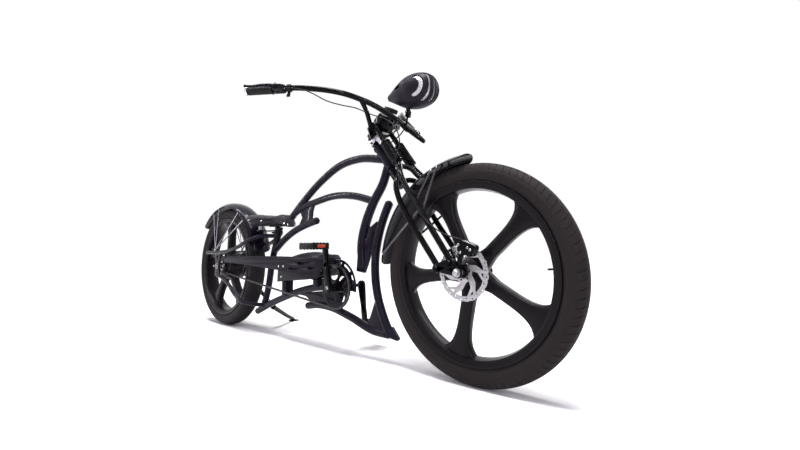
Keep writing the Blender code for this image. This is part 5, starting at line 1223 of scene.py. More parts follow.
@dataclass
class Drive(Assembly):
    """Chain, toothed ring, cranks, pedals and the slotted cover behind the ring."""

    ring_teeth: int = 44
    cog_teeth: int = 16
    plate_half: float = 0.0011
    crank_length: float = 0.172
    crank_inner: float = 0.0870
    crank_thickness: float = 0.0140
    lean: float = math.radians(8)
    pedal_size: Triple = (0.096, 0.084, 0.026)
    pedal_inner: float = 0.108

    def build(self) -> None:
        """Build and dress the drive's pieces."""
        self.chain()
        self.crankset()
        self.cover()
        for side in Side:
            self.pedal(side)

    def pedal_spot(self, side: Side) -> Vector:
        """Return the pedal's axis on the middle plane: the right crank is up, the left down."""
        up = Vector((-math.sin(self.lean), 0, math.cos(self.lean)))
        return BOTTOM_BRACKET + up * self.crank_length * -side.value

    def chain_line(self) -> list[Pair]:
        """Return the closed line of the chain's pins round both toothed wheels."""
        a, b = side_view(BOTTOM_BRACKET), side_view(REAR_AXLE)
        first, second = pitch_radius(self.ring_teeth), pitch_radius(self.cog_teeth)
        distance = math.hypot(b[0] - a[0], b[1] - a[1])
        heading = math.atan2(b[1] - a[1], b[0] - a[0])
        lean = math.acos((first - second) / distance)
        return (arc(a, first, 60, heading + lean, heading - lean + 2 * math.pi)
                + arc(b, second, 30, heading - lean, heading + lean))

    def link(self, name: str, outer: bool) -> bpy.types.Object:
        """Build one link, centred on its middle: two plates, with pins or rollers."""
        half = CHAIN_PITCH / 2
        shape = Shape()
        near = 0.0030 if outer else 0.0018
        for low in (-near - 0.0010, near):
            shape.discs([(-half, 0, 0.0041), (half, 0, 0.0041)], low, low + 0.0010, 0, None, 8)
        reach = 0.0047 if outer else 0.0017
        for x in (-half, half):
            shape.rod((x, -reach, 0), (x, reach, 0), 0.0018 if outer else 0.0036, 8, 0)
        return host_of(name, shape)

    def chain(self) -> None:
        """Lay alternating links along the chain's line."""
        line = self.chain_line()
        length = sum(math.dist(a, b) for a, b in zip(line, line[1:] + line[:1]))
        count = 2 * round(length / CHAIN_PITCH / 2)
        curve = bpy.data.curves.new("chain_line", "CURVE")
        curve.dimensions = "3D"
        add_loop(curve, level(line, CHAIN_LINE))
        mesh = links_on_loop().grow(
            linked("chain_line", curve), CHAIN_STEEL, Inner_Link=self.link("inner_link", False),
            Outer_Link=self.link("outer_link", True), Links=count)
        LOG.info("chain of %d links", count)
        Shape().take_mesh(mesh).piece("drive_chain", "frame", CHAIN_STEEL, ["chain"], 30)

    def crankset(self) -> None:
        """Build the toothed ring with round openings, the spindle and both crank arms."""
        centre = BOTTOM_BRACKET
        openings = [arc(polar(centre, 0.053, math.radians(26) + index * 2 * math.pi / 5), 0.0235,
                        30) for index in range(5)]
        ring = Shape().prism(toothed(centre, self.ring_teeth), CHAIN_LINE - self.plate_half,
                             CHAIN_LINE + self.plate_half, openings, 0.0002)
        ring.lathe([(0, 0.100), (0.0070, 0.100), (0.0075, 0.0993), (0.0075, -0.050),
                    (0.017, -0.050), (0.0172, -0.0520), (0.0172, -0.0905), (0.0165, -0.0925),
                    (0, -0.0925)], centre, SIDEWAYS, 48)
        self.arm(ring, Side.RIGHT)
        ring.piece("toothed_ring_and_crank", "crank", GLOSS, ["crankset"], 35)
        self.arm(Shape(), Side.LEFT).piece("left_crank", "crank", GLOSS, ["crank_arm_left"], 35)
        bolts = Shape()
        for side in Side:
            bolts.head([(0.0030, 0.0006), (0.0062, 0.0010), (0.0072, 0.0), (0.0072, -0.002),
                        (0.0030, -0.002)], side, (centre.x, 0.1008, centre.z), 32)
        bolts.piece("crank_bolts", "crank", PLATED)

    def arm(self, shape: Shape, side: Side) -> Shape:
        """Add one tapering crank arm with a raised boss at each end."""
        pedal, centre = self.pedal_spot(side), BOTTOM_BRACKET
        low, high = side.span(self.crank_inner, self.crank_inner + self.crank_thickness)
        waist = centre.lerp(pedal, 0.55)
        shape.discs([(centre.x, centre.z, 0.0195), (waist.x, waist.z, 0.0120)], low, high, 0.0025)
        shape.discs([(waist.x, waist.z, 0.0120), (pedal.x, pedal.z, 0.0135)], low, high, 0.0025)
        return shape

    def cover(self) -> None:
        """Build the crescent cover behind the ring, with arc slots and its arm."""
        centre = side_view(BOTTOM_BRACKET)
        start, end = math.radians(-8), math.radians(102)
        crescent = arc(centre, 0.116, 60, start, end) + arc(centre, 0.060, 36, end, start)
        slots = []
        for first, last in ((4, 30), (40, 66), (76, 96)):
            first, last = math.radians(first), math.radians(last)
            slots.append(arc(centre, 0.106, 14, first, last) + arc(centre, 0.097, 14, last, first))
        cover = Shape().prism(crescent, -0.0445, -0.0420, slots, 0.0006)
        cover.bar((centre[0] + 0.0125, -0.0433, centre[1] + 0.010),
                  (centre[0] + 0.052, -0.0433, centre[1] + 0.038), 0.022, 0.0024)
        cover.piece("ring_cover", "frame", FENDER, ["guard_disc"], 35)

    def pedal(self, side: Side) -> None:
        """Build one block pedal: side rails, ribs with grip teeth, spindle and reflectors."""
        length, width, depth = self.pedal_size
        spot = self.pedal_spot(side)
        middle = side.of((spot.x, self.pedal_inner + width / 2, spot.z))
        body = Shape()
        for y in (-width / 2 + 0.006, width / 2 - 0.006):
            body.block(middle + SIDEWAYS * y, (length * 0.94, 0.012, depth * 0.98), None, 0.0035)
        for x in (-length / 2 + 0.006, length / 2 - 0.006):
            body.block(middle + Vector((x, 0, 0)), (0.0115, width - 0.002, depth), None, 0.0030)
        body.rod(middle - SIDEWAYS * width * 0.48, middle + SIDEWAYS * width * 0.48, 0.0095, 32)
        for x in (-0.22, 0.22):
            body.block(middle + Vector((x * length, 0, 0)), (0.007, width - 0.01, depth * 0.86),
                       None, 0.0015)
        for x in (-0.45, 0.45):
            for y in (-0.4, -0.2, 0.0, 0.2, 0.4):
                for z in (-1, 1):
                    body.block(middle + Vector((x * length, y * width, z * (depth / 2 + 0.0002))),
                               (0.006, 0.005, 0.003), None, 0.0008)
        body.piece("pedal_block_" + side.label, side.label + "_pedal", PLASTIC,
                   ["pedal_" + side.label], 35)
        spindle = Shape().pin(side, side_view(spot), 0.0875, 0.118, 0.0061)
        spindle.head([(0.0061, 0.005), (0.0085, 0.0047), (0.0085, 0.0), (0.0061, 0.0)], side,
                     (spot.x, 0.1022, spot.z), 6)
        spindle.piece("pedal_spindle_" + side.label, side.label + "_pedal", PLATED)
        lights = Shape()
        for x in (-1, 1):
            lights.block(middle + Vector((x * (length / 2 + 0.0004), 0, 0)),
                         (0.0030, width * 0.46, depth * 0.50), None, 0.0008)
        lights.piece("pedal_reflectors_" + side.label, side.label + "_pedal", AMBER)


# Frame
def level(route: Sequence[Pair], y: float = 0.0) -> list[Triple]:
    """Lift a side-view route of (x, z) pairs to 3-D points at one Y."""
    return [(x, y, z) for x, z in route]


@dataclass
class Frame(Assembly):
    """The frame's tubes, gussets, stays, rear ends and head tube."""

    tube_radius: float = 0.017
    stay_radius: float = 0.0105
    stay_half_spread: float = 0.080

    def build(self) -> None:
        """Build and dress the frame's pieces."""
        self.curved_tubes()
        self.gussets()
        for side in Side:
            self.stays(side)
            self.dropout(side)
        self.head()

    def curved_tubes(self) -> None:
        """Sweep the arched tubes and turn the bottom bracket's shell."""
        flat, dome = Cap.FLAT, Cap.DOME
        radius = self.tube_radius
        routes = {
            "top_tube": ([(-.217, .592), (-.116, .666), (.034, .757), (.170, .810), (.294, .819),
                          (.437, .794)], radius, (dome, flat), None),
            "middle_tube": ([(-.186, .614), (-.136, .635), (-.010, .659), (.130, .674),
                             (.261, .661), (.380, .628)], radius * 0.95, (flat, flat), None),
            "seat_tube": ([(-.330, .528), (-.350, .470), (-.379, .392), (-.419, .224),
                           (-.455, .135)], radius, (flat, flat), None),
            "rear_down_tube": ([(.462, .772), (.429, .694), (.376, .624), (.329, .535),
                                (.308, .452), (.311, .389), (.315, .348)], radius, (flat, dome),
                               lambda share: 1.03 + 0.22 * share),
            "front_down_tube": ([(.469, .622), (.436, .563), (.406, .488), (.386, .390),
                                 (.394, .271), (.433, .166), (.472, .100)], radius, (dome, flat),
                                None),
            "keel_tube": ([(.455, .109), (.383, .112), (.236, .153), (.106, .180), (.020, .183),
                           (-.062, .173)], radius * 0.97, (flat, flat), None),
            "arch_tube": ([(.180, .270), (.028, .264), (-.128, .236), (-.256, .199), (-.395, .153),
                           (-.525, .102)], radius, (flat, dome), None),
        }
        rail = Shape().tube(level([(.009, .572), (-.09, .553), (-.177, .529), (-.27, .488),
                                   (-.355, .435)]), radius, caps=(dome, flat))
        rail.piece("seat_rail_tube", "frame", PAINT)
        for name, (route, size, caps, taper) in routes.items():
            shape = Shape().tube(level(route), size, 0.010, 28, taper, caps)
            if name == "arch_tube":
                shell = [(0, 0.0417), (0.0225, 0.0417), (0.0240, 0.0405), (0.0240, -0.0405),
                         (0.0225, -0.0417), (0, -0.0417)]
                shape.lathe(shell, BOTTOM_BRACKET, SIDEWAYS, 56)
            shape.piece("round_" + name, "frame", PAINT, [name])

    def gussets(self) -> None:
        """Cut the flat gussets that web the tubes."""
        plates = (
            (0.005, [(.332, .118), (.400, .112), (.462, .118), (.440, .165), (.400, .262),
                     (.385, .225), (.360, .165)]),
            (0.008, [(.448, .100), (.505, .092), (.512, .100), (.478, .140)]),
            (0.004, [(-.140, .628), (-.02, .652), (-.035, .615), (-.038, .585), (-.030, .560),
                     (-.190, .535), (-.140, .560), (-.118, .590)]),
            (0.004, [(.335, .533), (.360, .524), (.397, .545), (.391, .490), (.386, .440),
                     (.352, .449), (.312, .430)]),
            (0.007, [(.378, .508), (.367, .475), (.364, .432), (.354, .398), (.340, .366),
                     (.326, .337), (.281, .343), (.285, .393), (.305, .452)]),
            (0.005, [(-.165, .222), (.170, .262), (.200, .255), (.165, .170), (-.060, .178),
                     (-.036, .198), (-.075, .215)]))
        shape = Shape()
        for half, outline in plates:
            shape.prism(outline, -half, half, (), 0.0012)
        shape.piece("frame_gussets", "frame", PAINT)

    def stays(self, side: Side) -> None:
        """Sweep one side's upper and lower stay."""
        upper = [(-1.008, .423, 1), (-.882, .423, 1), (-.728, .431, 1), (-.600, .456, 1),
                 (-.500, .488, .95), (-.430, .507, .62), (-.350, .508, .10)]
        lower = [(-.855, .291, 1), (-.790, .280, 1), (-.703, .243, 1), (-.614, .187, 1),
                 (-.548, .160, .94), (-.490, .151, .62), (-.425, .146, .12)]
        for name, route in (("upper_stay_", upper), ("lower_stay_", lower)):
            points = [side.of((x, self.stay_half_spread * share, z)) for x, z, share in route]
            Shape().tube(points, self.stay_radius, 0.010, 22, None, (Cap.DOME, Cap.FLAT)).piece(
                "round_" + name + side.label, "frame", PAINT, [name + side.label])

    def dropout(self, side: Side) -> None:
        """Cut one rear end with two lightening holes and two bolts."""
        outline = [(-.893, .428), (-.806, .428), (-.815, .400), (-.823, .372), (-.826, .344),
                   (-.824, .316), (-.818, .288), (-.882, .288), (-.877, .316), (-.874, .344),
                   (-.877, .372), (-.884, .400)]
        holes = [arc((-.8498, .397), 0.0085, 24), arc((-.8498, .306), 0.0060, 20)]
        low, high = side.span(0.0763, 0.0837)
        Shape().prism(outline, low, high, holes, 0.0012).piece("rear_end_" + side.label, "frame",
                                                               HARDWARE, ["dropout_" + side.label])
        bolts = Shape()
        for x, z in ((-.872, .415), (-.827, .415), (-.8498, .2945)):
            bolts.pin(side, (x, z), 0.083, 0.0860, 0.0042, 6, 0.0004)
        bolts.piece("rear_end_bolts_" + side.label, "frame", PLATED)

    def head(self) -> None:
        """Turn the head tube with its lips and bearing cups."""
        length = (HEAD_TOP - HEAD_BOTTOM).length
        profile = [(0.0145, length), (0.0200, length), (0.0210, length - 0.001),
                   (0.0210, length - 0.011), (0.0185, length - 0.013), (0.0180, length - 0.020),
                   (0.0180, 0.020), (0.0185, 0.013), (0.0210, 0.011), (0.0210, 0.001),
                   (0.0200, 0), (0.0145, 0)]
        Shape().lathe(profile, HEAD_BOTTOM, HEAD_UP, 56, ring=True).piece(
            "lipped_head_tube", "frame", PAINT, ["head_tube"])


@dataclass(frozen=True)
class FenderForm:
    """Sizes of one fender's curved sheet; its ends are given in degrees round the axle."""

    centre: Vector
    crown: float
    fall: float
    half_width: float
    start: float
    end: float
    nose: float

    THICKNESS = 0.0018
    ROWS = 90
    COLUMNS = 28

    def drop(self, share: float) -> float:
        """Return how far the sheet lies under its crown at a share of the half width."""
        return self.fall * share**2 * (0.6 + 0.4 * share**2)

    def sheet(self) -> Shape:
        """Return the closed sheet: an outer and an inner grid joined by rolled rims."""
        rings = []
        for row in range(self.ROWS + 1):
            share = row / self.ROWS
            turn = math.radians(self.start + (self.end - self.start) * share)
            ends = max(0.0, 1 - min(share, 1 - share) / self.nose)
            half = self.half_width * math.sqrt(max(0.0, 1 - ends**2 * 0.93))
            out = radial(turn)
            outer, inner = [], []
            for column in range(self.COLUMNS + 1):
                across = -1 + 2 * column / self.COLUMNS
                y = half * across
                depth = self.drop(abs(y) / self.half_width)
                base = self.centre + SIDEWAYS * y
                bead = 0.0014 if abs(across) > 0.965 else 0.0
                outer.append(base + out * (self.crown - depth + bead))
                inner.append(base + out * (self.crown - depth - self.THICKNESS - bead * 0.4))
            rings.append(outer + inner[::-1])
        return Shape().rings(rings)


@dataclass
class Fenders(Assembly):
    """Both fenders with their stays."""

    front: FenderForm = FenderForm(FRONT_AXLE, 0.392, 0.018, 0.046, 90.0, 177.5, 0.06)
    rear: FenderForm = FenderForm(REAR_AXLE, 0.378, 0.026, 0.061, 142.0, 12.0, 0.055)

    def build(self) -> None:
        """Build and dress the fenders' pieces."""
        self.front.sheet().piece("front_fender_sheet", "sprung_legs", FENDER, ["front_fender"], 60)
        self.rear.sheet().piece("rear_fender_sheet", "frame", FENDER, ["rear_fender"], 60)
        self.front_stays()
        self.rear_stays()

    @staticmethod
    def rim(form: FenderForm, degrees: float, side: Side) -> Vector:
        """Return a point just inside a fender's lower edge."""
        turn = math.radians(degrees)
        reach = form.crown - form.fall - 0.001
        return form.centre + Vector((reach * math.cos(turn),
                                     (form.half_width - 0.0020) * side.value,
                                     reach * math.sin(turn)))

    def front_stays(self) -> None:
        """Bolt the front fender's flat stays to the spring legs."""
        stays, bolts = Shape(), Shape()
        for side in Side:
            for degrees, x, z in ((111, .662, .594), (107, .690, .555), (171, .680, .569)):
                top, base = self.rim(self.front, degrees, side), side.of((x, 0.0800, z))
                stays.bar(top, base, 0.0085, 0.0024, SIDEWAYS.cross(base - top))
                bolts.rod(base - side.out * 0.003, base + side.out * 0.0035, 0.0048, 6, 0.0005)
                bolts.rod(top - side.out * 0.004, top + side.out * 0.0032, 0.0040, 12, 0.0008)
        stays.piece("front_fender_stays", "sprung_legs", FRONT_STAY)
        bolts.piece("front_fender_stay_bolts", "sprung_legs", PLATED)

    def rear_stays(self) -> None:
        """Fan four flat stays from each rear end to the rear fender, and add its front lug."""
        stays, bolts = Shape(), Shape()
        for side in Side:
            base = side.of((-.883, .0845, .438))
            for degrees in (113, 101, 59.5, 47):
                top = self.rim(self.rear, degrees, side)
                stays.bar(base, top, 0.0070, 0.0024, SIDEWAYS.cross(base - top))
                bolts.rod(top - side.out * 0.004, top + side.out * 0.0034, 0.0042, 12, 0.0008)
            bolts.pin(side, (-.883, .438), .080, .0890, 0.0075, 6)
        stays.piece("rear_fender_stays", "frame", STAY_METAL)
        bolts.piece("rear_fender_stay_bolts", "frame", PLATED)
        Shape().bar((-.492, 0, .470), (-.352, 0, .470), 0.028, 0.010, (0, 1, 0), 0.002).piece(
            "rear_fender_lug", "frame", PAINT)


@dataclass
class PowerCase(Assembly):
    """The battery case under the seat: lid, side panels, lock, screws, charge cover and legs."""

    half_width: float = 0.045

    def build(self) -> None:
        """Build and dress the case's pieces."""
        outline = [(-.265, .276), (.040, .303), (.104, .318), (.126, .345), (.126, .395),
                   (.108, .411), (-.010, .415), (-.215, .395), (-.260, .384)]
        case = Shape().prism(outline, -self.half_width, self.half_width, (), 0.0070)
        for x, foot in ((-.236, .207), (.020, .262)):
            case.block((x, 0, (foot + 0.301) / 2), (.044, .040, 0.301 - foot), None, 0.004)
        case.piece("battery_box", "frame", CASE_PAINT, ["battery_case"], 35)
        panel = [(-.235, .292), (.034, .315), (.092, .327), (.110, .350), (.110, .388),
                 (.098, .399), (-.010, .402), (-.205, .384), (-.238, .376)]
        plates = Shape()
        for side in Side:
            plates.prism(panel, *side.span(self.half_width - 0.001, self.half_width + 0.0016), (),
                         0.0012)
        plates.piece("battery_side_panels", "frame", CASE_PAINT, (), 30)
        self.lid()
        self.fittings()

    def lid(self) -> None:
        """Add the raised, rounded lid along the top."""
        rings = []
        for station in range(25):
            share = station / 24
            x = -.200 + .280 * share
            rise = math.sin(math.pi * share) ** 0.55
            base = .3955 + .0195 * min(1.0, share * 1.35) - 0.010
            ring = []
            for a in around(24):
                wide = blunt(math.cos(a), 0.6) * 0.034 * (0.55 + 0.45 * rise)
                high = blunt(math.sin(a), 0.7)
                lift = high * 0.016 * rise if high > 0 else high * 0.006
                ring.append(Vector((x, wide, base + 0.006 + lift)))
            rings.append(ring)
        Shape().rings(rings).piece("battery_lid", "frame", CASE_PAINT, (), 50)

    def fittings(self) -> None:
        """Add the key lock, the charge cover and the panel screws."""
        metal, rubber = Shape(), Shape()
        metal.lathe([(0.0025, 0.0040), (0.0072, 0.0040), (0.0080, 0.0030), (0.0080, -0.004),
                     (0.0025, -0.004)], (-.150, self.half_width + 0.0016, .345), SIDEWAYS, 32, True)
        metal.bar((-.150, self.half_width + 0.0040, .3425),
                  (-.150, self.half_width + 0.0040, .3475), 0.0012, 0.0022, (1, 0, 0), 0.0002)
        for side in Side:
            for x, z in ((-.222, .303), (-.222, .368), (.096, .342), (.090, .391), (-.060, .388),
                         (-.060, .314)):
                metal.head([(0.0010, 0.0010), (0.0028, 0.0014), (0.0034, 0.0), (0.0034, -0.002),
                            (0.0010, -0.002)], side, (x, self.half_width + 0.0014, z), 16)
        metal.piece("battery_lock_and_screws", "frame", PLATED)
        rubber.discs([(.030, .352, 0.012), (.044, .353, 0.012)], self.half_width - 0.001,
                     self.half_width + 0.0042, 0.0012)
        rubber.piece("charge_cover", "frame", GRIP_RUBBER)


@dataclass
class ChainGuard(Assembly):
    """The long guard plate with four flame-shaped cut-outs of our own layout."""

    thickness: float = 0.0030

    @staticmethod
    def flame(x: float, z: float, length: float, height: float) -> list[Pair]:
        """Return one flame's outline, its root at (x, z) and its tip forward."""
        form = ((0, .1), (.12, -.42), (.38, -.40), (.70, .02), (1, .62), (.66, .36), (.42, .30),
                (.22, .60))
        knots = [(x + length * along, 0, z + height * up) for along, up in form]
        return [(point.x, point.z) for point in smooth_route(knots + knots[:1], 0.006)[:-1]]

    def build(self) -> None:
        """Build and dress the guard's pieces."""
        outline = [(-.775, .397), (-.772, .374), (-.756, .366), (-.58, .360), (-.21, .338),
                   (-.06, .322), (.080, .303), (.118, .312), (.135, .345), (.168, .372),
                   (.172, .394), (-.10, .401)]
        flames = [self.flame(*sizes)
                  for sizes in ((-.115, .345, .105, .016), (-.045, .372, .110, .015),
                                (.005, .327, .085, .014), (.040, .352, .070, .013))]
        plate = Shape().prism(outline, GUARD_LINE - self.thickness / 2,
                              GUARD_LINE + self.thickness / 2, flames, 0.0009)
        for x in (-.190, -.150):
            plate.rod((x, GUARD_LINE + 0.001, .357), (x, -0.0453, .357), 0.0055, 24)
        tab = [(-.782, .392), (-.750, .392), (-.750, .418), (-.756, .424), (-.776, .424),
               (-.782, .418)]
        plate.prism(tab, GUARD_LINE - 0.0035, GUARD_LINE + 0.0005, (), 0.0008)
        plate.piece("guard_plate", "frame", GUARD_PAINT, ["chain_guard"], 30)
        rib = Shape().tube(level([(-.765, .3985), (-.10, .4005), (.168, .3945)],
                                 GUARD_LINE - 0.0012), 0.0024, 0.03, 12)
        rib.piece("guard_rolled_edge", "frame", GUARD_PAINT)
        bolts = Shape()
        for x, z in ((-.766, .408), (-.190, .357), (-.150, .357)):
            bolts.lathe([(0.0018, 0.0026), (0.0034, 0.0030), (0.0052, 0.0012), (0.0052, -0.001),
                         (0.0018, -0.001)], (x, GUARD_LINE - 0.0020, z), -SIDEWAYS, 20, True)
        bolts.piece("guard_bolts", "frame", CHROME)


# Saddle
@dataclass
class Saddle(Assembly):
    """The sprung saddle: padded cover with seams, piping, rivets, post, frame and coils."""

    half_width: float = 0.102
    rows: int = 88
    columns: int = 60
    padding: float = 0.85

    STATIONS = ((-.532, .600, .612, .52), (-.520, .590, .620, .78), (-.490, .578, .627, .96),
                (-.445, .5625, .625, 1), (-.395, .5625, .618, .86), (-.345, .5625, .612, .62),
                (-.305, .5625, .613, .46), (-.276, .5625, .617, .40), (-.254, .556, .612, .37),
                (-.238, .551, .598, .35), (-.222, .549, .574, .30), (-.212, .552, .564, .22))

    def station(self, share: float) -> tuple[float, float, float, float]:
        """Return smoothed (x, low, high, width share) at a share of the saddle's length."""
        reach = share * (len(self.STATIONS) - 1)
        index = min(int(reach), len(self.STATIONS) - 2)
        s = reach - index
        rows = [self.STATIONS[min(max(index + k, 0), len(self.STATIONS) - 1)]
                for k in (-1, 0, 1, 2)]
        return tuple(0.5 * (2 * b + (c - a) * s + (2 * a - 5 * b + 4 * c - d) * s * s
                            + (3 * b - a - 3 * c + d) * s**3) for a, b, c, d in zip(*rows))

    @staticmethod
    def pull(share: float) -> float:
        """Return how far the rounded ends draw the section in, as a factor."""
        return min(1.0, 6.5 * min(share, 1 - share) + 0.30) ** 0.5

    def build(self) -> None:
        """Build and dress the saddle and its post."""
        top = self.cover()
        self.trim()
        self.post()
        self.springs()

    def seam_depth(self, across: float, share: float) -> float:
        """Return how deep the cover's stitched seams pull in at a place."""
        seam = 0.62 - 0.16 * share
        depth = 0.0022 * math.exp(-((abs(across) - seam) / 0.022) ** 2)
        if abs(across) < seam:
            depth += 0.0020 * math.exp(-((share - 0.30 - 0.10 * across**2) / 0.012) ** 2)
        return depth

    def cover(self) -> bpy.types.Object:
        """Loft the padded cover with its seams, soft folds and centre hollow."""
        rings = []
        for row in range(self.rows + 1):
            share = row / self.rows
            x, low, high, wide = self.station(share)
            half, tall = self.half_width * wide, (high - low) / 2
            end = self.pull(share)
            ring = []
            for a in around(self.columns):
                across, rise = math.cos(a), math.sin(a)
                y = half * blunt(across, 0.78) * end
                z = (low + high) / 2 + tall * end * blunt(rise, 0.66)
                if rise > 0:
                    z -= self.seam_depth(across, share)
                    z -= 0.0030 * math.exp(-(across / 0.20) ** 2) * math.sin(math.pi * share)
                    z += 0.0005 * math.sin(31 * x * 6.3 + 9 * y) * math.sin(160 * y) * rise
                ring.append(Vector((x, y, z)))
            rings.append(ring)
        shape = Shape().rings(rings)
        return shape.piece("saddle_cover", "frame", LEATHER, ["saddle"], 75)

    def edge_route(self) -> list[Vector]:
        """Return points round the saddle's widest line, a little outside it."""
        sides = []
        for side in (1, -1):
            line = []
            for row in range(2, self.rows - 1, 3):
                share = row / self.rows
                x, low, high, wide = self.station(share)
                end = self.pull(share)
                line.append(Vector((x, side * (self.half_width * wide * end + 0.0002),
                                    (low + high) / 2 - (high - low) * 0.16)))
            sides.append(line)
        return sides[0] + sides[1][::-1]

    def trim(self) -> None:
        """Add the piping and the bright rivets."""
        Shape().tube(self.edge_route(), 0.0024, 0.02, 10).piece("saddle_piping", "frame",
                                                                GRIP_RUBBER, (), 60)
        rivets = Shape()
        for share, rise in ((0.10, 0.50), (0.24, 0.42), (0.40, 0.42), (0.86, 0.46), (0.95, 0.5)):
            x, low, high, wide = self.station(share)
            end = self.pull(share)
            for side in Side:
                spot = Vector((x, side.value * (self.half_width * wide * end - 0.0012),
                               low + (high - low) * rise))
                rivets.lathe([(0, 0.0040), (0.0026, 0.0036), (0.0044, 0.0022), (0.0050, 0.0004),
                              (0.0050, -0.003), (0, -0.003)], spot, side.out, 20)
        rivets.piece("saddle_rivets", "frame", CHROME, (), 60)

    def post(self) -> None:
        """Build the seat post, its head and the saddle's frame under the cover."""
        low, high = Vector((-.3420, 0, .500)), Vector((-.324, 0, .551))
        shape = Shape().rod(low, high, 0.0188, 40)
        shape.block((-.335, 0, .5592), (.110, .042, .006), None, 0.0015)
        shape.block((-.378, 0, .5365), (.110, .020, .006), None, 0.0015)
        shape.block((-.425, 0, .5365), (.030, .130, .006), None, 0.0015)
        up = (high - low).normalized()
        shape.lathe([(0.0190, 0.010), (0.0225, 0.010), (0.0230, 0.009), (0.0230, -0.009),
                     (0.0225, -0.010), (0.0190, -0.010)], low + up * 0.026, up, 40, True)
        shape.rod(low + up * 0.026 - SIDEWAYS * 0.026 - Vector((.020, 0, 0)),
                  low + up * 0.026 + SIDEWAYS * 0.026 - Vector((.020, 0, 0)), 0.0042, 16)
        shape.piece("saddle_post_and_frame", "frame", HARDWARE, ["seat_post"], 35)

    def springs(self) -> None:
        """Wind the two saddle coils."""
        for side in Side:
            mesh = coil_spring().grow(host_of("saddle_coil"), PLATED, Radius=0.0118,
                                      Wire_Radius=0.0022, Turns=3.6, Height=0.0190)
            place = Matrix.Translation(side.of((-.425, .048, .5418)))
            Shape().take_mesh(mesh, place).piece("saddle_coil_" + side.label, "frame",
                                                 PLATED, (), 60)


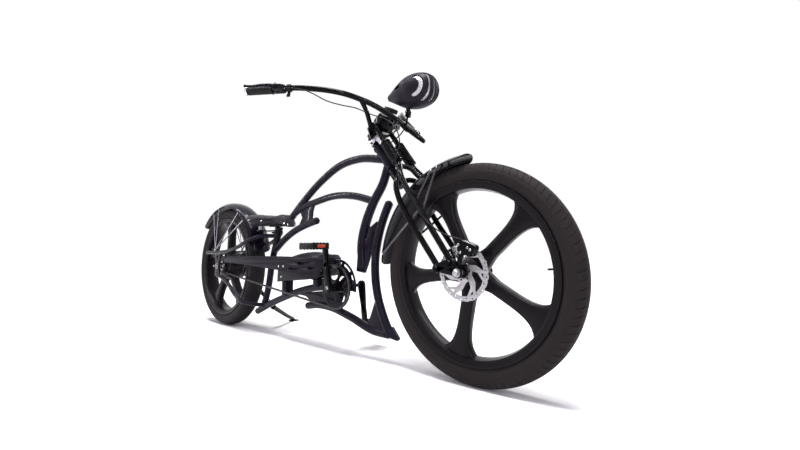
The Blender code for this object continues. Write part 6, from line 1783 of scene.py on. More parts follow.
# Front end
@dataclass
class Fork(Assembly):
    """The springer fork: rigid legs, sprung legs, yoke, coils, rockers and front caliper."""

    leg_radius: float = 0.0105
    half_spread: float = 0.080
    spring_foot: float = -0.1985
    spring_anchor: float = -0.1065
    spring_keep: float = 0.865

    EYE = ((0.0052, 0.0105), (0.0128, 0.0105), (0.0135, 0.0098), (0.0135, -0.0098),
           (0.0128, -0.0105), (0.0052, -0.0105))

    def build(self) -> None:
        """Build and dress the fork's pieces."""
        self.rigid()
        self.sprung()
        self.yoke()
        self.springs()
        self.rockers()

    def rigid(self) -> None:
        """Sweep the two rigid legs, and turn their eyes, the crown sleeve and the steerer."""
        fork = Shape()
        route = [(.522, .686, 0), (.542, .699, .34), (.560, .692, .74), (.570, .664, .97),
                 (.585, .616, 1), (.622, .552, 1), (.690, .460, 1), (REAR_PIVOT.x, REAR_PIVOT.z, 1)]
        for side in Side:
            points = [side.of((x, self.half_spread * share, z)) for x, z, share in route]
            points[-1] -= (points[-1] - points[-2]).normalized() * 0.0078
            fork.tube(points, self.leg_radius, 0.009, 26, None, (Cap.DOME, Cap.FLAT))
            fork.lathe(self.EYE, side.of((REAR_PIVOT.x, self.half_spread, REAR_PIVOT.z)), SIDEWAYS,
                       36, True)
        low = HEAD_BOTTOM - HEAD_UP * 0.090
        fork.rod(low, STEM + HEAD_UP * 0.028, 0.0138, 36)
        length = 0.088
        fork.lathe([(0, length), (0.0172, length), (0.0178, length - 0.002), (0.0178, 0.010),
                    (0.0190, 0.008), (0.0190, 0.001), (0.0170, -0.0015), (0, -0.0020)], low,
                   HEAD_UP, 44)
        fork.piece("rigid_fork_legs", "steering", GLOSS, ["rigid_fork"], 38)

    def sprung(self) -> None:
        """Sweep the sprung legs up to the spring seats, with cups, guides and the fender arm."""
        legs = Shape()
        route = [(MID_PIVOT.x, MID_PIVOT.z, 1), (.736, .4895, 1), (.668, .586, 1), (.608, .672, 1),
                 (.583, .711, .86), (.558, .744, .56)]
        for side in Side:
            points = [side.of((x, self.half_spread * share, z)) for x, z, share in route]
            points[0] += (points[1] - points[0]).normalized() * 0.0078
            points.append(spring_axis(side, -0.2028))
            legs.tube(points, self.leg_radius, 0.009, 26)
            seat = spring_axis(side, -0.2065)
            legs.lathe([(0, 0.0080), (0.0195, 0.0080), (0.0205, 0.0070), (0.0205, 0.0012),
                        (0.0190, 0), (0.0120, -0.0030), (0, -0.0030)], seat, HEAD_UP, 40)
            legs.rod(seat + HEAD_UP * 0.006, seat + HEAD_UP * 0.052, 0.0060, 20)
            legs.lathe(self.EYE, side.of((MID_PIVOT.x, self.half_spread, MID_PIVOT.z)), SIDEWAYS,
                       36, True)
        legs.rod((.558, -.045, .744), (.558, .045, .744), 0.0098, 32, 0.0012)
        crown = FRONT_AXLE + radial(math.radians(122.5)) * 0.3925
        legs.tube([(.558, 0, .744), (.578, 0, .733), (.600, 0, .713), crown], 0.0088, 0.008, 20)
        legs.piece("sprung_fork_legs", "sprung_legs", GLOSS, ["spring_legs"], 38)

    def yoke(self) -> None:
        """Form the top yoke with its spring columns, caps, stem block and bright clamp."""
        frame = Matrix((HEAD_FORWARD, -HEAD_UP, SIDEWAYS)).transposed().to_4x4()
        place = Matrix.Translation(STEM) @ frame
        clamp_half, block_half = 0.0165, 0.026
        yoke = Shape()
        yoke.discs([(.014, 0, .021), (.046, .045, .016), (.046, -.045, .016)], -0.009, 0.009, 0.003,
                   place)
        yoke.discs([(.046, .045, .016), (.046, -.045, .016), (.064, .041, .014),
                    (.064, -.041, .014)], -0.009, 0.009, 0.003, place)
        for side in Side:
            foot = spring_axis(side, -0.1062)
            yoke.rod(foot, spring_axis(side, 0.004), 0.0108, 30)
            yoke.lathe([(0, 0.0120), (0.0125, 0.0110), (0.0198, 0.0090), (0.0205, 0.0075),
                        (0.0205, 0.0008), (0.0195, 0), (0, 0)], foot, HEAD_UP, 40)
            yoke.lathe([(0, 0.0105), (0.0060, 0.0100), (0.0085, 0.0070), (0.0085, -0.002),
                        (0, -0.002)], spring_axis(side, 0.0085), HEAD_UP, 6)
        block = [(.392, .905), (.402, .962), (.436, .985), (.466, .962), (.472, .925), (.452, .902)]
        yoke.prism(block, -block_half, block_half, (), 0.0045)
        yoke.piece("fork_yoke_and_stem", "steering", GLOSS, ["top_yoke"], 38)
        clamp = Shape().prism([(.355, .873), (.381, .852), (.412, .898), (.3825, .913)],
                              -clamp_half, clamp_half, (), 0.0035)
        clamp.piece("chrome_stem_clamp", "steering", CLAMP_METAL, ["steerer_clamp"], 38)
        bolts = Shape()
        spots = ((.368, .886), (.380, .869)), ((.434, .972), (.458, .936))
        for half, pair in zip((clamp_half, block_half), spots):
            for x, z in pair:
                for side in Side:
                    bolts.head([(0.0022, 0.0040), (0.0040, 0.0042), (0.0046, 0.0034),
                                (0.0046, -0.001), (0.0022, -0.001)], side, (x, half, z), 24)
        for side in Side:
            nut = steer(0.046, 0.030 * side.value, 0.0088)
            bolts.lathe([(0, 0.0070), (0.0052, 0.0066), (0.0066, 0.0050), (0.0066, 0), (0, 0)], nut,
                        HEAD_UP, 6)
        bolts.piece("stem_bolts", "steering", HARDWARE, (), 38)

    def springs(self) -> None:
        """Wind the fork's coils round dark sleeves."""
        for side in Side:
            low = spring_axis(side, self.spring_foot)
            mesh = coil_spring().grow(host_of("fork_coil"), SPRING_BLACK, Radius=0.0170,
                                      Wire_Radius=0.0032, Turns=10.3, Height=0.0862)
            turn = HEAD_UP.to_track_quat("Z", "Y").to_matrix().to_4x4()
            place = Matrix.Translation(low + HEAD_UP * 0.0029) @ turn
            spring = Shape().take_mesh(mesh, place).piece(
                "fork_coil_" + side.label, "steering", SPRING_BLACK,
                ["fork_spring_" + side.label], 60)
            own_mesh(spring)
            Shape().rod(low + HEAD_UP * 0.0180, low + HEAD_UP * 0.0880, 0.0118, 32).piece(
                "spring_sleeve_" + side.label, "steering", GLOSS)

    def rockers(self) -> None:
        """Build the rocker plates, pins, front axle and the front brake caliper."""
        for side in Side:
            plate = Shape()
            for first, near, last, far in ((REAR_PIVOT, .0140, MID_PIVOT, .0130),
                                           (MID_PIVOT, .0130, FRONT_AXLE, .0170),
                                           (REAR_PIVOT, .0100, FRONT_AXLE, .0120)):
                plate.discs([(*side_view(first), near), (*side_view(last), far)],
                            *side.span(0.0911, 0.0981), 0.0016)
            for pivot in (REAR_PIVOT, MID_PIVOT):
                plate.pin(side, side_view(pivot), 0.0690, 0.1020, 0.0049, 24)
                plate.head([(0.0030, 0.0052), (0.0078, 0.0050), (0.0090, 0.0036), (0.0090, 0),
                            (0.0030, 0)], side, (pivot.x, 0.0980, pivot.z), 6)
                plate.pin(side, side_view(pivot), 0.0664, 0.0692, 0.0085, 24)
            plate.piece("rocker_plate_" + side.label, "rockers", GLOSS,
                        ["rocker_" + side.label], 35)
        axle = Shape().rod(FRONT_AXLE - SIDEWAYS * 0.110, FRONT_AXLE + SIDEWAYS * 0.110, 0.0058)
        for side in Side:
            face = (FRONT_AXLE.x, 0.0982, FRONT_AXLE.z)
            axle.head([(0.0058, 0.0018), (0.0135, 0.0016), (0.0135, 0), (0.0058, 0)], side, face,
                      40)
            axle.head([(0.0030, 0.0125), (0.0088, 0.0120), (0.0104, 0.0100), (0.0104, 0.0018),
                       (0.0030, 0.0018)], side, face, 6)
            axle.pin(side, side_view(FRONT_AXLE), 0.0662, 0.0909, 0.0090)
        axle.piece("front_axle_and_nuts", "rockers", PLATED, ["front_axle"], 32)
        self.caliper()

    def caliper(self) -> None:
        """Build the front caliper in two halves with its bridge, piston caps and bolts."""
        x, z = side_view(FRONT_AXLE)
        body = Shape()
        outline = [(x + .006, z + .090, .012), (x + .042, z + .076, .012),
                   (x + .002, z + .072, .010), (x + .034, z + .060, .010)]
        body.discs(outline, -0.0838, -0.0666, 0.0030)
        body.discs(outline, -0.0582, -0.0502, 0.0022)
        body.discs([(x + .006, z + .0915, .0100), (x + .042, z + .0775, .0100)], -0.0700, -0.0540,
                   0.0015)
        for px, pz in ((.014, .078), (.032, .071)):
            body.rod((x + px, -0.0832, z + pz), (x + px, -0.0866, z + pz), 0.0076, 28, 0.0010)
        body.bar((x - .002, -0.0876, z + .014), (x + .012, -0.0876, z + .062), 0.017, 0.0055,
                 (1, 0, 0), 0.0014)
        body.bar((x + .004, -0.0876, z + .056), (x + .036, -0.0876, z + .076), 0.013, 0.0055,
                 (0, 0, 1), 0.0014)
        body.piece("front_brake_caliper", "rockers", GLOSS, ["front_caliper"], 35)
        bolts = Shape()
        for px, pz in ((.010, .062), (.036, .077), (.004, .087), (.045, .070)):
            bolts.lathe([(0.0018, 0.0036), (0.0036, 0.0036), (0.0042, 0.0028), (0.0042, -0.001),
                         (0.0018, -0.001)], (x + px, -0.0900, z + pz), -SIDEWAYS, 20, True)
        bolts.piece("front_caliper_bolts", "rockers", PLATED, (), 35)


@dataclass
class RearCaliper(Assembly):
    """The rear brake's caliper inside the left rear end."""

    def build(self) -> None:
        """Build and dress the rear caliper."""
        x, z = side_view(REAR_AXLE)
        outline = [(x + .066, z + .030, .012), (x + .056, z + .052, .012),
                   (x + .078, z + .040, .010)]
        body = Shape().discs(outline, 0.0515, 0.0590, 0.0018)
        body.discs(outline, 0.0632, 0.0744, 0.0022)
        body.discs([(x + .070, z + .048, .0090), (x + .080, z + .036, .0080)], 0.0560, 0.0680,
                   0.001)
        body.bar((x + .020, 0.0738, z + .020), (x + .070, 0.0738, z + .042), 0.020, 0.0055,
                 (0, 0, 1), 0.0012)
        body.piece("rear_brake_caliper", "frame", GLOSS, (), 35)


# Cockpit
@dataclass
class Cockpit(Assembly):
    """The long handlebar with grips, brake levers, switch pods, throttle and display."""

    radius: float = 0.011
    half_width: float = 0.400

    ROUTE = ((.051, 1.069, 1), (.097, 1.067, .938), (.151, 1.064, .862), (.201, 1.064, .795),
             (.245, 1.063, .720), (.286, 1.057, .650), (.326, 1.050, .580), (.365, 1.040, .512),
             (.395, 1.031, .425), (.420, 1.019, .325), (.452, 1.000, .237), (.483, .975, .150),
             (.523, .939, .085), (.560, .904, .052), (.600, .866, .028))

    def bar_point(self, index: int, side: Side) -> Vector:
        """Return one of the bar's route points on a side."""
        x, z, share = self.ROUTE[index]
        return side.of((x, self.half_width * share, z))

    def outward(self, side: Side) -> Vector:
        """Return the direction in which a grip points."""
        return (self.bar_point(0, side) - self.bar_point(2, side)).normalized()

    def normal(self, side: Side) -> Vector:
        """Return the level direction from a grip towards its lever."""
        across = self.outward(side).cross(UPWARDS).normalized()
        return across if across.x > 0 else -across

    def build(self) -> None:
        """Build and dress the cockpit's pieces."""
        self.bar()
        for side in Side:
            self.grip(side)
            self.pod(side)
            self.lever(side)
        self.throttle()
        self.display()

    def bar(self) -> None:
        """Sweep the two arms of the bar, their noses and the risers."""
        shape = Shape()
        for side, nose in ((Side.RIGHT, (.648, -.004, .824)), (Side.LEFT, (.640, .007, .831))):
            points = [self.bar_point(index, side) for index in range(len(self.ROUTE))] + [nose]
            shape.tube(points, self.radius, 0.009, 28,
                       lambda share: 1.0 - 0.38 * max(0.0, (share - 0.84) / 0.16),
                       (Cap.FLAT, Cap.DOME))
            riser = [steer(.046, .045 * side.value, .002), side.of((.412, .060, .945)),
                     side.of((.424, .090, .980)), side.of((.428, .122, 1.014))]
            shape.tube(riser, 0.0095, 0.008, 22)
        shape.piece("swept_handlebar", "steering", GLOSS, ["handlebar"], 40)

    def grip(self, side: Side) -> None:
        """Turn one grip with its ribs, flange and bright end cap."""
        out, end = self.outward(side), self.bar_point(0, side)
        length = 0.122
        profile = [(0.0113, 0.0)]
        profile += [(0.0180, 0.0), (0.0186, 0.0015), (0.0180, 0.0045), (0.0163, 0.0060)]
        ribs = 19
        for rib in range(ribs):
            start = 0.0075 + rib * (length - 0.020) / ribs
            pitch = (length - 0.020) / ribs
            profile += [(0.0157, start), (0.0165, start + pitch * 0.22),
                        (0.0165, start + pitch * 0.70), (0.0157, start + pitch * 0.92)]
        profile += [(0.0163, length - 0.0115), (0.0164, length - 0.0040), (0.0113, length - 0.0035)]
        base = end - out * (length - 0.002)
        Shape().lathe(profile[::-1], base, out, 44, True).piece(
            "ribbed_grip_" + side.label, "steering", GRIP_RUBBER,
            ["grip_" + side.label], 40)
        ring = [(0, length + 0.0015), (0.0120, length + 0.0012), (0.0155, length - 0.0005),
                (0.0168, length - 0.0030), (0.0168, length - 0.0095), (0.0160, length - 0.0105),
                (0, length - 0.0105)]
        Shape().lathe(ring, base, out, 44).piece("grip_cap_" + side.label, "steering",
                                                 CHROME, (), 40)

    def pod(self, side: Side) -> None:
        """Form one switch pod, the brake perch and the lever's housing."""
        out, end, across = self.outward(side), self.bar_point(0, side), self.normal(side)
        start = end - out * 0.172
        pod = Shape()
        profile = [(0.0113, 0.0), (0.0150, 0.0), (0.0165, 0.0020), (0.0165, 0.0205),
                   (0.0160, 0.0215), (0.0160, 0.0225), (0.0165, 0.0235), (0.0165, 0.0420),
                   (0.0150, 0.0440), (0.0113, 0.0440)]
        pod.lathe(profile[::-1], start, out, 44, True)
        turn = Matrix((out, across, UPWARDS)).transposed()
        middle = end - out * 0.150 + across * 0.020
        pod.block(middle, (0.040, 0.026, 0.022), turn, 0.0040)
        pod.block(middle - out * 0.018 + across * 0.004, (0.026, 0.016, 0.018), turn, 0.0035)
        pod.piece("switch_pod_" + side.label, "steering", PLASTIC, ["controls_" + side.label], 38)
        trim = Shape()
        for along, up in ((0.010, 0.0158), (0.030, 0.0158)):
            trim.lathe([(0.0010, 0.0016), (0.0030, 0.0018), (0.0036, 0.0008), (0.0036, -0.002),
                        (0.0010, -0.002)], start + out * along + UPWARDS * up, UPWARDS, 16, True)
        trim.lathe([(0.0020, 0.0024), (0.0048, 0.0026), (0.0058, 0.0014), (0.0058, -0.002),
                    (0.0020, -0.002)], self.lever_pivot(side) + UPWARDS * 0.0108, UPWARDS, 20, True)
        trim.piece("pod_screws_" + side.label, "steering", PLATED, (), 38)
        if side is Side.RIGHT:
            buttons = Shape()
            for along in (0.012, 0.024):
                spot = start + out * (along + 0.004) + across * -0.0155
                buttons.rod(spot, spot - across * 0.0028, 0.0040, 20, 0.0008)
            buttons.piece("pod_buttons", "steering", AMBER, (), 38)

    def lever_pivot(self, side: Side) -> Vector:
        """Return the pivot of a brake lever."""
        return (self.bar_point(0, side) - self.outward(side) * 0.148 + self.normal(side) * 0.034
                + UPWARDS * 0.001)

    def lever(self, side: Side) -> None:
        """Sweep one brake lever with its pivot boss and ball end."""
        out, across, pivot = self.outward(side), self.normal(side), self.lever_pivot(side)
        points = [pivot + out * 0.004 + across * 0.003]
        for along, away in ((.020, .010), (.060, .013), (.100, .010), (.122, .016)):
            points.append(pivot + out * along + across * away)
        shape = Shape().tube(points, 0.0046, 0.006, 18, lambda share: 1.25 - 0.45 * share,
                             (Cap.FLAT, Cap.DOME), 1.25)
        tip = points[-1]
        shape.lathe([(0, 0.0058)] + [(0.0058 * math.cos(a), 0.0058 * math.sin(a))
                                     for a in (math.radians(d) for d in (60, 30, 0, -30, -60))]
                    + [(0, -0.0058)], tip, UPWARDS, 20)
        shape.rod(pivot - UPWARDS * 0.0062, pivot + UPWARDS * 0.0062, 0.0074, 24, 0.0012)
        shape.piece("brake_blade_" + side.label, side.label + "_brake_lever",
                    HARDWARE, ["brake_lever_" + side.label], 45)

    def throttle(self) -> None:
        """Build the thumb throttle's ring and paddle."""
        side = Side.RIGHT
        middle = self.bar_point(3, side).lerp(self.bar_point(4, side), 0.35)
        axis = (self.bar_point(3, side) - self.bar_point(4, side)).normalized()
        shape = Shape().lathe([(0.0114, 0.0080), (0.0148, 0.0080), (0.0158, 0.0070),
                               (0.0158, -0.0070), (0.0148, -0.0080), (0.0114, -0.0080)], middle,
                              axis, 40, True)
        low = middle - UPWARDS * 0.0130
        shape.hull([low + axis * 0.006, low - axis * 0.006, low + self.normal(side) * 0.006,
                    low - self.normal(side) * 0.006, low - UPWARDS * 0.022 + axis * 0.014,
                    low - UPWARDS * 0.022 - axis * 0.004, low - UPWARDS * 0.020
                    - self.normal(side) * 0.006 + axis * 0.005], 0.0012)
        shape.piece("thumb_throttle", "throttle", PLASTIC, ["throttle_lever"], 40)

    def display(self) -> None:
        """Build the display's case, its glass and its strap."""
        low, high = Vector((.453, 0, 1.001)), Vector((.497, 0, .979))
        along = (high - low).normalized()
        up = SIDEWAYS.cross(along)
        up = up if up.z > 0 else -up
        turn = Matrix((along, SIDEWAYS, up)).transposed()
        centre = (low + high) / 2
        case = Shape().block(centre, ((high - low).length, .036, .018), turn, 0.0040)
        case.block(centre - up * 0.012 - along * 0.006, (.020, .026, .016), turn, 0.003)
        case.piece("display_case", "steering", PLASTIC, ["display"], 40)
        Shape().block(centre + up * 0.0088, (.036, .029, .0016), turn, 0.0006).piece(
            "display_glass", "steering", SCREEN, (), 40)


# Lamp
@dataclass
class Lamp(Assembly):
    """The bullet headlamp: slotted shell, bright lens, bracket, neck and pivot bolts."""

    radius: float = 0.067
    length: float = 0.228
    tail: Vector = field(default_factory=lambda: Vector((.468, 0, 1.041)))
    axis: Vector = field(default_factory=lambda: Vector((.998, 0, -.061)).normalized())
    shoulder: float = 0.64
    bluntness: float = 0.61

    def dome(self, radius: float, length: float, count: int = 16) -> list[Pair]:
        """Return the blunt nose from its tip back to the shoulder, as (radius, height) pairs."""
        base = self.length * self.shoulder
        pairs = [(0.0, length)]
        for index in range(count - 1, 0, -1):
            angle = math.pi / 2 * index / count
            pairs.append((radius * math.cos(angle) ** self.bluntness,
                          base + (length - base) * math.sin(angle)))
        return pairs + [(radius, base)]

    def build(self) -> None:
        """Build and dress the lamp's pieces."""
        self.shell()
        self.optics()
        self.bracket()

    def shell(self) -> None:
        """Turn the hollow shell and cut its grille slots and its teardrop recesses."""
        base = self.length * self.shoulder
        profile = self.dome(self.radius, self.length)
        for index in range(15, -1, -1):
            share = index / 16
            swell = 0.20 + 0.80 * math.sin(math.pi / 2 * share ** 1.12)
            profile.append((self.radius * swell, base * (0.012 + 0.988 * share)))
        profile += [(self.radius * 0.13, 0.0006), (0, 0)]
        body = Shape().lathe(profile, self.tail, self.axis, 96)
        inside, back = self.radius - 0.003, self.length * 0.50
        cavity = self.dome(inside, self.length - 0.003) + [(inside - 0.004, back), (0, back)]
        hollow = Shape().lathe(cavity, self.tail, self.axis, 72)
        up = self.axis.cross(SIDEWAYS)
        up = up if up.z > 0 else -up
        turn = Matrix((self.axis, SIDEWAYS, up)).transposed()
        slots = Shape()
        front = self.tail + self.axis * self.length * 0.86
        for number in range(-2, 3):
            offset = number * 0.0262
            tall = 2 * math.sqrt((self.radius * 0.90) ** 2 - (offset * 0.86) ** 2)
            slots.block(front + SIDEWAYS * offset,
                        (self.length * 0.30, 0.0105, min(tall, self.radius * 1.62)), turn, 0.0030)
        for side in Side:
            tear = []
            for a in around(28):
                along = 0.021 * math.cos(a)
                rise = 0.0085 * math.sin(a) * (1 - 0.6 * (0.5 - 0.5 * math.cos(a)) ** 1.4)
                tear.append(self.tail + self.axis * (0.084 + along) + up * (0.012 + rise))
            slots.rings([[point + side.out * y for point in tear] for y in (0.0350, 0.0900)])
        shell = carve("bullet_shell_host", body, (hollow, slots))
        shell.rod((LAMP_PIVOT.x, -0.0064, LAMP_PIVOT.z), (LAMP_PIVOT.x, 0.0064, LAMP_PIVOT.z),
                  0.0084, 28, 0.0010)
        shell.bar((LAMP_PIVOT.x, 0, LAMP_PIVOT.z), (LAMP_PIVOT.x + 0.001, 0, LAMP_PIVOT.z + 0.020),
                  0.014, 0.0125, (1, 0, 0), 0.0015)
        shell.piece("bullet_shell", "lamp", LAMP_BLACK, ["headlight_shell"], 38)

    def optics(self) -> None:
        """Turn the bright dimpled lens that shows between the slats."""
        inside = self.radius - 0.0033
        base = self.length * self.shoulder
        form = self.dome(inside, self.length - 0.0037, 24)
        form += [(inside, base - 0.004), (inside - 0.003, base - 0.010), (0, base - 0.010)]
        Shape().lathe(form, self.tail, self.axis, 72).piece(
            "lamp_reflector_and_lens", "lamp", MIRROR, ["headlight_lens"], 50)

    def bracket(self) -> None:
        """Build the bracket, the neck and the pivot bolt."""
        shape = Shape().bar((.538, 0, .926), (.592, 0, .874), .080, .016, (0, 1, 0), 0.0035)
        shape.tube([(.566, -.011, .910), (.566, -.006, .935),
                    (LAMP_PIVOT.x, 0, LAMP_PIVOT.z - 0.010)], 0.0040, 0.008, 16)
        for side in Side:
            fork = side.of((LAMP_PIVOT.x, 0.0088, LAMP_PIVOT.z))
            shape.discs([(fork.x, fork.z, 0.0075), (fork.x, fork.z - 0.016, 0.0050)],
                        fork.y - 0.0018, fork.y + 0.0018, 0.0006)
        shape.block((LAMP_PIVOT.x, 0, LAMP_PIVOT.z - 0.0165), (0.012, 0.0212, 0.010), None, 0.002)
        shape.piece("lamp_bracket", "steering", GLOSS, ["light_bracket"], 38)
        bolts = Shape()
        for side in Side:
            bolts.head([(0.0020, 0.0040), (0.0048, 0.0036), (0.0056, 0.0024), (0.0056, -0.001),
                        (0.0020, -0.001)], side, (LAMP_PIVOT.x, 0.0106, LAMP_PIVOT.z), 6)
        bolts.piece("lamp_pivot_bolts", "steering", PLATED, (), 38)


# Hoses
@dataclass
class Hoses(Assembly):
    """The two brake hoses and the wiring loom, with ferrules at their ends."""

    radius: float = 0.0022

    UPPER = ((.208, 1.0576, .839), (.2405, 1.054, .7985), (.285, 1.043, .730), (.316, 1.026, .675),
             (.339, 1.005, .550), (.363, .997, .400), (.393, .990, .2875))

    def upper(self, side: Side) -> list[Vector]:
        """Return the way from a lever along the bar."""
        return [side.of((x, 0.400 * share, z)) for x, z, share in self.UPPER]

    def build(self) -> None:
        """Build and dress the hoses."""
        front = self.upper(Side.RIGHT)
        way = ((.400, .985, -.085), (.425, .970, -.062), (.500, .935, -.060), (.565, .880, -.070),
               (.590, .810, -.080), (.580, .765, -.092), (.600, .700, -.098), (.660, .610, -.098),
               (.740, .510, -.098), (.800, .475, -.092), (.842, .4615, -.078))
        front += [Vector((x, y, z)) for x, z, y in way]
        Shape().tube(front, self.radius, 0.009, 14).piece(
            "front_hose", "steering", JACKET, ["front_brake_hose"], 60)
        rear = self.upper(Side.LEFT)
        rear += [Vector((.390, .085, .960)), Vector((.372, .052, .925)), steer(-.008, .036, 0),
                 steer(0, .031, -.035), steer(0, .0235, -.058), steer(0, .0205, -.085),
                 steer(0, .0205, -.105)]
        Shape().tube(rear, self.radius, 0.009, 14).piece(
            "rear_hose", "steering", JACKET, ["rear_brake_hose"], 60)
        loom = [Vector((.5569, 0, .9088)), Vector((.5517, 0, .9034)), Vector((.543, 0, .895)),
                Vector((.525, 0, .880)), Vector((.507, 0, .870)), steer(.070, 0, -.088),
                steer(.040, 0, -.085), steer(.0186, 0, -.085)]
        Shape().tube(loom, self.radius * 1.15, 0.008, 14).piece(
            "lamp_loom", "steering", JACKET, ["wiring_loom"], 60)
        ends = Shape()
        for side in Side:
            first, second = self.upper(side)[0], self.upper(side)[1]
            ends.rod(first, first.lerp(second, 0.35), 0.0040, 20, 0.0006)
        ends.piece("hose_ferrules", "steering", PLATED, (), 40)


# Stand
@dataclass
class SideStand(Assembly):
    """The folding side stand with its boss, bolts and rubber-soled foot."""

    pivot: Vector = field(default_factory=lambda: Vector((-.505, .087, .119)))
    foot: Vector = field(default_factory=lambda: Vector((-.640, .312, 0)))

    def build(self) -> None:
        """Build and dress the stand's pieces."""
        along = (self.foot - self.pivot).normalized()
        axis = (self.foot - self.pivot).cross(Vector((-.98, .12, .05))).normalized()
        sole = self.foot + Vector((0, 0, 0.006))
        stand = Shape().tube([self.pivot, self.pivot.lerp(sole, 0.35), self.pivot.lerp(sole, 0.7),
                              sole + Vector((0.002, -0.004, 0.0075))], 0.0125, 0.010, 28,
                             lambda share: 1.06 - 0.22 * share)
        stand.rod(self.pivot - axis * 0.012, self.pivot + axis * 0.012, 0.0132, 36, 0.0015)
        stand.hull([sole + Vector((x, y, z)) for x in (-.020, .020) for y in (-.026, .026)
                    for z in (-.0030, .0010)] + [sole - along * 0.020], 0.0016)
        stand.piece("stand_leg", "stand", GLOSS, ["kickstand"], 38)
        pad = Shape().block(self.foot + Vector((0, 0, 0.0016)), (.039, .051, .0032), None, 0.0010)
        pad.piece("stand_sole", "stand", GRIP_RUBBER, (), 40)
        bolt = Shape()
        for way in (1, -1):
            bolt.lathe([(0, 0.0042), (0.0056, 0.0040), (0.0068, 0.0030), (0.0068, 0), (0, 0)],
                       self.pivot + axis * 0.012 * way, axis * way, 6)
        bolt.piece("stand_bolt", "stand", PLATED, (), 38)


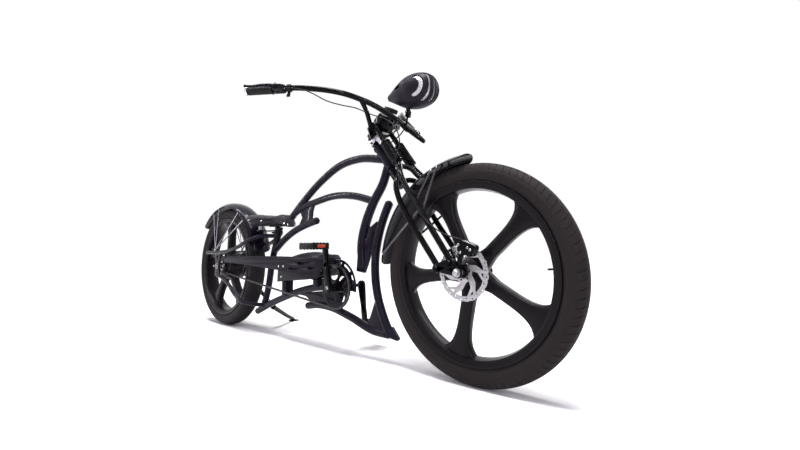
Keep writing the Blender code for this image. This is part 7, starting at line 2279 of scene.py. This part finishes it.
@dataclass
class Studio:
    """Camera, light and floor."""

    camera_spot: Triple = (1.5360, -1.1514, 0.4261)
    camera_right: Triple = (0.7409, 0.6716, -0.0061)
    camera_up: Triple = (0.08308, -0.08265, 0.99311)
    lens_mm: float = 18.024
    shift: Pair = (0.00635, -0.0267)
    sky_light: float = 0.08
    sun_strength: float = 3.9
    sun_degrees: float = 22.0
    strip_colour: Triple = (0.95, 0.90, 1.0)
    floor_half: float = 60.0
    floor_height: float = -0.0005
    floor_grey: float = 0.95
    floor_glow: float = 0.02

    def camera(self) -> None:
        """Set up the camera at the photograph's viewing angle."""
        right, up = Vector(self.camera_right).normalized(), Vector(self.camera_up)
        up = (up - right * up.dot(right)).normalized()
        data = bpy.data.cameras.new("camera")
        data.lens, data.sensor_width = self.lens_mm, 36.0
        data.shift_x, data.shift_y = self.shift
        data.clip_start, data.clip_end = 0.05, 500
        camera = linked("camera", data)
        place = Matrix((right, up, right.cross(up))).transposed().to_4x4()
        place.translation = Vector(self.camera_spot)
        camera.matrix_world = place
        bpy.context.scene.camera = camera

    @staticmethod
    def _seen(tree: Tree) -> bpy.types.NodeSocket:
        """Return 1 for camera, glossy and transmission rays, and 0 for the rest."""
        path = tree.node("ShaderNodeLightPath").outputs
        seen = tree.math("MAXIMUM", path["Is Camera Ray"], path["Is Glossy Ray"])
        return tree.math("MAXIMUM", seen, path["Is Transmission Ray"])

    def light(self) -> None:
        """Light the bike with a white surround, a broad overhead sun and four narrow strips."""
        world = bpy.data.worlds.new("surround")
        world.use_nodes = True
        tree = Tree(world.node_tree)
        level = tree.node("ShaderNodeMapRange", {"To Min": self.sky_light, "To Max": 1.0,
                                                 "Value": self._seen(tree)})
        tree.feed(tree.data.nodes["Background"].inputs,
                  {"Color": (1, 1, 1, 1), "Strength": level.outputs[0]})
        bpy.context.scene.world = world
        sun = bpy.data.lights.new("overhead", "SUN")
        sun.energy, sun.angle = self.sun_strength, math.radians(self.sun_degrees)
        direction = Vector((0.02, -0.06, 1.0))
        linked("overhead", sun).rotation_euler = direction.to_track_quat("Z", "Y").to_euler()
        panels = (("top_strip", (0.1, -0.7, 3.0), (0.0, 0, 0.4), (5.0, 0.08), 75),
                  ("front_strip", (3.0, -2.4, 1.9), (0.3, 0, 0.5), (0.08, 2.6), 50),
                  ("rear_strip", (-2.6, -2.2, 1.6), (-0.4, 0, 0.4), (0.08, 2.2), 36),
                  ("far_strip", (0.6, 2.8, 2.4), (0.2, 0, 0.6), (3.5, 0.10), 28))
        for name, spot, target, size, power in panels:
            data = bpy.data.lights.new(name, "AREA")
            data.shape, data.energy = "RECTANGLE", power
            data.color = self.strip_colour
            data.size, data.size_y = size
            aim = (Vector(spot) - Vector(target)).normalized()
            across = (Vector((1, 0, 0)) if size[0] > size[1] else UPWARDS.cross(aim)).normalized()
            across = (across - aim * across.dot(aim)).normalized()
            turn = Matrix((across, aim.cross(across), aim)).transposed().to_4x4()
            linked(name, data).matrix_world = Matrix.Translation(spot) @ turn

    def floor(self) -> None:
        """Lay the pale floor, which shows white where nothing shades it."""
        mesh = bpy.data.meshes.new("floor")
        half, height = self.floor_half, self.floor_height
        corners = ((-half, -half), (half, -half), (half, half), (-half, half))
        mesh.from_pydata([(x, y, height) for x, y in corners], [], [(0, 1, 2, 3)])
        floor = linked("floor", mesh)
        material = bpy.data.materials.new("pale_floor")
        material.use_nodes = True
        tree = Tree(material.node_tree)
        tree.feed(tree.data.nodes["Principled BSDF"].inputs, {
            "Base Color": (self.floor_grey, self.floor_grey, self.floor_grey, 1),
            "Roughness": 0.9, "Specular IOR Level": 0.0, "Emission Color": (1, 1, 1, 1),
            "Emission Strength": tree.math("MULTIPLY", self._seen(tree), self.floor_glow)})
        mesh.materials.append(material)

    def build(self) -> None:
        """Set up the whole studio."""
        bpy.context.scene.view_settings.view_transform = "Standard"
        self.camera()
        self.light()
        self.floor()


def dress_carried_nodes(frame: dict) -> None:
    """Give every CAD node a finish; the finer pieces then stand for all of them.
    """
    for node in frame["nodes"].values():
        node.data.materials.clear()
        node.data.materials.append(material_of(HARDWARE))


def main() -> None:
    """Load the frame and build every sub-assembly in order."""
    logging.basicConfig(level=logging.INFO, format="%(name)s: %(message)s")
    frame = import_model()
    dress_carried_nodes(frame)
    Studio().build()
    for assembly in ASSEMBLIES:
        LOG.info("building %s", assembly.__name__)
        assembly().build()


ASSEMBLIES: tuple[type[Assembly], ...] = (
    FrontWheel, RearWheel, Drive, Frame, Fenders, PowerCase, ChainGuard, Saddle, Fork,
    RearCaliper, Cockpit, Lamp, Hoses, SideStand)

if __name__ == "__main__":
    main()
